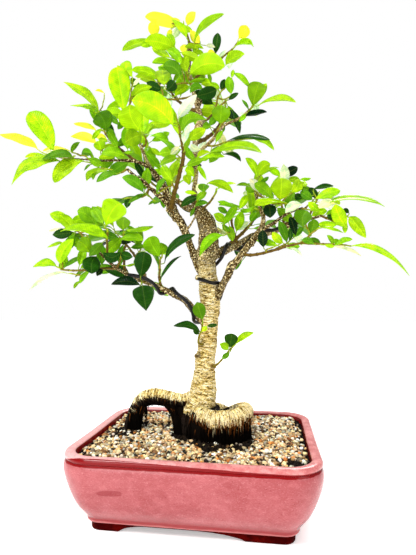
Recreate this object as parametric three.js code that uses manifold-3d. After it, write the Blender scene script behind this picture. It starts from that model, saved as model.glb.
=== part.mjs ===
// Bonsai tree in a rectangular glazed pot: one trunk with arched surface roots, leafy side
// shoots, a stiff training wire, soil and a gravel top dressing.
// Millimetres, +Z up, origin at the centre of the pot's footprint, front of the tree towards -Y.
import * as THREE from "three";
import { mergeVertices } from "three/addons/utils/BufferGeometryUtils.js";
import Module from "manifold-3d";

const wasm = await Module();
wasm.setup();

// ---------------------------------------------------------------- driving dimensions
const POT_W = 254; // rim, outside, along X
const POT_D = 203.2; // rim, outside, along Y
const POT_H = 78.2; // from the feet to the top of the lip
const RIM_CORNER = 34; // outer corner radius at the rim
const FOOT_H = 8.6; // bare foot under the glaze
const FLOOR_Z = 15; // inside floor
const FOOT_RECESS = 6; // hollow under the floor, inside the foot ring
const ARCH_H = 6.4; // height of the openings between the corner feet
const DRAIN_R = 10; // drain holes
const DRAIN_X = 48; // their distance from the middle
const MESH_SIZE = 36; // square plastic mesh over each drain hole
const MESH_T = 1.2;
const SOIL_Z = 70.0; // top of the soil
const GRAVEL_EDGE_Z = 72.6; // gravel at the wall
const GRAVEL_TOP_Z = 78.0; // gravel in the middle
const GAP = 0.3; // clearance between touching pieces
const WIRE_R = 1.75; // aluminium training wire, 3.5 mm
const LEAF_T = 0.55; // half thickness of a blade at its midrib
const STALK_R = 0.75; // leaf stalk
const STALK_PLAIN = 11; // a stalk shorter than this widens straight into its blade

// ---------------------------------------------------------------- grown shapes
// Centrelines as [x, y, z, radius].
const ROOTS = {
  main_root: [[-2, -7, 92, 20.5], [-1, -7, 82, 21], [0, -6, 70, 17], [1, -5, 58, 12], [1, -4, 46, 7]],
  arch_left: [[-1.5, -6, 116.3, 11.9], [-11.4, -8, 114.2, 9.3], [-25.1, -9, 114.5, 7.2], [-40.4, -8, 117.2, 7.3], [-56.2, -6, 117.4, 8.1], [-68.4, -3, 111.7, 7.9], [-77, 0, 101, 7.2], [-83.3, 3, 87.3, 6.6], [-87.5, 5, 72.6, 6.1], [-89, 6, 59.5, 5.4]],
  coil_right: [[-2.4, -14, 103.7, 11.1], [6.3, -26, 100.7, 10.2], [17, -33, 99.8, 9.8], [27.9, -35, 100.4, 9.7], [38.3, -33, 101.3, 9.5], [46.8, -26, 103.7, 9.4], [50.9, -13, 105, 8.5], [48.5, 0, 104.9, 7], [40.3, 10, 101.8, 6], [29.6, 13, 97.2, 5.5], [18.3, 10, 94.8, 6], [7.7, 2, 97.5, 9]],
  back_root_left: [[-4, 4, 104, 10], [-12, 18, 100, 8.4], [-22, 32, 92, 7.4], [-32, 44, 82, 6.6], [-40, 53, 70, 6], [-44, 58, 60, 5]],
  back_root_right: [[6, 4, 102, 9], [16, 20, 98, 7.6], [26, 34, 90, 6.8], [33, 46, 79, 6], [37, 54, 66, 5.2], [38, 57, 58, 4.6]],
  rootlets_left: [[-78, -1, 99, 6.4], [-80, 0.5, 86, 6.6], [-82, 2, 72, 6.2], [-83, 3, 60, 4.6]],
  rootlets_left_inner: [[-69, -3.4, 108, 5.6], [-74, -2, 92, 5.4], [-77, 0, 74, 5], [-78, 1, 62, 3.6]],
  rootlets_arch: [[-40, -7, 111, 4.6], [-31, -8, 104, 5.4], [-24, -10, 92, 7], [-20, -12, 74, 8], [-18, -12, 62, 5]],
};
const WOOD = {
  trunk: [[-0.52, -8, 87.92, 19.66], [-0.7, -7, 104.27, 18.27], [3.13, -6, 118.65, 15.15], [4.56, -5, 145.38, 12.61], [10.08, -5, 197.44, 9.69], [10.89, -5, 232.75, 12.13], [7.53, -5, 260.88, 10.34], [6.37, -5, 274.16, 11.85], [9.28, -5, 287.99, 12.44], [9.04, -5, 307.71, 10.62], [6.94, -5, 317.07, 10.75], [2.42, -6, 325.17, 8.79], [-2.53, -8, 331.9, 7.15], [-5.29, -9, 338.76, 5.07]],
  leader: [[-3.11, -8, 329.59, 6], [-5.89, -9, 342.28, 4.62], [-6.61, -9, 353.98, 3.35], [-4.58, -8, 375.29, 2.67], [-7.15, -7, 399.36, 3.26], [-3.91, -4, 426.52, 4.7], [-0.08, -2, 439.13, 3.78], [-8.32, 1, 468.92, 2.51], [-13.72, 3, 494.87, 2.16], [-15.04, 4, 510.37, 1.81], [-14.58, 4, 522.76, 2.05]],
  stub_top: [[-14.58, 4, 521.51, 2.42], [-15.08, 4, 525.91, 3.26], [-14.35, 4, 529.58, 2.3]],
  stub_a: [[-6.12, -8, 381.25, 2.55], [-9.68, -13, 378.69, 2.3]],
  stub_b: [[-4.33, -5, 421.37, 2.81], [-9.92, -7, 420.42, 1.87], [-15.01, -9, 423.5, 1.98]],
  stub_c: [[-1.27, -2, 437.4, 2.6], [4.61, -3, 437.22, 1.76]],
  stub_d: [[-5.23, 0, 454.84, 2.38], [-0.97, -4, 461.2, 2.95], [-0.81, -5, 464.93, 2.35]],
  left: [[-1.03, -6, 261.47, 4.48], [-10.93, -9, 289.01, 4.25], [-22.02, -13, 316.38, 5.05], [-28.86, -14, 325.63, 5.63], [-33.73, -14, 336.23, 5.52], [-38.77, -12, 349.71, 4.52], [-45.07, -9, 362.5, 3.86], [-56.99, -12, 378.72, 2.92], [-64.28, -14, 384.35, 2.45], [-73.9, -18, 387.65, 2.09], [-83.4, -22, 387.97, 1.96], [-110.39, -30, 386.51, 1.37], [-141, -37, 387.98, 1]],
  left_low: [[-33.37, -15, 333.67, 4.36], [-40.31, -18, 341.91, 3.43], [-62.89, -26, 362.05, 2.27], [-72.04, -27, 367.9, 1.93], [-81.57, -27, 376.4, 1.6]],
  left_up: [[-56.99, -12, 378.72, 2.34], [-61.91, -14, 388.98, 2.1], [-71.13, -16, 411.3, 1.75], [-84.69, -16, 433.56, 1.53], [-89.7, -16, 445.88, 1.41]],
  cross: [[-4.87, -8, 329.64, 4.62], [-13.09, -8, 333.39, 4.17], [-35.4, -4, 346.8, 3.06]],
  left_twig: [[-17.32, -13, 305.87, 1.83], [-11.52, -16, 309.84, 1.36], [0.79, -21, 325.65, 1.12]],
  low_left: [[4.54, -8, 202.09, 4.66], [-2.04, -10, 208.35, 4.54], [-9, -13, 218.57, 4.07], [-16.49, -16, 227.04, 3.72], [-40.16, -21, 239.4, 3.38], [-50.33, -22, 244.37, 2.93], [-72.16, -24, 251.65, 2.37], [-92.52, -26, 262.71, 2.04], [-110.54, -26, 278.34, 1.6], [-119.48, -25, 286.65, 1.49], [-128.47, -24, 292.72, 1.27]],
  right_low: [[13.58, -7, 225.9, 6.37], [21.97, -11, 236.5, 5.19], [28.3, -16, 246.41, 4.13], [33.72, -21, 255.67, 4.08], [36.89, -24, 262.93, 4.71], [42.47, -25, 268.48, 3.71], [53.82, -22, 284.02, 3.73], [66.29, -16, 300.68, 3.55], [70.92, -13, 309.46, 3.23], [72.25, -9, 319.19, 2.59], [66.07, 1, 339.86, 1.96], [62.03, 8, 359.37, 1.41]],
  right_low_f: [[70.16, -15, 305.78, 2.44], [77.33, -17, 308.06, 2.21], [94.74, -20, 319.24, 1.75], [113.94, -22, 326.49, 1.3]],
  right_up: [[12.93, -2, 276.67, 5.32], [29.67, 5, 285.1, 4.2], [39.97, 8, 290.69, 3.87], [58.53, 12, 302.2, 3.41], [81.84, 14, 306.26, 2.82], [108.49, 15, 316.28, 2.22], [138.05, 14, 324.33, 1.5]],
  ur: [[-5.14, -7, 398.07, 2.1], [-0.26, -8, 400.08, 2.21], [8.1, -9, 406.14, 2.08], [15.56, -8, 413.78, 2.08], [28.56, -4, 430.6, 1.75], [45.78, 0, 439.58, 1.64], [59.66, 4, 453.04, 1.29]],
};
// Each shoot: twigs as centrelines, and leaves as
// [stalk foot xyz, blade base xyz, blade middle xyz, tip xyz, across-blade direction xyz, width].
const SHOOTS = {
  apex_shoot: {
    twigs: [
      [[-14.41, 3, 530.11, 1.57], [-14.73, 2, 536.5, 1.33], [-16.27, 1, 542.24, 1.2], [-18.74, 1, 549.3, 1.09], [-20.96, 1, 555.11, 0.97], [-21.97, 1, 561.45, 0.73]],
      [[-20.96, 1, 555.11, 0.97], [-31.65, 8, 564.43, 0.98], [-45.5, 13, 574.15, 0.87], [-56.02, 14, 578.4, 0.75]],
      [[-31.65, 8, 564.43, 0.86], [-37.86, 11, 563.91, 0.74]],
      [[-16.27, 1, 542.24, 0.96], [-16.95, 6, 534.12, 0.97], [-19.25, 9, 529.82, 0.73]],
      [[-14.73, 2, 536.5, 0.96], [-7.24, 4, 535.82, 0.97], [-4.07, 7, 537.36, 0.73]],
    ],
    leaves: [
      [-25.4, 3.9, 559, -25.8, 9, 563.8, -49.2, 11.2, 574.6, -74.2, 16.6, 585, -0.052, 0.897, -0.439, 19],
      [-54.8, 13.9, 577.9, -59.9, 14, 577.5, -65.3, 24.1, 575.6, -68.2, 32.7, 569.2, 0.926, 0.35, -0.14, 15.2],
      [-35.2, 9.7, 564.1, -39.5, 12, 562.7, -42.7, 16.7, 560, -43.2, 20, 555.2, 0.94, 0.312, -0.137, 7.4],
      [-26, 4.3, 559.5, -25.5, 4, 557.5, -30.1, 0.1, 550.9, -34.3, 0.6, 543, -0.687, -0.497, 0.53, 8.8],
      [-22.8, 2.2, 556.7, -17, 2, 558.5, -12.9, -6.2, 561.4, -5.5, -9.2, 566.3, -0.76, -0.457, 0.462, 10.9],
      [-14.5, 2.7, 531.7, -8.4, 2, 536.7, 2.7, -4.7, 552.3, 27.7, -6.5, 563.3, -0.085, -0.977, -0.197, 19.1],
      [-5, 6.2, 536.9, -3.6, 8, 539.7, -9, 8.1, 546.5, -16.1, 11.8, 559.1, 0.801, -0.217, 0.558, 10.9],
      [-18.7, 8.3, 530.8, -20.1, 10, 528.5, -24, 16.4, 540, -27.6, 25.1, 550.4, 0.943, -0.014, 0.332, 11.8],
      [-7.2, 4, 535.8, -3.3, -5, 522.7, -10.7, -6.1, 527.8, -19.4, -7.7, 525.8, -0.205, 0.956, -0.212, 8.2],
      [-15.2, 1.7, 538.4, -17.5, -4.3, 539.4, -23.2, -6.3, 552.1, -35.1, -4.3, 564, 0.734, 0.429, 0.526, 11.8],
      [-14.7, 2, 536.5, -8.6, -1, 532, -2.8, 0.3, 530.6, 2.5, 1, 527.7, 0.278, -0.914, 0.296, 5],
      [-33.7, 9, 564.3, -32.8, 21, 570.7, -22.7, 19, 566, -13.9, 21, 562.4, 0.358, -0.464, 0.81, 7.5],
      [-4.1, 7, 537.4, 4.3, 7, 534.9, 10.3, 6.3, 533.5, 15.4, 9.3, 532.9, 0.248, -0.481, 0.841, 5.3],
      [-49, 13.3, 575.6, -47.4, 21.3, 580.6, -39.5, 24, 581.4, -31.1, 24.7, 580.9, 0.101, -0.547, 0.831, 6.7],
    ],
  },
  top_left_shoot: {
    twigs: [
      [[-14.11, 3, 508.5, 1.08], [-21.34, 1, 515.39, 1.08], [-27.08, -1, 522.75, 0.96], [-29.72, -3, 526.12, 0.84]],
      [[-27.08, -1, 522.75, 0.96], [-40.32, 8, 537.33, 0.86], [-54.03, 12, 547.32, 0.87], [-62.28, 14, 551.07, 0.75]],
      [[-21.34, 1, 515.39, 0.96], [-31.26, 7, 520.86, 0.85], [-37.98, 9, 523.81, 0.74]],
      [[-27.08, -1, 522.75, 0.84], [-34.53, -6, 524.76, 0.83], [-38.94, -8, 524.44, 0.71]],
    ],
    leaves: [
      [-59.6, 13.4, 549.9, -64.9, 14, 551.4, -85.3, 15.7, 551.2, -106.2, 20.8, 546.4, 0.161, 0.987, -0.003, 16.9],
      [-27.4, -1.3, 523.2, -30.1, -4, 526.8, -48, -9.7, 533.6, -66.4, -10.7, 535.7, -0.265, 0.864, -0.428, 20.2],
      [-35.1, 8.2, 522.6, -40.1, 10, 524.8, -52.9, 10.4, 533.3, -64.9, 14.3, 542.5, 0.591, 0.219, 0.777, 10.8],
      [-37.8, -7.5, 524.5, -39.4, -14, 519.8, -28.4, -18.6, 512.9, -21.1, -18.7, 499.9, -0.683, 0.251, -0.686, 11.3],
      [-54, 12, 547.3, -59.6, 6, 542.4, -66.6, 0.7, 539.6, -74.1, -0, 536.1, 0.127, 0.555, -0.822, 8.7],
      [-28, -1.7, 523.9, -32.2, -1.7, 531.5, -35.6, -5.6, 537.9, -41, -5.1, 546.6, 0.87, -0.102, 0.482, 9.4],
      [-28.8, -2.3, 525, -24, -5.3, 521.3, -12.4, -3.8, 516.7, -1.4, -5.3, 510.8, 0.38, -0.418, 0.825, 10.6],
    ],
  },
  top_right_shoot: {
    twigs: [
      [[-12.48, 3, 488.61, 1.68], [-5.08, 6, 497.04, 1.45], [5.31, 10, 507.08, 1.34], [14.73, 13, 515.5, 1.22], [20.64, 15, 520.41, 1.47]],
      [[20.88, 15, 521.4, 1.22], [29.34, 14, 526.77, 1.1], [38.46, 13, 533.54, 0.97], [41.88, 13, 538.75, 0.85]],
    ],
    leaves: [
      [18.2, 14.2, 518.4, 14.9, 16, 528.5, 16.4, 16.9, 543.8, 17.2, 21.3, 558.8, 0.976, 0.187, -0.109, 10.8],
      [22.1, 14.9, 522.2, 13.9, 20, 532.2, 8.5, 25.9, 536, 2.3, 30.6, 536.1, 0.196, 0.52, -0.832, 8.9],
      [41.2, 13, 537.7, 43.5, 14, 544, 51, 3.8, 546.3, 54.6, -7.7, 546.1, -0.796, -0.36, 0.487, 14.6],
      [35.5, 13.3, 531.3, 40.2, 10, 533.1, 54, 5.6, 534.6, 61.9, 5.6, 527.1, -0.154, -0.976, 0.154, 12],
      [13.2, 12.5, 514.1, 28.8, 4, 507.1, 38.4, -0.7, 513.6, 51.8, -1, 515.6, -0.326, -0.867, 0.376, 14.9],
      [16.7, 13.7, 517.1, 17.8, 21.7, 524.1, 22.7, 21.9, 531.1, 27.8, 24.3, 537.5, 0.802, -0.222, -0.555, 6.6],
      [32.4, 13.7, 529, 31.9, 17.7, 525.9, 31.9, 16.5, 517.5, 31.7, 17.7, 509.2, -0.995, -0.1, 0.015, 8.5],
      [5.3, 10, 507.1, 4.4, 22, 510.3, 6.8, 22.4, 503.6, 7.8, 24.4, 496.8, -0.743, -0.601, -0.294, 6],
    ],
  },
  top_centre_shoot: {
    twigs: [
      [[-12.73, 1, 490.06, 1.2], [-15.37, -3, 489.89, 1.07], [-15.63, -3, 495.52, 0.95]],
      [[-15.37, -3, 489.89, 1.07], [-19.25, 3, 503.95, 0.96], [-18.48, 9, 516.56, 0.85], [-15.32, 12, 522.91, 0.86]],
      [[-19.24, 5.4, 508.99, 0.97], [-14.12, 11, 509.91, 0.86], [-6.43, 14, 505.15, 0.86], [0.37, 15, 501.63, 0.86]],
    ],
    leaves: [
      [-16.2, 11.2, 521.2, -14.5, 12, 525.4, -6.2, 11.6, 530.2, 0.9, 14.8, 527.3, 0.133, -0.934, 0.331, 8.5],
      [-16.5, -1.3, 493.9, -16.6, -3, 498, -18.4, -8.7, 505.5, -14.8, -16.6, 510.1, -0.985, -0.168, -0.044, 11.9],
      [-15.6, -2.7, 490.6, -13.1, -6, 492.5, 7.2, -13.1, 500.3, 29.9, -15.2, 494.2, -0.14, -0.494, 0.858, 24.1],
      [-0.8, 14.8, 502.2, 2.7, 7, 497.7, 11.8, 7, 502.5, 23.3, 10.7, 505.3, 0.167, -0.986, 0.027, 9.2],
      [-4.6, 14.3, 504.2, -6.7, 35, 508.6, -5.8, 39.6, 515.3, -7.8, 45.5, 521.3, 0.975, 0.205, -0.089, 9.8],
      [-11.6, 12, 508.3, -16.1, 16, 506.9, -24.3, 11.7, 496.1, -34.2, 10.6, 486, -0.606, -0.467, 0.644, 13.3],
      [-19.3, 3, 504, -16.5, 11, 505, -5.9, 13.1, 500.1, 2, 18.5, 493.8, 0.582, -0.306, 0.753, 12.4],
      [-15.3, 12, 522.9, -13.1, 16, 531.7, -8.7, 14.8, 540.2, -5.2, 16, 549.1, 0.84, 0.382, -0.385, 9.5],
    ],
  },
  crown_left_shoot: {
    twigs: [
      [[-11.99, 1, 485.09, 1.08], [-19.63, -1, 485.86, 1.07], [-30.83, 0, 485.22, 0.96], [-40.88, 1, 481.52, 0.84], [-44.84, 2, 481.81, 0.73]],
      [[-19.63, -1, 485.86, 0.96], [-22.79, 6, 499.63, 0.85], [-25.71, 8, 508.43, 0.73]],
    ],
    leaves: [
      [-25, 7.5, 506.3, -26.5, 8, 510.4, -43.8, 9.3, 519.7, -64.2, 14.1, 523.2, 0.099, 0.98, -0.174, 15.2],
      [-20.7, -0.9, 485.8, -24.4, -6, 491.6, -31.4, -11, 500.4, -44.7, -11.5, 502.2, -0.506, 0.326, -0.798, 15.6],
      [-43.6, 1.7, 481.7, -46, 4, 486.6, -50.9, 15.5, 506.1, -56.1, 30.9, 523.3, 0.975, 0.168, 0.147, 20.4],
      [-43.6, 1.7, 481.7, -42.1, -4, 476.8, -33.4, -10.6, 478.6, -27.9, -18.8, 479.7, -0.62, -0.473, 0.626, 12.9],
      [-42.2, 1.3, 481.6, -42.8, 9.3, 479.4, -40.7, 8.2, 471, -39, 9.3, 462.6, -0.968, -0.127, -0.215, 6.5],
    ],
  },
  crown_low_left_shoot: {
    twigs: [
      [[-9.53, 1, 470.22, 1.19], [-20.18, 2, 468.98, 1.2], [-33.89, 3, 468.66, 1.09], [-47.14, 4, 471.77, 1.09], [-48.55, 4, 479.33, 0.97], [-52.86, 4, 489.61, 0.85], [-55.13, 3, 495.51, 0.73]],
    ],
    leaves: [
      [-48.9, 4, 480.1, -49.1, 4, 483.1, -58.3, -0.3, 484.5, -66.7, -0.1, 491, -0.448, 0.316, -0.836, 11.7],
      [-54.2, 3.4, 493.1, -55, -4, 495.8, -69.4, -8.9, 500.7, -83.2, -9.3, 501.8, -0.239, 0.919, -0.312, 13.3],
      [-54, 3.5, 492.7, -58.9, 10, 496.4, -71.5, 10.3, 501.9, -85.8, 14.2, 507.3, -0.067, 0.862, -0.502, 12.7],
      [-38.3, 3.3, 469.7, -34.2, 7.3, 475, -26.6, 7.8, 482.8, -17.3, 11.7, 489.1, 0.487, 0.474, -0.734, 9.3],
    ],
  },
  tall_leaf_shoot: {
    twigs: [
      [[-85.03, -15, 433.99, 1.41], [-85.95, -14, 442.89, 1.3], [-85.71, -10, 455.55, 1.19], [-84.67, -6, 467.12, 0.96]],
      [[-84.67, -6, 467.12, 0.96], [-79.2, 0, 478.29, 0.85], [-75.48, 4, 486.75, 0.73]],
      [[-85.71, -10, 455.55, 0.95], [-85.22, -6, 472.08, 0.96], [-84.61, -3, 488.37, 0.85], [-84.5, -2, 495.1, 0.73]],
    ],
    leaves: [
      [-76, 3.5, 485.7, -75.5, 4, 488.1, -82.6, 3.9, 492, -90.2, 7.4, 502.2, 0.658, -0.18, 0.731, 9.6],
      [-84.7, -6, 467.1, -85.4, -2, 469.6, -73.7, -6.8, 478.9, -58.5, -7.1, 481.4, -0.266, -0.944, 0.194, 15.4],
      [-84.5, -2.4, 492.7, -84.4, -2, 497.6, -95.3, 6, 514, -98.9, 17.5, 530.8, 0.935, 0.128, 0.331, 16],
      [-85.7, -14.3, 440.5, -88.2, -21, 446.6, -90.1, -28.8, 471.1, -93.7, -31.5, 494.6, 0.951, 0.26, 0.165, 25.7],
      [-85.4, -7.3, 466.6, -92.8, 0.7, 468.9, -106.8, 3.7, 467.1, -120.4, 5.1, 461.8, 0.239, 0.898, -0.37, 11.1],
      [-85.9, -12.7, 447.1, -89.6, -12.7, 441.8, -94.7, -10.2, 436.7, -99.4, -9.6, 430.6, 0.72, 0.478, -0.503, 7.7],
      [-84.6, -2.7, 490.6, -86.5, -5.7, 492.5, -93.9, -7.1, 502.6, -102.6, -5.7, 511.6, 0.653, 0.521, 0.55, 9.5],
      [-84.8, -4, 482.9, -80.6, -10, 482.3, -76.4, -10.8, 486.7, -72.8, -7.9, 492.8, 0.809, -0.058, -0.585, 5.3],
    ],
  },
  crown_front_shoot: {
    twigs: [
      [[-10.95, -2, 480.32, 1.07], [-2.02, -5, 477.44, 1.06], [7.8, -7, 471.17, 0.94], [13.57, -6, 470.78, 0.82]],
    ],
    leaves: [
      [12.3, -6.2, 470.9, 19.4, -9, 471.3, 11.8, -16.1, 464.3, -1.9, -18.3, 460.4, -0.235, -0.461, 0.856, 15.3],
      [8.6, -6.9, 471.1, 3.2, -8, 472.2, -4.6, -11.9, 475.3, -11.6, -11.5, 467.7, 0.155, 0.465, -0.872, 8.4],
      [-10.9, -2, 480.3, -15.2, -5, 483.5, -2.9, -9.2, 483.2, 8.1, -9, 485, -0.163, -0.984, -0.076, 11],
      [-6.9, -3.3, 479, 0.5, -2, 482, 7.2, -7.9, 481.1, 12.5, -15, 476.8, -0.134, -0.474, 0.87, 10],
    ],
  },
  crown_right_shoot: {
    twigs: [
      [[-0.08, -2, 439.13, 1.89], [7.07, -2, 439.18, 1.53], [14.07, -1, 445.91, 1.3], [20.97, 1, 454.8, 1.18], [29.09, 3, 462.45, 1.07]],
      [[14.07, -1, 445.91, 1.3], [17.64, -1, 455.32, 1.18], [19.55, -1, 464.84, 1.06], [23.01, 0, 472.33, 0.94]],
      [[19.55, -1, 464.84, 0.94], [27.13, -1, 462.64, 0.94], [33.6, -2, 464.6, 0.82]],
      [[23.01, 0, 472.33, 0.83], [29.02, 4, 479.96, 0.83], [34.83, 6, 489.1, 0.6]],
    ],
    leaves: [
      [27.5, 3, 478, 21.6, 6, 479.8, 15.8, 5.6, 483.2, 8.6, 9, 488.1, 0.444, -0.364, 0.819, 7.2],
      [22.3, -0.2, 470.7, 23.3, 2, 475.7, 26, -0.5, 481.1, 28.4, -1.1, 487.1, 0.904, 0.269, -0.333, 7.8],
      [32.4, -1.8, 464.2, 36, -5, 466.3, 34.6, -8.6, 475.9, 33.2, -9.3, 486, 0.989, 0.016, 0.145, 10.5],
      [33.1, 5.4, 486.4, 35.6, 6, 491.5, 36.8, 6.3, 497.2, 37.8, 8.1, 502.7, 0.952, 0.204, -0.228, 4.8],
      [27.1, -1, 462.6, 33, -8, 458.2, 38.5, -8.7, 462.2, 44.8, -10.3, 464.6, -0.345, -0.883, 0.317, 7],
      [29.1, 3, 462.5, 29.9, 15, 462.4, 34.4, 15.5, 451.6, 37.4, 19.6, 441.9, -0.941, 0.063, -0.332, 9.5],
      [17.6, -1, 455.3, 13.4, 7, 461.4, -0.1, 9.5, 472.3, -12.4, 15.9, 483.7, 0.567, -0.288, 0.772, 14.9],
    ],
  },
  crown_outer_right_shoot: {
    twigs: [
      [[59.66, 4, 453.04, 1.29], [62.07, 3, 459.03, 1.17], [61.55, 6, 470.14, 0.95], [58.99, 6, 475.16, 0.83]],
      [[60.84, 4, 455.25, 0.94], [57.1, -2, 446.81, 0.93], [53.62, -7, 439.63, 0.69]],
    ],
    leaves: [
      [61.3, 6, 470.6, 57.5, 2, 475, 49.7, -2.6, 485.4, 39.1, -2.7, 493.2, 0.496, 0.577, 0.649, 11.7],
      [57.4, -1.5, 447.5, 61.4, -6, 449.5, 65, -20, 459.5, 69.5, -36.5, 462.7, -0.958, -0.147, 0.248, 21.3],
      [60.8, 4, 455.2, 67.1, 10, 457.7, 89.1, 12.4, 466.5, 111.4, 18, 462.7, 0.184, -0.981, -0.06, 19.9],
      [54.1, -6.3, 440.6, 52.5, -8, 437.6, 64.1, -12.4, 439.1, 77.1, -12.4, 439.8, -0.184, -0.975, 0.125, 13.1],
      [55.6, -4.2, 443.7, 56.1, -5, 446.7, 53, -6.9, 452.7, 48.7, -7.3, 458.2, 0.561, 0.662, 0.497, 5.8],
      [61.3, 3.3, 457, 64, 0.3, 459.5, 71.1, 1.2, 470.6, 77.2, 5.2, 481.7, 0.798, 0.277, -0.536, 9.8],
      [60.7, 6, 471.8, 61.1, 18, 471.8, 62.6, 18.7, 460.7, 64.2, 22.6, 450.2, -0.99, 0.03, -0.135, 10.4],
      [57.1, -2, 446.8, 53.8, -2, 443.4, 49.8, -4.1, 438.4, 45.3, -4.5, 433.6, -0.674, -0.327, 0.663, 5.4],
    ],
  },
  left_tip_shoot: {
    twigs: [
      [[-141, -37, 387.98, 1.14], [-152.1, -39, 388.31, 1.02], [-160.79, -41, 390.14, 0.91], [-169.37, -42, 391.38, 0.8], [-177.37, -42, 395.25, 0.68]],
      [[-152.1, -39, 388.31, 0.8], [-151.9, -44, 384.13, 0.68]],
      [[-144.14, -38, 387.92, 1.02], [-137.68, -44, 388.25, 0.9], [-133.6, -51, 385.93, 0.88]],
    ],
    leaves: [
      [-176.2, -42, 394.7, -181.9, -44, 398.7, -206, -41.7, 413.1, -233.6, -36.3, 422.5, 0.366, 0.75, 0.551, 21.3],
      [-164.1, -41.4, 390.6, -166.4, -38, 396.5, -173.6, -46, 419.5, -190.3, -48.8, 440.9, 0.823, 0.255, 0.507, 24.8],
      [-172.5, -42, 392.9, -178.1, -34, 394.3, -191.5, -31.4, 396.3, -205.4, -30.2, 395.2, 0.112, 0.899, -0.424, 8.6],
      [-134.2, -49.9, 386.3, -134.9, -52, 383, -147.5, -57.4, 387.1, -168, -58.2, 382, -0.141, 0.64, 0.756, 18.6],
      [-151.9, -43, 385, -151.2, -50, 381.2, -182.3, -58.2, 378.8, -201.8, -61.2, 353.4, -0.494, 0.541, 0.68, 28.8],
      [-152.1, -39, 388.3, -157, -45, 389.2, -164, -45.4, 392.9, -173.8, -42, 396.1, 0.353, -0.149, 0.924, 6.3],
      [-160.8, -41, 390.1, -168.6, -37, 389.8, -181.9, -34.1, 388.1, -195.1, -33, 383.5, 0.243, 0.834, -0.495, 10],
    ],
  },
  left_tip_inner_shoot: {
    twigs: [
      [[-112.78, -30, 385.69, 1.15], [-118.59, -36, 381.72, 0.91], [-121.02, -44, 380.87, 0.78]],
      [[-118.59, -36, 381.72, 1.02], [-120.46, -40, 383.96, 0.9], [-126.17, -38, 389.25, 0.91], [-135.72, -33, 393.25, 0.8], [-145.73, -30, 397.82, 0.81]],
      [[-112.78, -30, 385.69, 0.92], [-117.59, -24, 380.08, 0.81], [-120.7, -20, 378.12, 0.7]],
      [[-117.59, -24, 380.08, 0.81], [-105.47, -30, 377, 0.69], [-98.72, -32, 375.16, 0.57]],
    ],
    leaves: [
      [-144.6, -30.3, 397.3, -151.7, -26, 401.4, -167.7, -25.1, 405.4, -188.3, -20.7, 405.1, 0.129, 0.981, -0.143, 13.3],
      [-120.6, -42.8, 381, -123.9, -48, 380.4, -142.5, -54, 373.7, -155.2, -55.2, 356.1, -0.629, 0.257, 0.734, 21.7],
      [-143.4, -30.7, 396.8, -144.7, -35, 395.6, -140.5, -38.5, 401.4, -133.9, -37.7, 406.6, -0.395, -0.902, 0.173, 6.7],
      [-142, -31.1, 396.1, -136.8, -28, 393.6, -126.4, -36.7, 395, -117.1, -40.3, 391, -0.121, -0.384, 0.915, 9.3],
      [-117.4, -34.8, 382.5, -121.3, -38, 379.8, -122.7, -40.9, 377.2, -127.6, -39.7, 372.9, -0.737, 0.317, 0.597, 4.2],
      [-99.9, -31.6, 375.5, -101, -23, 377.5, -122.4, -21.6, 377.4, -134.5, -16.9, 367.4, 0.183, 0.983, -0.016, 16.8],
      [-118.2, -23.2, 379.7, -121.4, -20, 377.2, -125.2, -18.3, 373.4, -126.1, -17.9, 368, 0.831, 0.454, -0.321, 4.1],
      [-126.2, -38, 389.3, -120.2, -44, 385.2, -113.3, -41.5, 381.4, -107.2, -36.5, 378.3, -0.502, 0.081, -0.861, 9.5],
      [-116.7, -34, 383, -122, -26, 389, -125.2, -25.5, 395.3, -129.6, -24, 400.9, 0.596, 0.763, 0.249, 5.1],
    ],
  },
  left_high_shoot: {
    twigs: [
      [[-73.9, -18, 387.65, 1.74], [-85, -14, 397.22, 1.65], [-97.57, -10, 407.66, 1.55], [-108.01, -9, 417.07, 1.32], [-116.54, -10, 429.36, 1.2]],
      [[-116.54, -10, 429.36, 1.2], [-115, -11, 437.42, 1.08], [-118.47, -12, 445.76, 0.96], [-121.39, -13, 450.89, 0.84]],
      [[-121.39, -13, 450.89, 0.72], [-120.69, -4, 465.51, 0.73], [-121.48, 2, 479.69, 0.62]],
      [[-116.54, -10, 429.36, 0.84], [-124.52, -6, 432.63, 0.73]],
      [[-97.57, -10, 407.66, 1.19], [-105.48, -12, 404.93, 1.07], [-113.34, -14, 401.73, 0.95], [-120.46, -12, 408.11, 0.84]],
      [[-97.57, -10, 407.66, 0.95], [-91.43, -20, 397.87, 0.81], [-86.84, -26, 392.08, 0.69]],
    ],
    leaves: [
      [-118.8, -12.1, 446.4, -120.3, -18, 451.3, -135, -25.2, 470.4, -160.4, -27.5, 484.1, 0.255, 0.8, 0.544, 21.4],
      [-121.4, -13, 450.9, -129.5, -10, 453.5, -138, -9, 461.9, -162.7, -4.6, 466.5, 0.362, 0.67, 0.648, 13.4],
      [-112.6, -9.5, 423.7, -111.6, -16, 426.5, -109.3, -31.5, 434.6, -110.1, -48.1, 434.3, -0.872, -0.154, -0.464, 24.1],
      [-123.4, -6.5, 432.2, -129.2, -4, 433, -142.8, -3.3, 440.6, -160.6, 0.9, 446.5, 0.379, 0.675, 0.634, 12.2],
      [-119.5, -12.3, 407.3, -127, -8, 414.5, -142.3, -6.9, 425, -163.2, -2.3, 428.8, 0.389, 0.433, 0.813, 14.3],
      [-121.4, 1.5, 478.5, -121.5, 2, 482, -128.6, 1.2, 485.9, -134.2, 4.2, 487.2, 0.406, 0.457, 0.791, 4.8],
      [-87.5, -25.2, 392.9, -84.9, -28, 390.6, -96.8, -32.7, 395.4, -110.5, -33, 393.9, 0.052, 0.345, 0.937, 15],
      [-117.2, -12.9, 405.2, -118.3, -11, 404, -117.5, -20.2, 408.8, -115.2, -30.1, 410.3, -0.911, -0.253, -0.325, 14.3],
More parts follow.
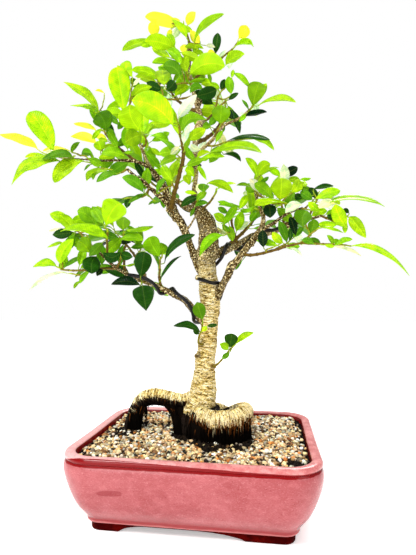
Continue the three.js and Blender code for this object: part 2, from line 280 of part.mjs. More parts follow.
      [-108.9, -9.1, 418.3, -115, -4, 421, -122.6, -3.5, 425.5, -130.8, -1.2, 425.7, 0.225, -0.281, 0.933, 7.3],
      [-93.1, -11.4, 403.9, -97.3, -14, 406.7, -105.9, -17.7, 408.9, -114.6, -17.1, 404.8, -0.159, 0.978, -0.133, 8.4],
      [-121.4, -13, 450.9, -120.7, -5, 454.2, -107.5, -3.2, 453.6, -94.4, -5, 451.5, 0.095, -0.388, 0.917, 13.9],
      [-85, -14, 397.2, -84.4, -17, 402.7, -83.9, -21.6, 415.3, -84.6, -22.5, 428.7, 0.951, 0.301, 0.069, 13.5],
      [-77.6, -16.7, 390.8, -84.8, -12.7, 388.8, -98, -10.9, 383.6, -111.4, -5.8, 377.2, 0.453, 0.42, -0.787, 14.1],
      [-115, -11, 437.4, -114, -7, 435.2, -109.1, -6.4, 427.4, -104.7, -3.2, 420, -0.837, -0.102, -0.538, 8.9],
      [-95.5, -13.3, 404.4, -104, -5.3, 401.6, -114.3, -1.2, 394.2, -124, -0.2, 384.9, 0.635, 0.46, -0.62, 10.6],
      [-115, -11, 437.4, -117.4, -17, 429.6, -121.6, -19.6, 422.7, -127, -20.3, 416.3, -0.634, -0.509, 0.582, 6.3],
      [-119.2, -8.7, 430.5, -125.6, -0.7, 440.6, -132.7, 0.2, 456, -140.4, 5, 470.7, 0.893, 0.195, 0.405, 11.2],
      [-91.4, -20, 397.9, -96.9, -20, 397, -108.3, -16.5, 396.6, -120.3, -15.8, 395, 0.145, 0.382, -0.913, 8.8],
      [-121.2, -10, 455.8, -113.3, -13, 448.5, -103, -17.2, 440.7, -96.3, -16.9, 433, -0.661, 0.08, -0.746, 7.5],
      [-105.5, -12, 404.9, -104.4, 0, 413.1, -93.5, -4.5, 418.1, -83.6, -4.6, 423.8, -0.484, -0.461, 0.744, 9.9],
      [-91.4, -20, 397.9, -94.3, -23, 403.3, -99.2, -25, 412.9, -106.7, -23, 423.6, 0.847, 0.118, 0.518, 8.9],
      [-118.5, -12, 445.8, -121.5, 0, 447.8, -114.3, 0.7, 437.2, -111.1, 4.9, 427, -0.871, -0.144, -0.469, 9.9],
      [-77.6, -16.7, 390.8, -77.3, -12.7, 389.3, -71.5, -12.1, 380.1, -67.6, -9.1, 370.4, -0.663, -0.593, -0.456, 9],
      [-104.5, -9.3, 413.9, -108.9, -15.3, 414, -116, -14.9, 416.6, -122.7, -12.8, 419.5, 0.327, -0.23, 0.916, 5.8],
      [-91.4, -20, 397.9, -88, -20, 398, -82.6, -19.6, 398.3, -77.5, -17.8, 399.1, 0.03, 0.349, -0.936, 4.4],
      [-120.5, -12, 408.1, -121, -8, 402.2, -118.3, -10, 393, -118.5, -8, 385.1, -0.932, -0.335, -0.138, 7.7],
    ],
  },
  left_under_shoot: {
    twigs: [
      [[-81.57, -27, 376.4, 1.37], [-85.58, -29, 372.5, 1.02], [-89.93, -30, 370.77, 0.8]],
    ],
    leaves: [
      [-86.6, -29.2, 372.1, -90.1, -36, 368.8, -100.8, -40.4, 366.7, -112.4, -40.4, 358.9, -0.432, 0.479, 0.764, 13.1],
    ],
  },
  centre_left_shoot: {
    twigs: [
      [[-69.6, -11, 407.07, 1.53], [-63.27, -14, 409.24, 1.29], [-62.91, -17, 415.23, 1.05], [-65.77, -18, 419.74, 0.93]],
    ],
    leaves: [
      [-65.1, -17.7, 418.6, -65.2, -26, 415.9, -69.3, -39.3, 408.3, -75.8, -50.5, 398.3, -0.348, -0.442, 0.827, 19.2],
      [-64.1, -17.4, 417.1, -65.6, -28, 419.1, -71.8, -43.9, 429, -66.5, -62.5, 435, -0.923, -0.139, -0.358, 28.7],
      [-65.1, -17.8, 418.7, -60.3, -12, 424.2, -50.8, -11.9, 430.3, -39.2, -8.1, 432.2, 0.112, -0.977, 0.179, 11.7],
      [-69.6, -11, 407.1, -69.2, -3, 416.6, -64.7, -2.6, 430.4, -59.3, 1.5, 443.4, 0.91, -0.304, -0.282, 11.2],
      [-64.8, -17.7, 418.2, -63.1, -23.7, 419.8, -63.8, -22.8, 434.5, -65.4, -18.5, 448.7, 0.96, 0.279, 0.027, 12.8],
      [-65.8, -18, 419.7, -56.9, -24, 416.8, -48.3, -22.1, 418.4, -40.5, -16.9, 418.5, 0.061, -0.359, 0.931, 9.5],
      [-69.6, -11, 407.1, -62.9, -17, 399, -53.2, -16.5, 388.5, -45.4, -12.4, 378.4, -0.529, -0.617, -0.583, 11.4],
      [-63.3, -14, 409.2, -56.3, -17, 403.1, -50.3, -19.4, 397.9, -44, -19.8, 392.7, -0.63, 0.106, -0.77, 6],
      [-65.8, -18, 419.7, -66.1, -14, 418.3, -64.1, -13.5, 411.4, -62.6, -11.1, 404.8, -0.944, -0.173, -0.283, 7],
      [-63.3, -14, 409.2, -59.8, -2, 416.9, -48.8, -1.1, 422, -39, 2.8, 428.2, 0.359, 0.423, -0.832, 9.3],
      [-69.6, -11, 407.1, -71.2, -7, 411.7, -69.9, -9, 422.2, -73.7, -7, 434.2, 0.961, 0.256, 0.106, 8.3],
    ],
  },
  front_shoot: {
    twigs: [
      [[-32.3, -17, 330.9, 2.97], [-26.83, -28, 343.08, 2.57], [-20.81, -38, 353.72, 2.3], [-15.18, -48, 364.89, 2.25], [-10.53, -56, 374.01, 2.1], [-8.91, -62, 382.52, 1.87], [-9.39, -70, 389.08, 1.43], [-9.81, -76, 397.13, 1.21], [-10.61, -81, 403.33, 1]],
      [[-10.61, -81, 403.33, 1], [-11.2, -83, 406.09, 0.89], [-11.6, -84, 409.23, 0.69]],
      [[-8.91, -62, 382.52, 0.83], [-6.85, -66, 384.15, 0.62]],
      [[-10.53, -56, 374.01, 1.26], [-12.9, -60, 375.36, 0.94], [-15.23, -62, 374.39, 0.73]],
      [[-12.9, -60, 375.36, 0.73], [-20.23, -56, 383.05, 0.74], [-25.05, -54, 387.65, 0.64]],
      [[-24.14, -33, 348.48, 1.44], [-25.28, -38, 352.79, 1.09], [-26.62, -40, 355.62, 0.87]],
      [[-25.28, -38, 352.79, 0.88], [-33.61, -36, 350.29, 0.88], [-40.89, -34, 346.6, 0.78]],
    ],
    leaves: [
      [-10.7, -81.4, 403.9, -9.2, -84, 407.3, -1.9, -89.4, 414.2, 9.8, -90.3, 426.3, -0.711, -0.406, 0.574, 10.3],
      [-10.3, -79.1, 401, -13.4, -90, 397.8, -29.8, -97.4, 413.5, -52.7, -99.8, 420.8, 0.535, -0.223, 0.815, 27],
      [-9.7, -74.3, 394.8, -4.1, -86, 392.4, 3, -90.6, 403.2, 20.2, -90.7, 401.2, -0.258, -0.944, 0.206, 14.2],
      [-11.8, -53.8, 371.5, -17.8, -59, 375.7, -23.1, -63.7, 388.3, -37.3, -63.9, 397.1, 0.271, 0.855, 0.442, 14.7],
      [-23.8, -54.5, 386.4, -27.2, -54, 389.5, -32.7, -58.1, 399.5, -46, -57.7, 401, 0.328, 0.601, 0.729, 11.2],
      [-9.4, -60.3, 380.1, -6.8, -66, 381.4, -4.6, -65.5, 389.5, -5, -63, 397.8, 0.956, 0.248, -0.156, 7.4],
      [-12.8, -59.8, 375.3, -15.2, -64, 373.9, -23, -67.9, 371.7, -33, -67.5, 366.3, -0.428, 0.322, 0.844, 10.5],
      [-39.8, -34.3, 347.2, -44.1, -34, 344.9, -39.9, -38.1, 354.4, -30.5, -37.8, 361.5, 0.619, -0.487, -0.616, 9.5],
      [-26.1, -39.3, 354.6, -25.8, -36, 361.6, -22.8, -35.4, 370.8, -18.7, -32.4, 379, 0.854, 0.317, -0.412, 8.5],
      [-20.9, -37.9, 353.6, -24.8, -42, 356.1, -31.1, -45.4, 363.3, -35.9, -46, 372.1, 0.819, 0.024, 0.574, 11.1],
      [-9.4, -70, 389.1, -12.7, -66, 396.4, -16.5, -65.5, 407.3, -21.9, -62.7, 417.4, 0.755, 0.613, 0.233, 8.3],
      [-9.1, -64.7, 384.7, -6.9, -70.7, 385.8, -4.3, -74.9, 394.3, -0.4, -74.8, 403.8, 0.92, 0.287, -0.266, 7.8],
      [-13.6, -50.7, 367.9, -6.9, -56.7, 367.7, 2.5, -56.4, 371.5, 11.8, -52.6, 375, 0.274, 0.344, -0.898, 8.1],
      [-8.2, -63.3, 383.1, -13.7, -51.3, 387, -26.2, -46.4, 387.1, -39.7, -44.5, 385.9, 0.134, 0.362, -0.922, 12.5],
      [-10.6, -81, 403.3, -13.1, -77, 407.5, -18.2, -80.1, 414.5, -23.3, -80.7, 422, 0.824, -0.063, 0.564, 8.9],
      [-9.2, -67.3, 386.9, -6, -55.3, 394.6, 3.2, -55, 401.2, 13, -51.1, 407.5, 0.453, 0.394, -0.8, 11.6],
      [-10.6, -81, 403.3, -16.1, -87, 401.1, -26.1, -83.9, 402.9, -36.8, -83.2, 403.7, -0.045, 0.385, -0.922, 9.1],
      [-9.2, -67.3, 386.9, -12.3, -67.3, 384.3, -15.8, -70.3, 379.7, -20.3, -71.8, 375.2, -0.59, -0.388, 0.708, 6.4],
    ],
  },
  centre_right_shoot: {
    twigs: [
      [[15.56, -8, 413.78, 1.51], [19.89, -10, 420.42, 1.27], [22.92, -12, 425.31, 1.03], [29.29, -11, 432.37, 0.92], [33.73, -9, 441.18, 0.69]],
    ],
    leaves: [
      [22.5, -11.7, 424.6, 24.8, -20, 425.4, 27.2, -33, 432.5, 29.4, -47.6, 434.4, -0.987, -0.144, 0.073, 21],
      [33.2, -9.3, 440, 35.3, 8, 453.9, 40.3, 8.8, 443.3, 45.1, 13.1, 426.4, -0.533, -0.777, -0.335, 14.1],
      [31, -10.2, 435.8, 38.9, -8, 434.7, 34.8, -7.6, 441, 35.3, -5.5, 448, 0.962, -0.037, 0.27, 5.8],
      [17.6, -9, 416.9, 11, -8, 428.8, 14.8, -8.4, 434.8, 19.3, -5.1, 440.7, 0.726, 0.348, -0.593, 8.4],
    ],
  },
  centre_low_shoot: {
    twigs: [
      [[-5.78, -10, 386.48, 1.5], [-3.17, -17, 385.27, 1.14], [-1.05, -24, 384.03, 0.9]],
    ],
    leaves: [
      [-1.4, -22.8, 384.3, -2, -24, 384.8, -9.7, -27.2, 390.3, -12, -27.8, 399.9, 0.837, -0.039, 0.545, 8.6],
      [-1.7, -22, 384.4, 3.1, -26, 395.2, -3, -33.5, 394.2, -4.8, -42.1, 395.5, -0.485, 0.226, -0.845, 8.1],
      [-1.4, -22.8, 384.3, 0.1, -32, 382.9, 7.1, -35.5, 388, 15.6, -34.8, 387.9, -0.269, -0.906, 0.328, 8.4],
      [-4.7, -12.8, 386, 0.6, -13, 389, 14.6, -12.3, 392.3, 28.4, -8.1, 392.1, 0.203, -0.757, -0.621, 14.8],
      [-3.2, -17, 385.3, -0.3, -5, 390.3, 5, -3.8, 392, 9.7, -1.3, 394, 0.204, 0.34, -0.918, 5.7],
    ],
  },
  leader_shoot: {
    twigs: [
      [[-4.76, -9, 373.83, 1.5], [-2.11, -15, 375.42, 1.14], [-0.74, -19, 375.98, 0.91]],
      [[-2.11, -15, 375.42, 0.91], [-3.66, -22, 368.1, 0.9], [-5.57, -24, 361.46, 0.79]],
    ],
    leaves: [
      [-4.8, -23.2, 364.1, -4.4, -24, 364.8, -8.4, -33.2, 369.7, -12.4, -37.1, 368.1, -0.563, 0.139, -0.814, 10.8],
      [-5.2, -23.6, 362.7, -12.3, -15, 358.9, -12.6, -21.4, 364.3, -15.6, -28.9, 365.5, -0.869, -0.029, -0.495, 10.1],
      [-1.2, -17.8, 375.8, 2.6, -28, 375.8, 5, -31.6, 369.1, 10.9, -30.8, 359.3, -0.608, -0.775, -0.173, 8.5],
      [-2.3, -16, 374.4, 0.6, -20, 376.1, 1.8, -23.4, 378, 2.9, -27.2, 378.7, -0.95, -0.226, 0.217, 4.5],
    ],
  },
  trunk_top_shoot: {
    twigs: [
      [[-5.12, -12, 338.08, 1.49], [-2.01, -18, 337.77, 1.24], [2.28, -26, 340.3, 1], [7.79, -34, 343.07, 0.87]],
    ],
    leaves: [
      [7.1, -33, 342.7, 10.7, -43, 342.5, 10.3, -49.3, 346.2, 12.3, -56.4, 347.7, -0.989, -0.137, -0.049, 12.2],
      [2.7, -26.5, 340.5, 0.6, -36, 335.1, 5.8, -38.4, 339.7, 12.3, -38.9, 343.2, 0.594, 0.28, -0.754, 7.8],
      [-0.7, -20.5, 338.6, -2.2, -30, 330.1, 4.2, -33.5, 333.2, 13.1, -32.8, 332.8, 0.084, -0.409, -0.909, 7.6],
      [7.1, -33, 342.7, 12.5, -36, 353.4, 25.8, -41.1, 351.9, 41.2, -41.6, 341.1, -0.406, -0.63, -0.662, 13.9],
      [6.45, -31.3, 342.45, -0.15, -19.3, 343.05, -11.25, -18.8, 339.95, -20.95, -14.8, 333.65, 0.445, 0.282, -0.85, 8.8],
      [1.25, -23.3, 339.85, 1.65, -26.3, 344.25, 1.25, -25.6, 351.15, 0.65, -23.1, 357.65, 0.987, 0.156, 0.031, 6.4],
      [-1.55, -18, 338.15, -4.75, -18, 331.45, -7.35, -17.6, 326.45, -10.05, -15.8, 321.85, -0.872, -0.247, 0.422, 4.3],
      [6.45, -31.3, 342.45, -1.75, -23.3, 345.85, -8.65, -23.1, 347.85, -15.55, -21.1, 349.25, 0.267, 0.3, 0.916, 5.5],
    ],
  },
  front_twig_shoot: {
    twigs: [
      [[1.62, -12, 328.62, 1.49], [7.99, -16, 333.32, 1.25], [14.82, -20, 339.03, 1.23], [20.18, -24, 346.34, 1]],
      [[20.18, -24, 346.34, 1], [20.53, -25, 348.32, 0.78]],
    ],
    leaves: [
      [18.1, -22.5, 343.5, 20.2, -26, 347.5, 30.6, -30.3, 353.2, 43.2, -30.1, 354.3, 0.019, -0.823, -0.568, 10.3],
    ],
  },
  right_high_shoot: {
    twigs: [
      [[8.1, -9, 406.14, 1.5], [14.61, -14, 402.83, 1.14], [21.39, -13, 404, 1.03], [27.87, -9, 408.16, 0.92]],
      [[27.87, -9, 408.16, 0.92], [43.35, 0, 413.51, 0.82], [55.91, 5, 416.14, 0.7]],
    ],
    leaves: [
      [30.2, -7.7, 409, 32, -4, 411.9, 55.6, -10.6, 414, 80.3, -12.4, 407.3, -0.193, -0.787, -0.586, 21.1],
      [54.4, 4.4, 415.8, 59.4, 6, 416.3, 75.2, 6.9, 412.7, 84.9, 11.3, 403.3, -0.242, -0.635, -0.733, 13.3],
      [14.6, -14, 402.8, 13.5, -24, 390.2, 43.9, -31.7, 396.5, 71.6, -34.3, 386.4, -0.17, -0.71, -0.684, 26.4],
      [21, -13.1, 403.9, 28.1, -14, 392.6, 39.7, -18.1, 390.1, 47.8, -17.8, 382.3, -0.447, -0.66, -0.604, 10.5],
      [25.7, -10.3, 406.8, 22.8, -2.3, 406.7, 15.8, 4.2, 399.6, 8.5, 7.6, 390.4, 0.799, 0.285, -0.53, 12.8],
      [16.9, -13.7, 403.2, 19.7, -19.7, 404.4, 23.4, -19.4, 412.3, 27.7, -17, 419.5, 0.859, -0.318, -0.4, 6.8],
      [47.5, 1.7, 414.4, 42.8, 5.7, 411.4, 36.9, 3.7, 406.7, 32.6, 5.7, 401.4, -0.67, -0.3, 0.679, 6.1],
      [23.6, -11.7, 405.4, 26.5, 0.3, 406.7, 32.3, -4, 401.2, 38.9, -6.4, 395.6, -0.575, 0.226, -0.787, 7.9],
    ],
  },
  right_inner_shoot: {
    twigs: [
      [[62.03, 8, 359.37, 1.41], [64.16, 8, 364.51, 1.17], [65.59, 8, 369.45, 0.94]],
      [[65.59, 8, 369.45, 0.82], [70.65, 14, 376.23, 0.83], [76.06, 17, 380.51, 0.71]],
    ],
    leaves: [
      [64.5, 8, 365.7, 64.7, 6, 370.6, 61.2, 1.6, 382.6, 51.8, 0.8, 392, 0.863, -0.117, 0.491, 9.3],
      [64.5, 8, 365.8, 66.7, 2, 370, 72, -5.2, 378.5, 80.5, -14.9, 379.4, -0.713, -0.211, 0.669, 13.3],
      [64.9, 8, 367.2, 68.3, 12, 371.7, 77.7, 12.4, 380.7, 90.9, 16.4, 384.3, 0.432, -0.74, -0.516, 11],
      [74.1, 15.9, 379, 77.7, 15, 381, 86, 15.6, 378.8, 91.8, 18.3, 373.2, -0.514, 0.248, -0.821, 7.8],
      [62.2, 8, 359.7, 68.2, -2, 361.6, 73.6, -3.8, 363.9, 78.4, -4, 367.6, 0.394, -0.425, -0.815, 6.1],
    ],
  },
  right_upper_shoot: {
    twigs: [
      [[94.63, 15, 311.32, 1.52], [95.3, 11, 322.36, 1.4], [93.87, 6, 331.93, 1.27], [93.39, 3, 338.27, 1.03], [99.32, 8, 347.4, 0.93], [105.17, 10, 353.56, 0.81]],
      [[99.32, 8, 347.4, 0.81], [96.25, 16, 358.98, 0.83], [94.88, 21, 371.21, 0.72]],
      [[99.32, 8, 347.4, 0.81], [109.99, 14, 355.58, 0.82], [114.72, 15, 361.59, 0.7]],
    ],
    leaves: [
      [95, 20.5, 370, 94.6, 22, 374.2, 104.3, 22.4, 380.4, 113.4, 26.4, 385.9, 0.475, 0.229, -0.85, 11.5],
      [93.4, 3, 338.3, 90.6, -12, 337.7, 92.1, -27.5, 348.9, 91.2, -45.7, 354, -0.998, 0.011, 0.06, 23.3],
      [98.4, 7.2, 346, 103.8, 6, 351, 111.7, 10.9, 359.6, 112.7, 18.4, 370.5, 0.891, 0.067, -0.449, 13.1],
      [111.7, 14.4, 357.8, 115.9, 16, 360.6, 120, 20.9, 364.8, 121.3, 27.2, 369.5, 0.789, 0.102, -0.606, 8.4],
      [113.9, 14.8, 360.6, 114.6, 12, 367.6, 121.1, 12.3, 367.7, 127.3, 14.1, 369.1, 0.188, -0.549, -0.814, 6.4],
      [94.9, 21, 371.2, 100.6, 33, 374.2, 108.7, 34.7, 374.1, 116.1, 38.4, 374.6, -0.071, 0.272, -0.96, 8.2],
      [97.3, 13.3, 355.1, 96.8, 10.3, 360.6, 97, 5.6, 372, 95.4, 5.3, 384.6, 0.997, -0.049, 0.051, 11.1],
    ],
  },
  right_middle_shoot: {
    twigs: [
      [[63.7, 5, 349.09, 1.4], [69.54, 1, 346.27, 1.15], [77.52, -4, 341.8, 0.91], [82.44, -6, 339.56, 0.79]],
      [[69.54, 1, 346.27, 1.04], [65.07, -2, 349.65, 0.92], [61.14, 0, 354.73, 0.81]],
      [[69.54, 1, 346.27, 1.04], [68.74, 8, 352.01, 0.94], [65.39, 12, 354.8, 0.83]],
    ],
    leaves: [
      [81.3, -5.5, 340.1, 84.6, -10, 339.2, 73.7, -14.9, 350.5, 62.6, -15.3, 357.1, 0.494, 0.45, 0.744, 15.8],
      [61.9, -0.4, 353.7, 60, 2, 356.9, 51.4, -1.8, 360.2, 41.5, -1.2, 360.1, -0.001, 0.699, 0.715, 8.1],
      [68.1, 8.7, 352.5, 64.2, 12, 355.6, 56.4, 17.4, 360.6, 53, 24.8, 368.6, 0.66, -0.168, 0.733, 11.3],
      [69.5, 1, 346.3, 66.6, 1, 351.1, 63.2, -5.1, 358.2, 57, -6.5, 364.8, -0.844, 0.111, -0.525, 9.9],
    ],
  },
  right_outer_shoot: {
    twigs: [
      [[123.39, 15, 320.48, 1.51], [126.81, 14, 329.1, 1.28], [130.57, 12, 337.22, 1.04], [133.46, 11, 342.27, 0.92], [130.39, 13, 351.05, 0.7]],
      [[130.57, 12, 337.22, 0.93], [138.62, 8, 334.92, 0.8]],
    ],
    leaves: [
      [130.8, 12.7, 349.8, 129.6, 14, 355.6, 142.7, 14.3, 358.9, 153.3, 18.2, 360, 0.249, -0.663, -0.706, 10.4],
      [131.4, 11.7, 338.7, 131.8, 6, 342.8, 144.2, 1.2, 347.5, 158.1, 1, 350.2, 0.168, -0.435, -0.885, 15.1],
      [137.2, 8.7, 335.3, 140.1, 2, 335.6, 171.7, -6.6, 340.7, 202.5, -10, 327.9, -0.223, -0.841, -0.493, 24],
      [132, 11.5, 339.8, 128.4, 10, 342.4, 121.4, 10.2, 347.8, 114.9, 12.7, 353.4, 0.585, -0.236, 0.776, 10.4],
      [133.5, 11, 342.3, 135.8, 18, 345.5, 130.4, 18.6, 352.6, 125.6, 21.4, 359.8, 0.765, -0.225, 0.603, 9.1],
      [131.1, 12.5, 349, 117.9, 20, 347.3, 112.6, 24.2, 350.1, 109.7, 29.9, 354.8, 0.488, -0.234, 0.841, 8.5],
      [137.5, 8.6, 335.2, 151.7, -1, 334.8, 142.1, -4.2, 335.2, 133.6, -4.8, 329.3, -0.25, -0.172, 0.953, 10.1],
      [124.5, 14.7, 323.4, 128.2, 22.7, 325.8, 137, 25.2, 331.1, 147.5, 30.9, 333.5, 0.307, 0.151, -0.94, 10.7],
    ],
  },
  right_pad_shoot: {
    twigs: [
      [[72.25, -9, 319.19, 1.46], [75.23, -12, 326.43, 1.23], [79.7, -14, 332.63, 1], [90.62, -17, 333.18, 0.88], [101.31, -20, 331.72, 0.76], [109.74, -22, 330.57, 0.65]],
    ],
    leaves: [
      [108.5, -21.7, 330.7, 113.6, -27, 328.9, 103.7, -30.3, 327.2, 95.9, -31, 319.7, -0.423, -0.163, 0.891, 10.3],
      [102.3, -20.2, 331.6, 97.5, -18, 333.4, 76.1, -23.4, 335.5, 62.9, -24.1, 330.9, -0.18, 0.765, 0.618, 18.4],
      [79.7, -14, 332.6, 77.3, -16, 334.1, 79.3, -26.5, 325.4, 79.6, -34.5, 314.6, -0.989, 0.029, -0.142, 14.6],
      [83.3, -15, 332.8, 87.5, -11, 329.9, 96.2, -12.7, 321.4, 105.1, -11, 313.4, -0.673, 0.166, -0.721, 11.9],
    ],
  },
  right_pad_front_shoot: {
    twigs: [
      [[113.94, -22, 326.49, 1.3], [115.96, -22, 317.7, 1.08], [118.13, -20, 308.19, 0.98], [121.99, -16, 300.44, 0.76]],
      [[113.94, -22, 326.49, 0.87], [122.93, -16, 325.29, 0.77]],
    ],
    leaves: [
      [121.9, -16.7, 325.4, 133.2, -10, 324.5, 127.3, -12.6, 329.3, 121.5, -13.2, 334.8, 0.68, -0.218, 0.7, 8.6],
      [120.4, -17.7, 303.7, 115.2, -20, 306.3, 114, -32, 315.5, 117.5, -46, 318.6, -0.968, 0.033, 0.25, 19.5],
      [121.5, -16.5, 301.5, 123.3, -14, 299.2, 125.9, -19, 307, 125.8, -26.2, 313.4, -0.974, 0.057, 0.221, 12.5],
      [118.1, -20, 308.2, 116.9, -8, 308.3, 110.5, -7.5, 302.8, 104.2, -4.6, 297.7, -0.653, -0.075, 0.753, 7.6],
    ],
  },
  right_low_shoot: {
    twigs: [
      [[50.56, -23, 276.8, 1.97], [60.03, -28, 275.59, 1.73], [69.78, -33, 276.42, 1.6], [85.21, -39, 279.54, 1.47], [98.77, -43, 283, 1.34], [109.87, -44, 285.16, 1.23], [124.31, -40, 284.89, 1.14], [141.57, -31, 285.42, 1.05], [156.2, -22, 285.45, 0.96]],
      [[85.21, -39, 279.54, 1.47], [90.74, -38, 283.14, 1.05], [96.62, -36, 286.24, 0.84], [101.7, -26, 291.98, 0.75]],
      [[75.1, -36, 277.08, 1.48], [75.55, -38, 279.6, 1.05], [81.39, -40, 281.8, 0.73], [88.64, -40, 284.82, 0.63]],
      [[109.87, -44, 285.16, 1.23], [115.11, -42, 289.26, 1.03], [122.63, -38, 296.57, 0.94], [130.23, -34, 302.29, 0.73]],
      [[156.2, -22, 285.45, 0.96], [160.64, -20, 285.2, 0.85], [164.08, -18, 284.96, 0.75]],
    ],
    leaves: [
      [101.2, -27, 291.4, 106.8, -22, 296.8, 104.6, -25.1, 306.8, 100.9, -25.5, 316.8, 0.832, 0.449, 0.325, 10.5],
      [96, -36.2, 285.9, 96.8, -38, 287.2, 93.7, -41.5, 298.7, 88.8, -42, 309.9, 0.778, 0.512, 0.363, 11.1],
      [96.9, -42.4, 282.5, 98.9, -42, 288.1, 100.4, -43.8, 294.4, 98.9, -44.2, 300.9, 0.817, -0.568, -0.098, 5.9],
      [75.3, -37, 278.4, 72.5, -42, 282.1, 72.1, -45, 290.7, 71.6, -45.6, 299.7, 0.999, 0.008, 0.051, 10.7],
      [95.5, -36.4, 285.6, 92.8, -40, 286.4, 86.8, -43.8, 290.8, 82.1, -45.4, 297.4, 0.738, -0.11, 0.666, 9.2],
      [141.2, -31.2, 285.4, 145.1, -31, 283.1, 154.5, -35, 288.5, 163.8, -34.7, 289.9, 0.104, -0.727, -0.679, 9.2],
      [148.3, -26.9, 285.4, 145.6, -24, 284.3, 144.2, -23.6, 291.4, 139.7, -21.4, 296.3, 0.866, -0.18, 0.467, 5.3],
      [138.6, -32.6, 285.3, 144.9, -36, 282.4, 157.9, -40.7, 279.6, 170.7, -41, 271.9, -0.321, -0.87, -0.375, 12.5],
      [163, -18.7, 285, 167.6, -10, 285.7, 201, -5.2, 280.5, 230.1, 2.4, 253.8, -0.133, -0.807, -0.575, 19.2],
      [126.9, -38.7, 285, 123.7, -44, 284, 117.6, -47.5, 287.4, 111.5, -46.7, 287.9, 0.331, -0.151, 0.932, 6.8],
      [119, -39.9, 293, 120.7, -36, 291.9, 126.3, -35.6, 288.9, 131.7, -33.5, 286.3, -0.474, 0.166, -0.864, 5.7],
      [95.8, -42.1, 282.2, 99.5, -50, 279.7, 105.2, -53.3, 277.7, 111, -52.5, 271.5, -0.465, -0.78, -0.419, 6.1],
      [129.3, -34.5, 301.6, 134.6, -32, 303.4, 145.5, -31.9, 301.7, 155.9, -28.2, 297.7, 0.018, -0.863, -0.504, 11.3],
      [90.7, -38, 283.1, 87, -38, 284.2, 76, -37.5, 288.3, 64.9, -34.2, 290.8, 0.325, 0.474, 0.818, 9.4],
      [130.1, -37, 285.1, 134.5, -43, 283.2, 139.6, -42.7, 282.2, 144.5, -41, 281.5, -0.202, 0.146, -0.968, 4.4],
      [53.7, -24.7, 276.4, 48.9, -16.7, 271.2, 44.4, -16.3, 266.2, 41, -14.5, 260.6, -0.578, 0.597, 0.556, 5.5],
      [88.9, -38.3, 281.9, 95.2, -26.3, 283.5, 103, -26.6, 284.8, 111.1, -23.1, 284.3, 0.023, 0.119, -0.993, 7.9],
      [160.6, -20, 285.2, 154.2, -20, 287.4, 150.1, -19.4, 289.9, 145.8, -15.2, 291.1, 0.314, -0.169, 0.934, 5.5],
    ],
  },
  right_tip_shoot: {
    twigs: [
      [[138.05, 14, 324.33, 1.5], [147.55, 10, 318.9, 1.26], [155.4, 4, 312.57, 1.01], [161.95, -2, 307.99, 0.89]],
      [[155.4, 4, 312.57, 0.9], [162.02, 4, 317.39, 0.79], [165.99, 4, 321.37, 0.67]],
    ],
    leaves: [
      [161.1, -1.2, 308.6, 163.2, -6, 306.8, 154.7, -10.8, 318, 150.5, -11.7, 332, 0.89, -0.22, 0.4, 15.8],
      [161.4, 4, 317, 153.6, 4, 320.7, 148.2, 6.4, 321.1, 144.1, 10.2, 323.9, 0.187, -0.209, 0.96, 6.2],
      [165.1, 4, 320.4, 169.4, 14, 326.7, 166.5, 16.7, 330.2, 164.5, 20.5, 333.3, 0.644, -0.257, 0.721, 5.7],
      [165.1, 4, 320.4, 167.6, 2, 319.8, 173, -3.6, 311.3, 183.5, -4.6, 294.9, -0.785, 0.247, -0.568, 13.4],
      [157.6, 2, 311, 153.7, -1, 310.7, 143.1, -0.3, 311.3, 133, 3.4, 312.4, 0.047, -0.175, 0.984, 8.8],
      [163.3, 4, 318.7, 163.9, 8, 316.5, 163.8, 8.4, 309.6, 163.9, 10.8, 303, -0.986, 0.162, 0.034, 6.1],
      [138.1, 14, 324.3, 144.5, 22, 327, 150.2, 21.8, 329.6, 157, 25.2, 330.1, 0.199, 0.162, -0.966, 6.5],
    ],
  },
  right_crotch_shoot: {
    twigs: [
      [[41.8, 7, 291.23, 1.99], [39.23, 3, 301.28, 1.63], [36.72, 0, 310.2, 1.5], [35.86, -3, 320.16, 1.38], [37.66, -5, 327.84, 1.15]],
      [[37.66, -5, 327.84, 1.15], [35.71, -9, 322.48, 0.91], [30.97, -12, 316.32, 0.79]],
      [[35.71, -9, 322.48, 0.91], [39.75, -8, 329.46, 0.8], [43.34, -4, 331.35, 0.69]],
      [[37.78, 1, 305.68, 1.04], [33.85, -14, 302.73, 0.9], [30.67, -27, 298.56, 0.66]],
    ],
    leaves: [
      [42.5, -4.9, 330.9, 44.5, 3, 332.8, 49.4, 3.2, 341.5, 53.9, 7.1, 349.9, 0.848, 0.166, -0.504, 9.1],
      [32.9, -17.8, 301.5, 28, -19, 310.6, 36.4, -23.6, 322.2, 43.7, -23.7, 331.9, 0.574, -0.601, -0.557, 14],
      [31.7, -11.5, 317.3, 28.6, -10, 315.3, 23.6, -14.3, 320.1, 16.7, -16.5, 323.8, 0.612, -0.08, 0.787, 10.2],
      [42.5, -4.9, 330.9, 39.1, -4, 333.1, 30.7, -7.9, 337.2, 20.2, -7.5, 340.1, 0.198, 0.557, 0.807, 7.8],
      [36.6, -3.8, 323.4, 31.6, -2, 327, 25.5, -1.6, 331, 19.7, 0.7, 334.9, 0.531, -0.12, 0.839, 6.9],
      [31.7, -11.5, 317.3, 26.9, -14, 314, 30, -16.2, 307.6, 36.6, -16.6, 304.3, -0.7, 0.054, -0.712, 6.1],
      [31, -25.8, 298.9, 29, -30, 297, 14.9, -35.4, 292.7, 3.6, -36.2, 274.5, -0.618, 0.573, 0.539, 15.5],
      [39.2, 3, 301.3, 40.2, 11, 307.8, 43.9, 9.3, 319.8, 47.3, 11, 331.9, 0.952, 0.118, -0.282, 11.7],
      [32.5, -11, 318.4, 34, -11, 311.3, 35.8, -11.3, 302.4, 37.4, -9.1, 293.7, -0.978, -0.056, -0.199, 9.1],
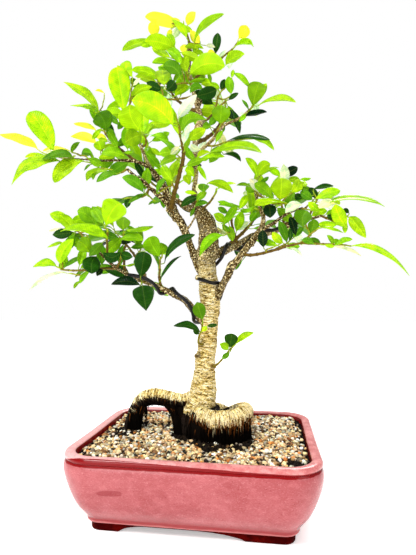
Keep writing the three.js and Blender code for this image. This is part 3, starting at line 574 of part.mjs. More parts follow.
      [39.2, 3, 301.3, 34.7, 11, 304.1, 25.4, 11.3, 309, 14.9, 15.1, 312.6, 0.376, -0.108, 0.92, 9.8],
      [31.7, -22.7, 300, 27.4, -25.7, 304.5, 24.5, -26.5, 308.8, 19.8, -23.5, 312.7, 0.73, -0.033, 0.682, 4.6],
    ],
  },
  right_bud_shoot: {
    twigs: [
      [[69.31, -4, 329.41, 1.48], [66.92, -8, 329.1, 1.02], [64.71, -9, 329.64, 0.79]],
    ],
    leaves: [
      [67.8, -6.5, 329.2, 65.2, -10, 326, 61.7, -14.4, 320.6, 57.6, -17, 314.7, -0.776, -0.148, 0.613, 8.8],
      [65.6, -8.6, 329.4, 61.8, -10, 332.9, 53.3, -10.6, 327.9, 46.6, -7.4, 330.8, -0.006, 0.628, 0.779, 7.7],
    ],
  },
  low_left_tip_shoot: {
    twigs: [
      [[-128.47, -24, 292.72, 1.38], [-134.33, -22, 298.94, 1.16], [-140.72, -19, 305.39, 1.05], [-148.9, -15, 310.96, 0.95], [-163.74, -8, 314.16, 0.84]],
      [[-140.72, -19, 305.39, 0.94], [-127.14, -22, 308.13, 0.93]],
    ],
    leaves: [
      [-153, -13.1, 311.8, -156.4, -10, 315.6, -170.4, -9.1, 326.4, -186.8, -4.2, 332.6, 0.5, 0.086, 0.861, 13.8],
      [-131.3, -21.1, 307.3, -133.8, -4, 316.1, -146.9, -2.4, 324.5, -163.1, 2.6, 321.6, 0.162, -0.108, 0.981, 12.6],
      [-128.4, -21.7, 307.9, -119.9, -24, 310.7, -123.9, -32.5, 322, -136, -37.3, 327.5, 0.655, 0.145, 0.742, 18.7],
      [-162.6, -8.5, 313.9, -178.1, 4, 315.8, -184.5, 3.3, 313.9, -193.9, 6.4, 313.5, -0.051, 0.482, 0.875, 4.8],
      [-145.8, -16.5, 308.8, -150.9, -16, 306.8, -162.2, -20.1, 304.8, -174.2, -20.9, 303.5, -0.095, -0.209, 0.973, 12.1],
      [-146.2, -16.3, 309.1, -146, -22.3, 303.5, -153.3, -18.6, 294.3, -159.9, -17.7, 283.7, 0.778, 0.444, -0.444, 11.6],
      [-163.7, -8, 314.2, -167.4, 4, 312.3, -156.3, -0.8, 301.6, -151.9, -1.1, 289.5, -0.815, -0.321, -0.482, 12],
      [-143.4, -17.7, 307.2, -146.8, -17.7, 310.1, -157.1, -19.6, 319.5, -168, -17.7, 328.5, 0.645, 0.176, 0.744, 14],
    ],
  },
  low_left_front_shoot: {
    twigs: [
      [[-101.74, -26, 270.22, 1.48], [-100.11, -36, 280.51, 1.34], [-96.13, -48, 291.13, 1.2], [-91.78, -58, 300.39, 1.06]],
      [[-91.78, -58, 300.39, 1.06], [-92.81, -58, 302.56, 0.96], [-94.34, -57, 304.48, 0.75]],
      [[-92.81, -58, 302.56, 0.75], [-98.03, -50, 305.75, 0.65]],
    ],
    leaves: [
      [-94.7, -55.1, 303.7, -93.2, -60, 305.4, -78.7, -78.5, 318.1, -61.8, -100.7, 320.3, -0.759, -0.395, 0.517, 25.5],
      [-95.5, -53.9, 304.2, -98.7, -50, 307.3, -107.4, -42.6, 313.5, -113.4, -33.1, 319.4, 0.741, 0.18, 0.647, 10.9],
      [-94.1, -52.6, 295.4, -91.9, -56, 292.3, -116, -62.9, 303.6, -142, -64.9, 300.9, -0.06, 0.845, 0.531, 26.7],
      [-94.7, -51.3, 294.2, -103.2, -43.3, 290.2, -112.3, -38.7, 283.9, -121.4, -36.9, 276, 0.651, 0.358, -0.67, 11],
      [-93.8, -57.3, 303.8, -98.4, -53.3, 309, -107.2, -49.8, 320.8, -116.2, -43, 331.4, 0.811, 0.226, 0.54, 12.6],
    ],
  },
  low_left_upper_shoot: {
    twigs: [
      [[-82.33, -25, 257.56, 1.7], [-87.13, -18, 269.58, 1.5], [-89.37, -12, 283, 1.28], [-88.46, -8, 296.44, 1.18]],
      [[-88.46, -8, 296.44, 1.18], [-90.05, -12, 301.81, 1.05], [-89.29, -15, 306.04, 0.81]],
    ],
    leaves: [
      [-89.8, -12.8, 303, -89.1, -16, 307.5, -85.3, -27.4, 315.4, -78.9, -40.5, 318.7, -0.934, -0.345, 0.095, 16.3],
      [-89.8, -12.9, 303.1, -89.4, -6, 310.1, -72.6, -11, 309.8, -54.4, -11.5, 312.1, -0.098, -0.829, -0.551, 15.1],
      [-90.1, -12, 301.8, -91.4, -22, 296.4, -74.9, -26.8, 298.4, -61.7, -27.1, 293.5, -0.183, -0.65, -0.737, 15.3],
      [-88.7, -9.3, 292.2, -95.6, -12, 294.4, -88.3, -11.8, 294.9, -81.3, -9.6, 294.7, 0.084, -0.39, -0.917, 6],
      [-90.1, -12, 301.8, -99.8, -4, 306.3, -89.6, -3.3, 307.8, -79.7, -0.6, 307.1, 0.146, -0.708, -0.691, 9.3],
      [-89.2, -11.3, 285.4, -78.9, -18, 287.3, -70.6, -20.3, 288.2, -62, -20.6, 288.2, -0.001, -0.366, -0.93, 7.8],
      [-90.1, -12, 301.8, -91.7, -15, 298.8, -98, -22.2, 289.6, -106.2, -26.2, 280.3, -0.637, -0.332, 0.696, 13.8],
      [-88.5, -8, 296.4, -96.4, -8, 299.1, -110.2, -7.2, 303.8, -123.6, -3, 308.5, 0.32, -0.025, 0.947, 11.1],
    ],
  },
  low_left_outer_shoot: {
    twigs: [
      [[-92.52, -26, 262.71, 1.59], [-107.15, -22, 263.15, 1.49], [-123.31, -18, 263.03, 1.39], [-139.82, -14, 261.83, 1.29], [-156.25, -11, 262.2, 1.19]],
      [[-156.25, -11, 262.2, 1.19], [-164.6, -12, 263.16, 1.07], [-169.7, -13, 265.77, 0.83]],
      [[-164.6, -12, 263.16, 0.83], [-166.17, -12, 279.43, 0.83], [-166.68, -10, 292.88, 0.72]],
      [[-131.52, -16, 262.55, 1.4], [-127.68, -22, 263.25, 1.04], [-120.63, -30, 265.55, 0.79]],
      [[-127.68, -22, 263.25, 1.04], [-137, -20, 256.04, 0.93], [-148.36, -22, 257.64, 0.81]],
    ],
    leaves: [
      [-166.6, -10.2, 291.6, -169.5, -4, 296.7, -178.8, -4.1, 295.4, -191.5, -0.5, 291.8, -0.09, 0.58, 0.81, 6.9],
      [-167.2, -12.5, 264.5, -164.9, -18, 268.9, -159.3, -24.1, 282.8, -145.2, -25.5, 297.5, -0.788, -0.442, 0.428, 14.8],
      [-121.5, -29, 265.3, -111.1, -40, 275.1, -110.3, -54.4, 267.3, -104.7, -66.6, 254.8, -0.885, -0.397, 0.242, 20],
      [-168.6, -12.8, 265.2, -167.9, -6, 265.6, -154.9, -5.2, 274.8, -141.9, -0.9, 279, 0.42, -0.733, -0.534, 14.1],
      [-167.2, -12.5, 264.5, -172.9, -12, 266.6, -184.3, -16.9, 271.3, -200.4, -17.3, 266.5, -0.147, 0.748, 0.647, 15.9],
      [-147.1, -21.8, 257.5, -156.5, -24, 258.8, -175.3, -30.4, 254, -196.7, -32, 238, -0.376, 0.834, 0.403, 16.1],
      [-105.6, -22.4, 263.1, -108.3, -28, 261.7, -110.7, -32.3, 258.8, -112.3, -35.3, 253.8, -0.687, -0.325, 0.65, 6.9],
      [-121.4, -18.5, 263, -126.2, -22, 260.7, -133.1, -24.8, 254.6, -137.3, -25.1, 246, -0.752, 0.463, 0.469, 9.4],
      [-137, -20, 256, -140.9, -14, 249.3, -147, -12.5, 246.3, -150.4, -12, 240.5, 0.465, 0.828, -0.312, 5],
      [-131.5, -16, 262.5, -136.3, -10, 264.7, -144.5, -8.2, 260.6, -151.6, -7.2, 254.5, 0.29, 0.94, -0.178, 7.7],
      [-112.5, -20.7, 263.1, -116, -12.7, 268.2, -115.9, -14.3, 280.6, -117, -12.7, 293, 0.927, 0.373, 0.04, 12.3],
      [-117.9, -19.3, 263.1, -114.4, -7.3, 262.2, -98.6, -9.3, 261.8, -85.6, -7.3, 256.2, -0.204, -0.01, -0.979, 15.3],
      [-145.3, -13, 262, -142.4, -16, 267.4, -139.7, -15.1, 278.7, -138.5, -11.5, 289.7, 0.873, 0.425, -0.238, 10.5],
      [-166.2, -12, 279.4, -172.5, -0, 275, -172.3, -0.8, 268.9, -173, 0, 262.8, -0.889, -0.457, 0.035, 6.8],
      [-131.5, -16, 262.5, -131.6, -4, 263.6, -117.3, -3.1, 264.1, -103.8, 1.7, 264.9, 0.029, 0.087, -0.996, 12.5],
      [-166.7, -10, 292.9, -172, 2, 286.3, -173.7, 7.3, 277.1, -174, 10.1, 266.7, 0.893, 0.442, 0.089, 10.9],
      [-145.3, -13, 262, -145.6, -5, 264.6, -140.7, -5.8, 268.1, -136.8, -2.7, 270.7, 0.494, 0.291, -0.819, 5.3],
    ],
  },
  low_left_inner_shoot: {
    twigs: [
      [[-119.48, -25, 286.65, 1.38], [-117.81, -30, 284.19, 1.14], [-121.52, -31.5, 288.18, 1.02], [-126.05, -28, 296.75, 0.92], [-132.49, -18, 302.3, 0.82], [-135.22, -13, 303.82, 0.83]],
    ],
    leaves: [
      [-118.6, -27.6, 285.4, -123.7, -30, 280.6, -125.6, -41.9, 288.8, -127, -55.2, 290.8, -0.659, -0.205, -0.723, 19.1],
      [-134.6, -14.1, 303.5, -137.3, -10, 304.8, -145.9, -9.7, 303.7, -154.1, -7.6, 306.5, 0.15, 0.408, 0.9, 7.3],
    ],
  },
  low_left_bud_shoot: {
    twigs: [
      [[-92.52, -26, 262.71, 1.59], [-88.09, -30, 269.69, 1.24], [-85.1, -34, 276.01, 1]],
    ],
    leaves: [
      [-85.6, -33.4, 275, -84, -38, 280.5, -92.3, -42.5, 273.5, -102.5, -42.6, 279.2, -0.038, -0.13, 0.991, 11.9],
      [-85.6, -33.4, 275, -85.4, -34, 278.9, -77.4, -41.7, 275.4, -67.5, -47.3, 273.5, -0.285, 0.006, -0.958, 10.4],
      [-89.6, -28.6, 267.2, -80.6, -30, 265.5, -74.6, -31.5, 265.9, -68.9, -31.8, 267.5, 0.05, -0.564, -0.824, 4.1],
    ],
  },
  low_left_hanging_shoot: {
    twigs: [
      [[-60.53, -23, 247.32, 2.03], [-62.11, -27, 246.72, 1.12], [-62.35, -30, 245.93, 0.89]],
    ],
    leaves: [
      [-62.3, -28.8, 246.2, -62.4, -34, 251.5, -56.8, -44.5, 267.1, -50.7, -58.7, 278, -0.944, -0.298, 0.139, 19.3],
      [-62.3, -28.8, 246.2, -56.6, -46, 242.5, -48.1, -68.5, 232, -40.1, -87.2, 216.8, -0.947, -0.281, -0.156, 23.2],
      [-62.3, -28.8, 246.2, -61.2, -40, 243, -75.3, -45.1, 248, -91.9, -45.6, 244.4, -0.104, 0.733, 0.673, 16.9],
    ],
  },
  low_left_upright_shoot: {
    twigs: [
      [[-42.8, -22, 241.63, 1.69], [-42.72, -27, 252.62, 1.45], [-41.4, -31, 263.47, 1.22], [-40.11, -34, 272.04, 0.99]],
      [[-40.11, -34, 272.04, 1.1], [-38.4, -35, 273.69, 0.99], [-37.7, -36, 275.56, 0.77]],
      [[-43.12, -24, 247.18, 0.9], [-40.37, -32, 247.93, 0.66]],
    ],
    leaves: [
      [-40.5, -33.1, 269.6, -40.7, -34, 274.5, -46.3, -42.5, 284.9, -47.8, -54, 293.4, -0.85, -0.17, -0.498, 19.1],
      [-43.1, -24, 247.2, -48.3, -10, 263.8, -54.9, -8.9, 282.3, -69.8, -4.3, 291.2, 0.275, 0.961, 0.017, 14.2],
      [-40.9, -32.2, 266.8, -32.8, -44, 267.3, -21.8, -50.4, 284.8, 1.7, -51.9, 295.4, 0.316, -0.738, -0.596, 17.8],
      [-40.8, -30.8, 247.8, -38.6, -38, 249, -28.8, -43.2, 264.3, -15, -43.8, 274.6, 0.32, -0.818, -0.479, 11.6],
      [-42.7, -25.3, 249, -44.4, -17.3, 252.4, -44.7, -18.2, 257.6, -43.5, -15.2, 262.8, 0.958, 0.255, -0.134, 5.2],
    ],
  },
  left_lower_shoot: {
    twigs: [
      [[-56.39, -24, 355.43, 1.59], [-58.38, -25, 347.19, 1.14], [-68.6, -26, 343.17, 0.91], [-81.92, -25, 343.41, 0.8]],
      [[-58.38, -25, 347.19, 0.91], [-51.33, -25, 340.53, 0.79]],
    ],
    leaves: [
      [-54, -25, 343.1, -58.9, -37, 346, -67.5, -42.3, 357, -81.7, -42.9, 362.1, 0.582, -0.037, 0.813, 12.2],
      [-56.9, -24.2, 353.5, -68.2, -6, 351.5, -88.4, -3.7, 347.5, -119.8, 1.9, 344.2, 0.041, 0.814, 0.58, 19.6],
      [-80.6, -25.1, 343.4, -88.9, -22, 343.7, -100.7, -20, 342.6, -112, -18.4, 338.4, 0.178, 0.977, -0.116, 9],
      [-77.7, -25.3, 343.3, -78.6, -25, 342.1, -79.9, -28.9, 337, -79.9, -31.4, 330.4, -0.881, -0.369, 0.296, 7.5],
      [-56, -25, 345, -57.7, -30, 346.4, -67.9, -33.2, 341.8, -77.4, -33.8, 335.3, -0.478, 0.598, 0.644, 9.5],
      [-52.3, -25, 341.4, -45.1, -24, 338.2, -51, -25.8, 337.9, -56.4, -26, 334.6, -0.334, 0.37, 0.867, 4.5],
      [-61.8, -25.3, 345.9, -63.4, -17.3, 353.6, -60.3, -21.6, 365.4, -58.2, -22.6, 378, 0.939, 0.316, -0.133, 11.6],
    ],
  },
  trunk_left_sprout: {
    twigs: [
      [[6.6, -14, 176.79, 1.79], [0.01, -18, 179.31, 1.11], [1.33, -22, 187.39, 1.1], [5.09, -26, 195.05, 0.98], [6.37, -30, 202.56, 0.87]],
    ],
    leaves: [
      [6.2, -29.4, 201.4, 6.8, -34, 205.6, 4.6, -42.1, 216.8, 3.8, -52.9, 225.3, -0.94, -0.162, -0.299, 14],
      [3, -23.8, 190.8, 2.7, -26, 192, -8.3, -31, 199.7, -25.8, -31.4, 199.1, -0.026, 0.844, 0.536, 13.5],
      [0.9, -20.6, 184.6, 0.9, -20, 189.4, -1.5, -23.6, 191.6, -4.7, -26.1, 194.2, 0.541, 0.155, 0.827, 5.5],
      [5.2, -26.2, 195.5, 10.5, -24, 198.6, 16.4, -26, 199.4, 22.5, -26.3, 200.2, 0.128, -0.041, -0.991, 4.4],
      [3.8, -24.7, 192.5, 6.6, -34, 193.2, 9.9, -37.4, 196.7, 12.5, -41.9, 199.2, -0.753, -0.07, 0.654, 5.4],
    ],
  },
  trunk_right_sprout: {
    twigs: [
      [[14.49, -14, 152.6, 1.78], [21.25, -18, 156.63, 1.21], [26.69, -22, 162.41, 1.09], [33.75, -28, 171.15, 0.97], [39.68, -29, 177.75, 0.86]],
    ],
    leaves: [
      [34.7, -28.2, 172.2, 36.2, -33, 176, 38.4, -42.4, 186.4, 40.4, -54.2, 193.5, -0.986, -0.075, 0.148, 14.6],
      [37.3, -28.6, 175.2, 41.8, -26, 179.4, 49, -30.2, 187.8, 61.4, -29.9, 192.5, 0.271, -0.732, -0.626, 9.9],
      [35.3, -28.3, 172.8, 34.9, -34, 174.1, 31.7, -38.7, 178.3, 26.4, -41.9, 181.1, 0.544, 0.147, 0.826, 8.3],
      [38.7, -28.8, 176.6, 36.3, -36, 171.6, 32.7, -39.1, 168.7, 28.7, -40.8, 165.4, -0.642, 0.033, 0.766, 5.8],
    ],
  },
  back_right_shoot: {
    twigs: [
      [[6, 2, 276, 3.6], [18, 20, 286, 3], [34, 38, 300, 2.5], [50, 54, 318, 2], [62, 66, 336, 1.6], [70, 76, 352, 1.2]],
      [[46, 50, 313.5, 1.7], [50.08, 51.63, 318.29, 1.32], [53.81, 53.12, 323.4, 0.94], [57.21, 54.49, 328.77, 0.75], [60.3, 55.72, 334.35, 0.75]],
      [[60.8, 64.8, 334.2, 1.31], [57.52, 68.73, 338.21, 1.02], [54.48, 72.38, 342.65, 0.75], [51.68, 75.74, 347.45, 0.75], [49.12, 78.82, 352.57, 0.75]],
      [[70, 76, 352, 0.96], [71.61, 80.28, 355.88, 0.75], [73.09, 84.24, 360.14, 0.75], [74.46, 87.88, 364.71, 0.75], [75.7, 91.21, 369.55, 0.75]],
    ],
    leaves: [
      [52.3, 52.5, 321.3, 58.7, 56.7, 322.8, 73.6, 66.5, 325.8, 88.2, 76.2, 321.1, 0.549, -0.835, -0.014, 17.7],
      [53.6, 53.1, 323.2, 57, 50.1, 326.4, 71.5, 38.6, 339.9, 87.7, 23.2, 345.2, -0.709, -0.681, 0.183, 22.8],
      [56.2, 54.1, 327.2, 55.8, 53.8, 335.7, 57.6, 50.4, 356.3, 53.2, 51.5, 376.8, 0.586, 0.806, 0.082, 19.8],
      [57.4, 54.6, 329.2, 57.5, 59.5, 336.5, 57.6, 68.4, 351.6, 57.7, 83.1, 361.1, 1, 0.003, -0.011, 16.4],
      [58.6, 55, 331.2, 63.4, 54.6, 334.2, 79, 53.6, 344.1, 96.8, 51.3, 348.7, -0.17, -0.97, 0.177, 18.4],
      [59.7, 55.5, 333.3, 64, 56.4, 338.9, 78.4, 59.4, 352.6, 96.2, 63.3, 361.1, 0.236, -0.971, -0.04, 19.5],
      [55.7, 70.9, 340.8, 47.4, 73.3, 339.8, 28.7, 78.3, 337.8, 12.2, 83.8, 328.9, 0.236, 0.959, 0.157, 16.7],
      [54.6, 72.2, 342.5, 49.9, 75, 344.1, 29, 86.3, 344.7, 10.4, 98.5, 336.3, 0.471, 0.859, 0.202, 21.9],
      [53.6, 73.5, 344.2, 56.6, 77.9, 347.2, 64.7, 91.2, 349.3, 74.1, 103.5, 347.1, 0.767, -0.523, 0.372, 15.3],
      [52.5, 74.7, 346, 44.5, 76.3, 349.3, 28.2, 80, 354.8, 10.9, 83.2, 356.3, 0.161, 0.972, -0.169, 17],
      [72.5, 82.6, 358.4, 78.1, 85, 363.5, 92.9, 90.7, 373.4, 109.7, 98.4, 377.3, 0.436, -0.89, -0.135, 15.8],
      [73, 84.1, 360, 76.8, 81.6, 367, 85.3, 75.3, 381.1, 96.8, 68.7, 392.8, -0.297, -0.926, -0.233, 18.2],
      [73.5, 85.4, 361.6, 72.1, 85.3, 367, 67.5, 88.8, 383.3, 61.3, 84.6, 398.8, -0.923, 0.231, -0.308, 16.1],
      [39.3, 43.3, 306, 38.8, 51.3, 302.4, 39, 52, 291.9, 38.9, 55.5, 282, -0.997, -0.071, -0.019, 10.3],
      [58.2, 54.9, 330.6, 52.4, 66.9, 329.1, 44.4, 63.4, 323.7, 36.9, 64.2, 317.7, -0.564, -0.174, 0.807, 9.7],
      [50.1, 51.6, 318.3, 59.1, 45.6, 316.6, 70.5, 46.2, 317, 81.5, 49.4, 315.6, 0.055, -0.563, -0.825, 9.3],
      [74.5, 87.9, 364.7, 65.3, 91.9, 368.1, 53.2, 95.9, 372.3, 42.5, 103, 376.8, 0.251, -0.222, 0.942, 12.6],
    ],
  },
  back_left_shoot: {
    twigs: [
      [[2, -2, 322, 3.4], [-12, 18, 334, 2.9], [-32, 36, 348, 2.4], [-54, 50, 364, 1.9], [-72, 62, 380, 1.5], [-86, 72, 392, 1.2]],
      [[-48.5, 46.5, 360, 1.62], [-49.82, 52.45, 363.44, 1.26], [-51.06, 58.04, 367.47, 0.9], [-52.22, 63.25, 372, 0.75], [-53.29, 68.07, 376.96, 0.75]],
      [[-72, 62, 380, 1.2], [-76.19, 61.4, 384.26, 0.93], [-80.04, 60.85, 388.83, 0.75], [-83.55, 60.35, 393.66, 0.75], [-86.75, 59.89, 398.72, 0.75]],
      [[-86, 72, 392, 0.96], [-89.43, 75.43, 395.53, 0.75], [-92.62, 78.62, 399.49, 0.75], [-95.56, 81.56, 403.81, 0.75], [-98.27, 84.27, 408.43, 0.75]],
    ],
    leaves: [
      [-50.6, 55.7, 365.8, -51.9, 55, 373.6, -52.7, 50.4, 393.6, -62.3, 49.3, 411.7, 0.322, 0.92, 0.223, 19.4],
      [-51, 57.8, 367.3, -48.4, 59.8, 371.1, -40.2, 65.9, 385.1, -27.9, 75.3, 393.1, 0.608, -0.794, -0.009, 16.6],
      [-51.4, 59.8, 369, -57.2, 65.6, 369.8, -69.9, 78.4, 368.5, -81.7, 90.5, 362.5, 0.707, 0.706, 0.04, 17.1],
      [-51.9, 61.7, 370.6, -54.9, 62.3, 376, -71.4, 64.1, 391.8, -90.7, 69.6, 403, 0.455, 0.802, 0.387, 22.6],
      [-52.3, 63.6, 372.4, -52.3, 69.5, 372.6, -52.4, 86.5, 373, -52.6, 102.6, 367.6, 1, 0.006, -0.01, 14.2],
      [-52.7, 65.4, 374.2, -51.9, 66.6, 381.4, -50.1, 70.2, 403.8, -43.6, 79.6, 423.4, 0.785, -0.618, 0.036, 22.8],
      [-53.1, 67.2, 376, -52.9, 71.6, 381.8, -52.9, 83.6, 397.7, -51.9, 99.8, 409.4, 0.986, -0.135, 0.101, 18.1],
      [-78.4, 61.1, 386.9, -77.4, 57.3, 392.8, -75.6, 48.1, 405.3, -71.5, 36.9, 415.5, -0.78, -0.551, -0.295, 15.3],
      [-79.9, 60.9, 388.6, -83.4, 66.1, 393.7, -93.7, 80.8, 400.2, -104.3, 96.5, 401.8, 0.828, 0.56, 0.034, 17.2],
      [-82.5, 60.5, 392.2, -81.6, 59.4, 399.1, -79.5, 58.5, 415.1, -74.8, 51, 428.6, -0.915, -0.39, 0.099, 14.2],
      [-85, 60.1, 395.9, -86.2, 55.8, 399, -91.9, 38.9, 408.5, -96.4, 19.4, 411.3, -0.952, 0.186, -0.241, 16.9],
      [-86.2, 60, 397.8, -90.3, 61.2, 405.1, -104.5, 66.5, 421.5, -123.6, 70.9, 431.9, 0.099, 0.968, -0.228, 18.9],
      [-91.3, 77.3, 397.9, -91.2, 80.1, 406, -88.4, 86.4, 427.9, -90.9, 97.3, 448, 0.688, 0.669, -0.281, 21.2],
      [-93.6, 79.6, 400.9, -97.4, 78.2, 404.6, -114.2, 72.8, 419, -133.4, 64.7, 428.4, -0.477, 0.845, -0.243, 22.4],
      [-95.8, 81.8, 404.1, -97.3, 80.1, 409.9, -103.1, 74.3, 431.5, -113.5, 62.3, 448.4, -0.788, 0.613, -0.049, 20.1],
      [-97.8, 83.8, 407.6, -102.3, 86.5, 411.9, -114.1, 93.2, 419.8, -127.4, 101.4, 422, 0.538, 0.838, 0.094, 13.3],
      [-66, 58, 374.7, -64.7, 62, 366.5, -61.7, 61.9, 358, -61.2, 65.5, 350.1, -0.952, -0.185, -0.244, 7.7],
      [-54, 50, 364, -51.9, 47, 357.2, -49.5, 47.8, 345.6, -47.9, 51.7, 334.6, -0.96, -0.182, -0.212, 8.8],
      [-95.6, 81.6, 403.8, -88.8, 85.6, 405.4, -75.4, 81.4, 404.7, -61.6, 80.5, 405, 0.044, 0.306, -0.951, 10.3],
      [-39.3, 40.7, 353.3, -39.1, 52.7, 354.2, -28.1, 48.1, 346.8, -18.7, 48.1, 339.7, -0.567, 0.069, -0.821, 9.1],
    ],
  },
  back_upper_shoot: {
    twigs: [
      [[-4, -4, 412, 2.8], [4, 16, 424, 2.4], [14, 34, 442, 2], [20, 50, 462, 1.6], [24, 64, 480, 1.2]],
      [[16.4, 40.4, 450, 1.47], [20.89, 42.97, 453.94, 1.14], [25.06, 45.35, 458.32, 0.82], [28.9, 47.55, 463.08, 0.75], [32.43, 49.56, 468.15, 0.75]],
      [[24, 64, 480, 0.96], [22.97, 68.1, 484.26, 0.75], [22.03, 71.87, 488.83, 0.75], [21.17, 75.32, 493.66, 0.75], [20.39, 78.45, 498.72, 0.75]],
    ],
    leaves: [
      [23.3, 44.4, 456.5, 24.8, 48.7, 459.1, 31.3, 68.1, 465.1, 37.8, 88.4, 464.5, 0.951, -0.306, -0.045, 20.6],
      [24.9, 45.2, 458.1, 22.4, 46.1, 466.7, 15.4, 51.1, 488.8, -0.7, 53.5, 506, -0.134, 0.956, -0.261, 20.2],
      [27.8, 46.9, 461.6, 27.9, 53.3, 467.6, 28.3, 68.6, 475.4, 28.8, 85.7, 477.4, 1, -0.028, 0.004, 16.3],
      [29.2, 47.7, 463.4, 35.3, 50.8, 466.1, 49.9, 56.9, 470.2, 63.8, 65.3, 468.6, 0.447, -0.821, -0.356, 14.7],
      [22.4, 70.3, 486.9, 18, 70.2, 493.6, 6.3, 70.9, 514.1, -12.5, 69.1, 528.2, -0.208, 0.966, -0.155, 20.7],
      [22.1, 71.7, 488.6, 15.5, 75.3, 492.3, 2.3, 83.3, 496.8, -12.2, 90.5, 496.4, 0.435, 0.864, -0.253, 14.7],
      [21.7, 73, 490.4, 20.3, 77.9, 490.3, 16.8, 92.3, 485.7, 12.6, 104.4, 477.1, 0.958, 0.16, -0.239, 14.3],
      [21.4, 74.3, 492.2, 16.9, 77.7, 496.4, 3.9, 87, 505.1, -9.9, 97.7, 509.8, 0.639, 0.756, 0.143, 16.1],
      [14, 34, 442, 14.1, 46, 443.6, 19.4, 44.3, 432.2, 24.9, 46, 421, -0.901, 0.064, -0.429, 10.6],
      [14, 34, 442, 7, 38, 446.1, -5.7, 39.2, 451.2, -17.5, 43.6, 457.2, 0.329, -0.322, 0.888, 12.4],
      [7.3, 22, 430, 2.6, 26, 425.4, -3, 26, 418.4, -8.1, 29.6, 411.9, 0.783, 0.319, -0.533, 7.7],
      [20, 50, 462, 20.4, 50, 456.4, 21, 48, 450, 21.5, 47.6, 443.3, -0.994, -0.077, -0.072, 5],
    ],
  },
  back_crown_shoot: {
    twigs: [
      [[-6, 1, 452, 2.2], [-20, 18, 464, 1.9], [-36, 34, 482, 1.6], [-48, 46, 500, 1.2]],
      [[-33.76, 31.76, 479.48, 1.31], [-35.42, 36.74, 482.38, 1.02], [-36.98, 41.43, 485.78, 0.75], [-38.44, 45.8, 489.63, 0.75], [-39.79, 49.84, 493.85, 0.75]],
      [[-48, 46, 500, 0.96], [-50.53, 47.52, 504.64, 0.75], [-52.82, 48.89, 509.45, 0.75], [-54.89, 50.13, 514.39, 0.75], [-56.75, 51.25, 519.44, 0.75]],
    ],
    leaves: [
      [-36.3, 39.5, 484.4, -33.1, 45.1, 483.9, -23.8, 58.6, 478.2, -17.9, 71.2, 467.9, 0.685, -0.627, -0.371, 17.1],
      [-36.9, 41.2, 485.6, -44.9, 43.2, 487.9, -66.9, 47.6, 493.2, -89, 54, 490.4, 0.245, 0.943, 0.226, 21.6],
      [-37.5, 42.9, 487, -35, 45.4, 493.4, -25.2, 53.2, 508.6, -13.9, 66.5, 517.7, 0.818, -0.511, -0.264, 16.6],
      [-38, 44.5, 488.5, -41, 44.6, 494.6, -50.3, 46.8, 516.6, -65.3, 45.9, 535.2, -0.346, 0.908, -0.235, 22.6],
      [-38.5, 46.1, 489.9, -45.7, 46.2, 493.5, -62.8, 47.5, 502.4, -82.1, 46.9, 502.9, -0.036, 0.977, -0.209, 18.3],
      [-39.5, 49.1, 493.1, -42.2, 54.6, 498.5, -49.7, 71.5, 514.3, -60.2, 92.1, 522.2, 0.87, 0.482, -0.102, 21.3],
      [-51.9, 48.3, 507.5, -46.8, 49.9, 514.6, -36.6, 54.6, 529.3, -21.2, 58, 539.1, 0.043, -0.961, 0.272, 15.7],
      [-52.7, 48.8, 509.2, -58.7, 52.7, 511.1, -76.7, 64.1, 510.1, -93.3, 74.8, 502, 0.534, 0.845, 0.03, 20.7],
      [-53.5, 49.3, 511.1, -58.2, 46, 514.5, -73.7, 35.8, 523.3, -90.1, 23.5, 523.9, -0.597, 0.792, -0.129, 17.8],
      [-54.3, 49.8, 512.9, -53.9, 54.6, 519.3, -55.1, 67, 538.1, -51.3, 85.6, 550.3, 0.872, -0.381, 0.308, 21.9],
      [-55, 50.2, 514.8, -60.4, 53.4, 516.8, -74.7, 61, 518.5, -87.9, 69.4, 513.9, 0.479, 0.856, 0.195, 14],
      [-55.7, 50.6, 516.6, -63.4, 51.6, 520.5, -79.2, 53.9, 526, -96, 55.7, 526.6, 0.098, 0.986, -0.137, 15.5],
      [-56.4, 51, 518.5, -57.4, 53.7, 526.2, -61.4, 60.4, 542.3, -64.5, 72.9, 554.8, 0.97, -0.008, 0.245, 16],
      [-10.7, 6.7, 456, -5.2, 6.7, 454.3, 8.4, 7.7, 451.7, 21.1, 12.2, 448.6, 0.27, -0.361, 0.893, 13.2],
      [-25.3, 23.3, 470, -25, 17.3, 459.9, -26.7, 18.2, 447.8, -29.1, 22.4, 436.5, -0.962, -0.248, 0.116, 10.4],
    ],
  },
  back_right_low_shoot: {
    twigs: [
      [[52, 13, 294, 2.8], [70, 28, 304, 2.4], [94, 44, 318, 2], [114, 56, 334, 1.6], [128, 66, 348, 1.2]],
      [[98, 46.4, 321.2, 1.54], [97.38, 52.01, 324.43, 1.19], [96.79, 57.27, 328.2, 0.85], [96.25, 62.17, 332.43, 0.75], [95.74, 66.7, 337.07, 0.75]],
      [[128, 66, 348, 0.96], [132.14, 68.76, 352.18, 0.75], [135.97, 71.32, 356.77, 0.75], [139.5, 73.66, 361.7, 0.75], [142.72, 75.81, 366.92, 0.75]],
    ],
    leaves: [
      [97, 55.1, 326.6, 102, 59.6, 327.4, 119.6, 74.1, 323.7, 133.1, 88.1, 311.3, 0.59, -0.774, -0.229, 22.9],
      [96.8, 57, 328, 93.6, 61.1, 329.1, 83.9, 73.2, 330.9, 74.3, 85.2, 328.3, 0.781, 0.624, 0.015, 13.6],
      [96.6, 58.9, 329.6, 97.1, 67.5, 328.2, 98.1, 86.5, 325, 99.4, 103.2, 315.3, 0.997, -0.037, 0.069, 17],
      [96.4, 60.7, 331.2, 101.7, 61.6, 338.2, 116.3, 65.9, 353.8, 136.4, 67.3, 362.5, -0.079, -0.939, 0.335, 18.7],
      [95.8, 65.9, 336.2, 95.6, 71.7, 340.9, 95.4, 87, 347, 94.4, 103.4, 347.6, 0.991, 0.064, -0.119, 14],
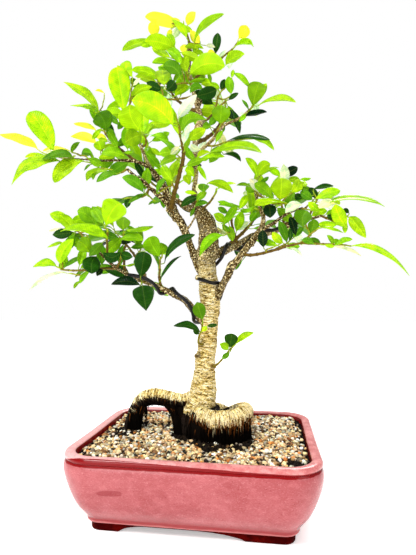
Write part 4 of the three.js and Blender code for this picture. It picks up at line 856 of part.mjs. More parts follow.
      [134.3, 70.2, 354.8, 139.5, 73.8, 353.7, 158.1, 86.2, 351, 173.4, 97.7, 339.1, 0.536, -0.835, -0.12, 21.1],
      [136.7, 71.8, 357.8, 141.5, 75, 358.7, 157.1, 85.2, 360.2, 171.8, 95.2, 354.4, 0.55, -0.834, -0.051, 18.5],
      [98, 46.4, 321.2, 103.7, 58.4, 316.4, 113.8, 56.4, 307.2, 119.8, 58.4, 295.3, -0.787, 0.133, -0.602, 10.4],
      [95.9, 65.2, 335.5, 100, 73.2, 345.1, 105.7, 71.2, 356.6, 111.3, 73.2, 368.2, 0.898, 0.057, -0.436, 14.4],
      [142.7, 75.8, 366.9, 135.8, 79.8, 369.9, 127, 79.9, 373.1, 118.2, 83.6, 375.8, 0.254, -0.258, 0.932, 8],
    ],
  },
  back_left_low_shoot: {
    twigs: [
      [[-58.49, -22, 246.9, 2.15], [-66.25, -8, 257.31, 1.98], [-76.73, 10, 269.41, 1.82], [-88.91, 28, 282.37, 1.7], [-102.25, 44, 294.65, 1.5], [-113.31, 56, 305.67, 1.33]],
      [[-88.91, 28, 282.37, 1.36], [-88.26, 33.87, 285.08, 1.06], [-87.64, 39.44, 288.38, 0.76], [-87.06, 44.66, 292.21, 0.75], [-86.52, 49.52, 296.49, 0.75]],
      [[-113.31, 56, 305.67, 1.07], [-118.09, 58.73, 309.13, 0.83], [-122.56, 61.28, 313.11, 0.75], [-126.7, 63.65, 317.52, 0.75], [-130.52, 65.83, 322.3, 0.75]],
    ],
    leaves: [
      [-87.9, 37.1, 287, -89.1, 43.1, 285.2, -92.8, 56.4, 277.7, -94.2, 66.9, 266.1, 0.9, 0.372, 0.227, 14.3],
      [-87.7, 39.2, 288.2, -89.7, 39.9, 293.6, -96, 41.3, 312.1, -108.3, 46.6, 326.4, 0.491, 0.865, 0.102, 18.1],
      [-87.4, 41.2, 289.6, -82, 47.4, 290.6, -68.8, 61.6, 291.5, -56.9, 76, 286.7, 0.728, -0.662, -0.176, 17.8],
      [-87.2, 43.1, 291.1, -87.9, 50.3, 290.2, -90.6, 69.1, 287.2, -91.4, 86, 278, 0.961, 0.169, 0.218, 18.6],
      [-87, 45, 292.5, -92, 47.6, 298.8, -104.9, 53.5, 312.4, -119.6, 62.1, 322.3, 0.605, 0.758, 0.244, 18.1],
      [-86.8, 46.8, 294.1, -86.5, 52.6, 295.5, -84.6, 74.5, 296.3, -84, 96, 291.2, 0.973, -0.076, -0.217, 18.7],
      [-120.6, 60.2, 311.4, -128.7, 60.8, 309.3, -144.6, 61.7, 303.2, -158.3, 62.9, 293.3, 0.021, 0.995, 0.096, 16.7],
      [-122.1, 61, 312.7, -123.1, 69.4, 312.9, -124.9, 86.1, 311.4, -127.2, 102, 306.5, 0.984, 0.094, -0.153, 14.7],
      [-123.4, 61.8, 314, -130.6, 62.4, 314.3, -152.8, 65.2, 313.9, -174.3, 66, 307.6, 0.126, 0.941, -0.314, 22.7],
      [-124.8, 62.6, 315.5, -129.8, 58.3, 319.3, -144.6, 45.9, 323.8, -159.8, 33.3, 323, -0.64, 0.768, 0.011, 17.1],
      [-126.1, 63.3, 316.9, -131.7, 66.5, 317.8, -151, 77.6, 320.2, -169.5, 87.5, 312.3, 0.495, 0.866, -0.07, 18.7],
      [-127.4, 64.1, 318.4, -130, 60.4, 326.1, -136.8, 51.2, 340.1, -145, 38.9, 350.7, -0.861, 0.501, -0.089, 17.6],
      [-128.7, 64.8, 320, -129.1, 70, 321.8, -130.5, 86.2, 323, -131.5, 102.2, 320.2, 0.989, 0.081, 0.125, 14.1],
      [-129.9, 65.5, 321.5, -136.1, 68.6, 326.2, -149.4, 76.1, 331.2, -164.1, 82.5, 329.8, 0.409, 0.881, -0.237, 16.4],
      [-87.1, 44.7, 292.2, -78.8, 41.7, 291.8, -63.2, 39.7, 292.5, -48.7, 41.7, 291.7, -0.003, 0.12, -0.993, 16.4],
      [-61.1, -17.3, 250.4, -60.7, -5.3, 248.2, -48.8, -4.3, 240.8, -39, 0.2, 231.8, -0.576, -0.13, -0.807, 10.5],
      [-113.3, 56, 305.7, -115.3, 60, 301.8, -119.7, 60.6, 288.1, -120.6, 64.7, 274.1, -0.955, 0.2, 0.217, 11.8],
      [-87.1, 44.7, 292.2, -86.5, 41.7, 297.5, -85.3, 38.7, 309.6, -87.1, 37.6, 321.8, 0.533, 0.832, 0.152, 10.2],
    ],
  },
};
// Route of the training wire, as [x, y, z].
const WIRE = [
  [-76.96, -29.15, 255], [-71.62, -28.19, 254.47], [-66.3, -27.68, 253.38], [-61.06, -27.87, 251.83], [-56.01, -28.29, 249.82], [-51.34, -28.45, 247.02], [-47.46, -27.85, 243.25], [-44.92, -26.23, 238.73], [-43.4, -22.73, 234.93], [-41.12, -17.91, 234.25], [-37.3, -14.74, 236.29], [-32.84, -15.18, 239.23], [-29.02, -18.88, 240.02], [-26.21, -22.64, 237.35], [-22.66, -24.96, 233.97], [-18.37, -25.75, 230.72], [-14.22, -25.24, 227.25], [-10.79, -23.85, 223.25], [-8.32, -21.96, 218.78], [-6.78, -19.75, 214.03], [-6.1, -17.19, 209.27], [-6.31, -14.08, 204.81], [-5.76, -9.32, 202.36], [-4.59, -4.1, 201.26], [-2.97, 1.09, 200.84], [-0.19, 5.63, 201.84], [3.4, 8.72, 204.47], [6.99, 10.48, 208.16], [10.21, 11.26, 212.49], [16.01, 10.63, 221.69], [18.97, 9.25, 226.06], [21.54, 6.92, 230.26], [23.12, 3.56, 234.24], [23.83, -0.45, 237.88], [23.89, -4.55, 241.47], [22.76, -8.17, 245.37], [20.39, -12.76, 246.58], [16.52, -16.35, 245.99], [11.49, -18.03, 247.15], [6.31, -17.77, 248.78], [1.49, -15.66, 250.15], [-2.23, -11.84, 251.19], [-4.16, -6.86, 252.21], [-4.5, -1.57, 253.46], [-3.09, 3.29, 255.34], [0.25, 6.63, 257.96], [4.64, 7.92, 260.89], [9.31, 7.84, 263.72], [13.83, 6.4, 266.39], [20.86, 0.3, 272.06], [24.05, -2.33, 275.61], [26.43, -3.35, 280.38], [28.24, -2.42, 285.42], [29.43, 0.46, 289.87], [30.43, 4.94, 292.72], [32.27, 10.04, 292.61], [35.61, 13.26, 289.89], [40.01, 12.89, 286.79], [44.12, 9.51, 286.18], [47.85, 6.16, 288.24], [51.68, 4.74, 291.8], [55.31, 4.94, 295.85], [62.4, 6.77, 303.96], [66.39, 8.64, 307.14], [71.37, 10.05, 308.64], [82.2, 9.13, 308.21], [87.43, 9.48, 309.57], [92.17, 10.18, 312.18],
];

// ---------------------------------------------------------------- helpers
const V = (a) => new THREE.Vector3(a[0], a[1], a[2]);

function geometry(points, tris) {
  const g = new THREE.BufferGeometry();
  g.setAttribute("position", new THREE.Float32BufferAttribute(points.flat(), 3));
  g.setIndex(tris.flat());
  return g;
}

// A closed three.js geometry as a solid that can be cut and joined.
function solid(g) {
  const bare = new THREE.BufferGeometry();
  bare.setAttribute("position", g.getAttribute("position"));
  if (g.index) bare.setIndex(g.index);
  const m = mergeVertices(bare, 1e-4);
  const make = (flip) => {
    const triVerts = new Uint32Array(m.index.array);
    if (flip)
      for (let i = 0; i < triVerts.length; i += 3)
        [triVerts[i + 1], triVerts[i + 2]] = [triVerts[i + 2], triVerts[i + 1]];
    return new wasm.Manifold(
      new wasm.Mesh({
        numProp: 3,
        vertProperties: new Float32Array(m.attributes.position.array),
        triVerts,
      }),
    );
  };
  const s = make(false);
  return s.volume() < 0 ? make(true) : s;
}

const join = (list) => list.reduce((a, b) => (a ? a.add(b) : b), null);

// The largest body of a solid: crumbs cut off by a neighbour are dropped.
function largest(s) {
  const bodies = s.decompose();
  return bodies.reduce((a, b) => (b.volume() > a.volume() ? b : a));
}

// Clears the short edges that joining leaves behind: an edge is collapsed into one of its ends
// where the surface around it stays closed, keeps its side and moves by less than `slack`.
function tidy(s, short, slack) {
  const src = s.getMesh();
  const p = [];
  for (let i = 0; i < src.numVert; i++)
    p.push(new THREE.Vector3(...src.vertProperties.subarray(i * src.numProp, i * src.numProp + 3)));
  const tris = [];
  for (let i = 0; i < src.triVerts.length; i += 3) tris.push([...src.triVerts.subarray(i, i + 3)]);
  const around = p.map(() => new Set());
  tris.forEach((t, i) => t.forEach((v) => around[v].add(i)));
  const ring = (v) => {
    const out = new Set();
    for (const i of around[v]) for (const w of tris[i]) if (w !== v) out.add(w);
    return out;
  };
  const normal = (a, b, c) => b.clone().sub(a).cross(c.clone().sub(a));
  const planes = p.map((_, v) =>
    [...around[v]].map((i) => {
      const n = normal(...tris[i].map((w) => p[w]));
      const area = n.length();
      n.normalize();
      return [n, -n.dot(p[v]), area];
    }),
  );
  const off = (v, q) => Math.max(0, ...planes[v].filter((e) => e[2] > 0.02).map(([n, d]) => Math.abs(n.dot(q) + d)));
  const tryCollapse = (from, to) => {
    const shared = [...around[from]].filter((i) => around[to].has(i));
    if (shared.length !== 2) return false;
    const a = ring(from);
    const b = ring(to);
    if ([...a].filter((w) => b.has(w)).length !== 2) return false;
    for (const i of around[from]) {
      if (shared.includes(i)) continue;
      const old = tris[i].map((w) => p[w]);
      const now = tris[i].map((w) => (w === from ? p[to] : p[w]));
      const n0 = normal(...old);
      const n1 = normal(...now);
      if (n1.length() < 0.01) return false;
      if (n0.length() > 0.02 && n0.normalize().dot(n1.normalize()) < 0.35) return false;
    }
    for (const i of shared) {
      for (const w of tris[i]) around[w].delete(i);
      tris[i] = null;
    }
    for (const i of around[from]) {
      tris[i] = tris[i].map((w) => (w === from ? to : w));
      around[to].add(i);
    }
    around[from].clear();
    planes[to].push(...planes[from]);
    return true;
  };
  for (let pass = 0, changed = true; changed && pass < 8; pass++) {
    changed = false;
    const edges = [];
    tris.forEach((t) => {
      if (!t) return;
      for (let k = 0; k < 3; k++) {
        const [a, b] = [t[k], t[(k + 1) % 3]];
        if (a < b) edges.push([p[a].distanceTo(p[b]), a, b]);
      }
    });
    edges.sort((x, y) => x[0] - y[0]);
    for (const [length, a, b] of edges) {
      if (!around[a].size || !around[b].size || ![...around[a]].some((i) => around[b].has(i))) continue;
      const ways = [
        [off(a, p[b]), a, b],
        [off(b, p[a]), b, a],
      ].sort((x, y) => x[0] - y[0]);
      for (const [moved, from, to] of ways) {
        if (moved > (length < short ? slack : slack / 6)) break;
        if (tryCollapse(from, to)) {
          changed = true;
          break;
        }
      }
    }
  }
  const map = new Map();
  const points = [];
  const kept = tris.filter(Boolean).map((t) =>
    t.map((w) => {
      if (!map.has(w)) map.set(w, points.push(p[w].toArray()) - 1);
      return map.get(w);
    }),
  );
  try {
    const out = solid(geometry(points, kept));
    const ratio = out.volume() / s.volume();
    return out.decompose().length === 1 && ratio > 0.93 && ratio < 1.07 ? out : s;
  } catch {
    return s;
  }
}

// A round tube of changing radius along a centreline.
function tube(line, sides, grow = 0, lengthen = 0) {
  const p = line.map(V);
  const n = p.length;
  const t = p.map((q, i) =>
    p[Math.min(n - 1, i + 1)].clone().sub(p[Math.max(0, i - 1)]).normalize(),
  );
  if (lengthen) {
    p[0].addScaledVector(t[0], -lengthen);
    p[n - 1].addScaledVector(t[n - 1], lengthen);
  }
  let a = new THREE.Vector3(0.31, 0.87, 0.38);
  a.addScaledVector(t[0], -a.dot(t[0])).normalize();
  const points = [];
  for (let i = 0; i < n; i++) {
    a.addScaledVector(t[i], -a.dot(t[i])).normalize();
    const b = t[i].clone().cross(a);
    const r = line[i][3] + grow;
    for (let k = 0; k < sides; k++) {
      const w = (2 * Math.PI * k) / sides;
      const q = p[i]
        .clone()
        .addScaledVector(a, r * Math.cos(w))
        .addScaledVector(b, r * Math.sin(w));
      points.push([q.x, q.y, q.z]);
    }
  }
  const tris = [];
  for (let i = 0; i < n - 1; i++)
    for (let k = 0; k < sides; k++) {
      const k2 = (k + 1) % sides;
      const [c, d, e, f] = [i * sides + k, i * sides + k2, (i + 1) * sides + k, (i + 1) * sides + k2];
      tris.push([c, d, f], [c, f, e]);
    }
  for (let k = 1; k < sides - 1; k++) {
    tris.push([0, k + 1, k]);
    const e = (n - 1) * sides;
    tris.push([e, e + k, e + k + 1]);
  }
  return solid(geometry(points, tris));
}

// One leaf: a stalk that widens into an arched blade with a keeled underside. Small blades
// have one cross-section between base and tip, large ones two or three.
function leaf(d) {
  const [A, B, M, T, S] = [0, 3, 6, 9, 12].map((i) => V(d.slice(i, i + 3)));
  const w = d[15];
  const C = M.clone().multiplyScalar(2).addScaledVector(B, -0.5).addScaledVector(T, -0.5);
  const at = (t) =>
    B.clone()
      .multiplyScalar((1 - t) ** 2)
      .addScaledVector(C, 2 * t * (1 - t))
      .addScaledVector(T, t * t);
  const points = [];
  const section = (P, along, half, lift, keel) => {
    const side = S.clone().addScaledVector(along, -S.dot(along)).normalize();
    const up = side.clone().cross(along).normalize();
    points.push(
      P.clone().addScaledVector(side, -half).addScaledVector(up, lift).toArray(),
      P.clone().addScaledVector(side, half).addScaledVector(up, lift).toArray(),
      P.clone().addScaledVector(up, -keel).toArray(),
    );
  };
  const stalk = B.clone().sub(A);
  const long = stalk.length();
  stalk.normalize();
  const axis = at(0.02).sub(B).normalize();
  if (stalk.dot(axis) < 0.5 && !d.blade) {
    // The blade turns away from its stalk: a straight stalk is joined to it.
    const back = B.clone().addScaledVector(axis, -1.4);
    const blade = [...back.toArray(), ...d.slice(3)];
    blade.blade = true;
    const from = A.clone().addScaledVector(stalk, -0.35);
    const to = B.clone().addScaledVector(stalk, 0.5);
    return join([tube([[...from, STALK_R], [...to, STALK_R]], 3), leaf(blade)]);
  }
  // The stalk's foot is an edge across the twig, a little past its middle.
  const foot = A.clone().addScaledVector(stalk, d.blade ? 0 : -0.35);
  const across = S.clone().addScaledVector(stalk, -S.dot(stalk)).normalize();
  points.push(
    foot.clone().addScaledVector(across, -STALK_R).toArray(),
    foot.clone().addScaledVector(across, STALK_R).toArray(),
  );
  if (long > STALK_PLAIN) section(B, at(0.05).sub(B).normalize(), STALK_R * 0.9, STALK_R * 0.5, STALK_R * 0.9);
  const stations =
    w < 13 ? [[0.5, 1]] : w < 27 ? [[0.3, 0.88], [0.7, 0.9]] : [[0.22, 0.74], [0.5, 1], [0.8, 0.76]];
  for (const [t, share] of stations)
    section(at(t), at(t + 0.02).sub(at(t - 0.02)).normalize(), (share * w) / 2, 0.2 + 0.035 * w, LEAF_T);
  const tip = points.push(T.toArray()) - 1;
  const rings = (points.length - 3) / 3;
  // foot edge 0-1 to the first section 2-3-4
  const tris = [[0, 3, 2], [0, 1, 3], [1, 4, 3], [0, 4, 1], [0, 2, 4]];
  for (let i = 0; i < rings - 1; i++)
    for (let k = 0; k < 3; k++) {
      const k2 = (k + 1) % 3;
      const [a, b, c, e] = [2 + 3 * i + k, 2 + 3 * i + k2, 5 + 3 * i + k2, 5 + 3 * i + k];
      tris.push([a, b, c], [a, c, e]);
    }
  for (let k = 0; k < 3; k++) tris.push([3 * rings - 1 + k, 3 * rings - 1 + ((k + 1) % 3), tip]);
  return solid(geometry(points, tris));
}

// A rounded rectangle of half sizes hx, hy at height z.
const CORNER_STEPS = 4;
function ring(hx, hy, r, z) {
  const out = [];
  for (const [sx, sy, from] of [
    [1, 1, 0],
    [-1, 1, 90],
    [-1, -1, 180],
    [1, -1, 270],
  ])
    for (let k = 0; k <= CORNER_STEPS; k++) {
      const w = THREE.MathUtils.degToRad(from + (90 * k) / CORNER_STEPS);
      out.push([sx * (hx - r) + r * Math.cos(w), sy * (hy - r) + r * Math.sin(w), z]);
    }
  return out;
}

// A closed body from rings, each joined to the next, closed by a fan at each end.
function loft(rings, zFirst, zLast) {
  const n = rings[0].length;
  const points = rings.flat();
  const first = points.push([0, 0, zFirst]) - 1;
  const last = points.push([0, 0, zLast]) - 1;
  const tris = [];
  for (let i = 0; i < rings.length - 1; i++)
    for (let k = 0; k < n; k++) {
      const k2 = (k + 1) % n;
      tris.push([i * n + k, i * n + k2, (i + 1) * n + k2], [i * n + k, (i + 1) * n + k2, (i + 1) * n + k]);
    }
  const e = (rings.length - 1) * n;
  for (let k = 0; k < n; k++) {
    const k2 = (k + 1) % n;
    tris.push([first, k2, k], [last, e + k, e + k2]);
  }
  return solid(geometry(points, tris));
}

function box(x, y, z, cx, cy, cz) {
  return solid(new THREE.BoxGeometry(x, y, z).translate(cx, cy, cz));
}

// An outline in X and Z pushed through along Y, or in Y and Z pushed through along X.
function through(outline, depth, alongX) {
  const shape = new THREE.Shape(outline.map(([a, b]) => new THREE.Vector2(a, b)));
  const g = new THREE.ExtrudeGeometry(shape, { depth, bevelEnabled: false });
  g.translate(0, 0, -depth / 2).rotateX(Math.PI / 2);
  if (alongX) g.rotateZ(Math.PI / 2);
  return solid(g);
}

// A column of an outline in X and Y, scaled about a point at each height.
function column(outline, centre, levels) {
  const n = outline.length;
  const points = levels.flatMap(([z, s]) =>
    outline.map(([x, y]) => [centre[0] + (x - centre[0]) * s, centre[1] + (y - centre[1]) * s, z]),
  );
  const tris = [];
  for (let i = 0; i < levels.length - 1; i++)
    for (let k = 0; k < n; k++) {
      const k2 = (k + 1) % n;
      tris.push([i * n + k, i * n + k2, (i + 1) * n + k2], [i * n + k, (i + 1) * n + k2, (i + 1) * n + k]);
    }
  for (const [l, flip] of [
    [0, true],
    [levels.length - 1, false],
  ]) {
    const c = points.push([centre[0], centre[1], levels[l][0]]) - 1;
    for (let k = 0; k < n; k++) {
      const k2 = (k + 1) % n;
      tris.push(flip ? [c, l * n + k2, l * n + k] : [c, l * n + k, l * n + k2]);
    }
  }
  return solid(geometry(points, tris));
}

// ---------------------------------------------------------------- pot
const HX = POT_W / 2;
const HY = POT_D / 2;
// [inset from the rim, height] up the outside, over the lip and down the inside
const OUTSIDE = [
  [25.8, 0],
  [25.8, FOOT_H],
  [22.2, FOOT_H + 0.5],
  [21.4, 11],
  [21.8, 13],
  [17.4, 18],
  [11.4, 26],
  [6.4, 36],
  [2.4, 47],
  [-0.2, 57],
  [-0.9, 64],
  [-0.2, 69.5],
  [0.5, 71.4],
  [0, 73],
  [0, 75.2],
  [1.2, 77.3],
  [3.8, POT_H],
  [7.6, POT_H],
  [9.8, 77],
  [10.3, 74.5],
  [10.8, 60],
  [14, 40],
  [24, 22],
  [35, FLOOR_Z],
];
const corner = (inset) => Math.max(6, RIM_CORNER - 0.86 * Math.max(0, inset));
const potRings = [
  ring(HX - 35.5, HY - 35.5, 6, FOOT_RECESS),
  ring(HX - 35.5, HY - 35.5, 6, 0),
  ...OUTSIDE.map(([i, z]) => ring(HX - i, HY - i, corner(i), z)),
];
let pot = loft(potRings, FOOT_RECESS, FLOOR_Z);
pot = pot.subtract(
  through(
    [
      [-70, -1],
      [-68, 1.5],
      [-60, 4.6],
      [-45, ARCH_H],
      [8, ARCH_H],
      [34, 4.8],
      [50, 2],
      [56, -1],
    ],
    260,
    false,
  ),
);
pot = pot.subtract(
  through(
    [
      [-46, -1],
      [-42, 2.5],
      [-30, ARCH_H],
      [30, ARCH_H],
      [42, 2.5],
      [46, -1],
    ],
    300,
    true,
  ),
);
for (const s of [-1, 1])
  pot = pot.subtract(
    solid(new THREE.CylinderGeometry(DRAIN_R, DRAIN_R, 30, 20).rotateX(Math.PI / 2).translate(s * DRAIN_X, 0, 12)),
  );

// ---------------------------------------------------------------- tree
const SIDES = (r) => (r > 8 ? 8 : r > 4 ? 6 : r > 2.6 ? 5 : r > 1.9 ? 4 : 3);
const lines = [...Object.values(ROOTS), ...Object.values(WOOD)];
const widest = (line) => Math.max(...line.map((p) => p[3]));
// Mass of fine rootlets that hangs from the coil of roots into the soil.
const ROOTLETS = [[-34, 0], [-27, -14], [-17, -25], [-4, -34], [12, -41], [28, -43.5], [42, -41], [54, -31], [59.5, -14], [56, 3], [45, 16], [30, 19], [12, 20], [-6, 20], [-24, 14]];
const rootlets = (grow) =>
  column(ROOTLETS, [14, -12], [
    [58 - grow, 0.8 + grow / 40],
    [74, 0.96 + grow / 40],
    [97 + grow, 0.99 + grow / 40],
  ]);
const tree = largest(join([...lines.map((l) => tube(l, SIDES(widest(l)))), rootlets(0)]));
const aroundTree = join([...lines.map((l) => tube(l, SIDES(widest(l)), GAP + 0.12, 0.4)), rootlets(GAP + 0.12)]);

// ---------------------------------------------------------------- wire
const wire = tube(WIRE.map((p) => [...p, WIRE_R]), 6);
const aroundWire = tube(WIRE.map((p) => [...p, WIRE_R + 0.4]), 6);

// ---------------------------------------------------------------- shoots
const shoots = Object.entries(SHOOTS).map(([name, { twigs, leaves }]) => [
  name,
  tidy(
    largest(
      join([...twigs.map((l) => tube(l, widest(l) > 2 ? 4 : 3, 0, 0.7)), ...leaves.map(leaf)])
        .subtract(aroundTree)
        .subtract(aroundWire),
    ),
    0.9,
    0.32,
  ),
]);

// ---------------------------------------------------------------- soil, gravel, drainage
const inside = (z, extra) => {
  // inset of the pot's inner wall at height z
  const wall = OUTSIDE.slice(18);
  for (let i = 0; i < wall.length - 1; i++) {
    const [a, za] = wall[i];
    const [b, zb] = wall[i + 1];
    if (z <= za && z >= zb) return a + ((b - a) * (za - z)) / (za - zb) + extra;
  }
  return wall[wall.length - 1][0] + extra;
};
const wallRing = (z, extra = 0.5) => {
  const i = inside(z, extra);
  return ring(HX - i, HY - i, corner(i), z);
};
let soil = loft(
  [wallRing(FLOOR_Z + GAP, 2), wallRing(22, 0.8), wallRing(30, 0.8), wallRing(40, 0.7), wallRing(50), wallRing(60), wallRing(SOIL_Z)],
  FLOOR_Z + GAP,
  SOIL_Z,
);
const meshes = [-1, 1].map((s) => box(MESH_SIZE, MESH_SIZE, MESH_T, s * DRAIN_X, 0, FLOOR_Z + GAP + MESH_T / 2));
for (const s of [-1, 1])
  soil = soil.subtract(
    box(MESH_SIZE + 2 * GAP, MESH_SIZE + 2 * GAP, MESH_T + 2 * GAP, s * DRAIN_X, 0, FLOOR_Z + GAP + MESH_T / 2),
  );
soil = largest(soil.subtract(aroundTree));
const gravelRing = (inset, z) => ring(HX - inset, HY - inset, corner(inset), z);
let gravel = loft(
  [wallRing(SOIL_Z + GAP), wallRing(GRAVEL_EDGE_Z, 0.6), gravelRing(20, 74.6), gravelRing(34, 76.2), gravelRing(60, 77.5)],
  SOIL_Z + GAP,
  GRAVEL_TOP_Z,
);
gravel = largest(gravel.subtract(aroundTree));

// ---------------------------------------------------------------- materials and meshes
const MATERIALS = {
  glaze: new THREE.MeshStandardMaterial({ color: 0xdb7f86, roughness: 0.22, metalness: 0 }),
  bark: new THREE.MeshStandardMaterial({ color: 0xcdb98b, roughness: 0.85, metalness: 0 }),
  leaf: new THREE.MeshStandardMaterial({ color: 0x8cc81e, roughness: 0.38, metalness: 0 }),
  wire: new THREE.MeshStandardMaterial({ color: 0x141414, roughness: 0.45, metalness: 0.6 }),
  soil: new THREE.MeshStandardMaterial({ color: 0x2a1d14, roughness: 0.95, metalness: 0 }),
  gravel: new THREE.MeshStandardMaterial({ color: 0xd8c4a4, roughness: 0.8, metalness: 0 }),
  plastic: new THREE.MeshStandardMaterial({ color: 0x202020, roughness: 0.6, metalness: 0 }),
};

const plant = new THREE.Group();
const potGroup = new THREE.Group();
const crown = new THREE.Group();
plant.add(potGroup, crown);

function put(group, name, s, material) {
  const m = s.getMesh();
  const v = new Float32Array(m.numVert * 3);
  for (let i = 0; i < m.numVert; i++)
    v.set(m.vertProperties.subarray(i * m.numProp, i * m.numProp + 3), i * 3);
  const g = new THREE.BufferGeometry();
  g.setAttribute("position", new THREE.BufferAttribute(v, 3));
  g.setIndex(new THREE.BufferAttribute(new Uint32Array(m.triVerts), 1));
  g.computeVertexNormals();
  const mesh = new THREE.Mesh(g, material);
  mesh.name = name;
  group.add(mesh);
}

put(potGroup, "pot", pot, MATERIALS.glaze);
put(potGroup, "soil", soil, MATERIALS.soil);
put(potGroup, "gravel_layer", gravel, MATERIALS.gravel);
put(potGroup, "drainage_mesh_left", meshes[0], MATERIALS.plastic);
put(potGroup, "drainage_mesh_right", meshes[1], MATERIALS.plastic);
put(plant, "trunk_and_roots", tree, MATERIALS.bark);
put(plant, "training_wire", wire, MATERIALS.wire);
for (const [name, s] of shoots) put(crown, name, s, MATERIALS.leaf);

export default plant;
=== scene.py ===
import math
import random

import bpy
import numpy as np
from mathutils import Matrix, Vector, noise


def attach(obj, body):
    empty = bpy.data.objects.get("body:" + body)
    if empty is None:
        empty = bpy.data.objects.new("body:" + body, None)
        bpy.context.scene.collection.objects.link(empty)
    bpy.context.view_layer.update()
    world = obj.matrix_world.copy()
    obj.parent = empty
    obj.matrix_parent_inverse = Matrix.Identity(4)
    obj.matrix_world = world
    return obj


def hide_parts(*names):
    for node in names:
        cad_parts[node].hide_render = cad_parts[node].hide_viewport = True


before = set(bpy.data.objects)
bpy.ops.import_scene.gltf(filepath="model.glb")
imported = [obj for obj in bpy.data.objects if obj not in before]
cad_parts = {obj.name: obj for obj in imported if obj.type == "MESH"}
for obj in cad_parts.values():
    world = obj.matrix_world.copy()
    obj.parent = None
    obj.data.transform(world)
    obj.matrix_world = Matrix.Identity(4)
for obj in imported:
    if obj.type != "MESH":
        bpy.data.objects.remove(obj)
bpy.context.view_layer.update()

MM = 0.001

# ------------------------------------------------------------------ camera, light, floor
cam_data = bpy.data.cameras.new("camera")
cam_data.lens = 27.89
cam_data.sensor_width = 36.0
cam_data.sensor_fit = "AUTO"
cam_data.clip_start = 0.01
cam = bpy.data.objects.new("camera", cam_data)
bpy.context.collection.objects.link(cam)
cam.location = (0.0788, -0.4927, 0.2270)
cam.rotation_euler = (math.radians(93.0), 0.0, math.radians(8.18))
bpy.context.scene.camera = cam
bpy.context.scene.view_settings.view_transform = "Standard"
bpy.context.scene.view_settings.look = "None"

world = bpy.data.worlds.new("studio")
bpy.context.scene.world = world
world.use_nodes = True
wt = world.node_tree
wt.nodes.clear()
w_out = wt.nodes.new("ShaderNodeOutputWorld")
w_bg = wt.nodes.new("ShaderNodeBackground")
w_bg.inputs["Strength"].default_value = 1.0
w_tc = wt.nodes.new("ShaderNodeTexCoord")
w_sep = wt.nodes.new("ShaderNodeSeparateXYZ")
w_ramp = wt.nodes.new("ShaderNodeValToRGB")
w_map = wt.nodes.new("ShaderNodeMapRange")
w_map.inputs["From Min"].default_value = -1.0
w_map.inputs["From Max"].default_value = 1.0
wt.links.new(w_tc.outputs["Generated"], w_sep.inputs["Vector"])
wt.links.new(w_sep.outputs["Z"], w_map.inputs["Value"])
wt.links.new(w_map.outputs["Result"], w_ramp.inputs["Fac"])
e = w_ramp.color_ramp.elements
e[0].position, e[0].color = 0.0, (0.26, 0.26, 0.26, 1)
e[1].position, e[1].color = 1.0, (0.85, 0.85, 0.85, 1)
for at, v in ((0.49, 0.30), (0.52, 0.42), (0.75, 0.62)):
    k = w_ramp.color_ramp.elements.new(at)
    k.color = (v, v, v, 1)
w_lp = wt.nodes.new("ShaderNodeLightPath")
w_mix = wt.nodes.new("ShaderNodeMix")
w_mix.data_type = "RGBA"
w_mix.inputs["B"].default_value = (1.0, 1.0, 1.0, 1)
wt.links.new(w_lp.outputs["Is Camera Ray"], w_mix.inputs["Factor"])
wt.links.new(w_ramp.outputs["Color"], w_mix.inputs["A"])
wt.links.new(w_mix.outputs["Result"], w_bg.inputs["Color"])
wt.links.new(w_bg.outputs["Background"], w_out.inputs["Surface"])


def area_light(name, place, target, size, watts, colour=(1, 1, 1)):
    data = bpy.data.lights.new(name, "AREA")
    data.shape = "DISK"
    data.size = size
    data.energy = watts
    data.color = colour
    ob = bpy.data.objects.new(name, data)
    bpy.context.collection.objects.link(ob)
    ob.location = place
    ob.rotation_euler = (Vector(target) - Vector(place)).to_track_quat("-Z", "Y").to_euler()
    return ob


area_light("key", (-1.0, -1.4, 2.1), (0, 0, 0.25), 0.7, 52)
area_light("fill", (1.6, -1.2, 0.9), (0, 0, 0.2), 1.2, 8)
area_light("front", (-0.5, -1.7, 0.45), (0, 0, 0.25), 0.8, 9)
area_light("back", (0.5, 1.7, 1.7), (0, 0, 0.35), 0.9, 34)


# ------------------------------------------------------------------ numbers
def catmull(line, step):
    """Points of a line [x, y, z, ...] on a smooth curve through them, about step apart."""
    p = np.array(line, float)
    if len(p) == 2:
        n = max(2, int(np.linalg.norm(p[1, :3] - p[0, :3]) / step) + 1)
        f = np.linspace(0, 1, n)[:, None]
        return p[0] * (1 - f) + p[1] * f
    q = np.vstack([2 * p[0] - p[1], p, 2 * p[-1] - p[-2]])
    out = []
    for i in range(1, len(q) - 2):
        a, b, c, d = q[i - 1], q[i], q[i + 1], q[i + 2]
        n = max(1, int(round(np.linalg.norm(c[:3] - b[:3]) / step)))
        t01 = max(1e-6, np.linalg.norm(b[:3] - a[:3])) ** 0.5
        t12 = max(1e-6, np.linalg.norm(c[:3] - b[:3])) ** 0.5
        t23 = max(1e-6, np.linalg.norm(d[:3] - c[:3])) ** 0.5
        m1 = (c - b + t12 * ((b - a) / t01 - (c - a) / (t01 + t12)))
        m2 = (c - b + t12 * ((d - c) / t23 - (d - b) / (t12 + t23)))
        for k in range(n):
            t = k / n
            out.append(
                (2 * t**3 - 3 * t**2 + 1) * b + (t**3 - 2 * t**2 + t) * m1
                + (3 * t**2 - 2 * t**3) * c + (t**3 - t**2) * m2
            )
    out.append(q[-2])
    return np.array(out)


def unit(v):
    return v / np.maximum(1e-9, np.linalg.norm(v, axis=-1, keepdims=True))


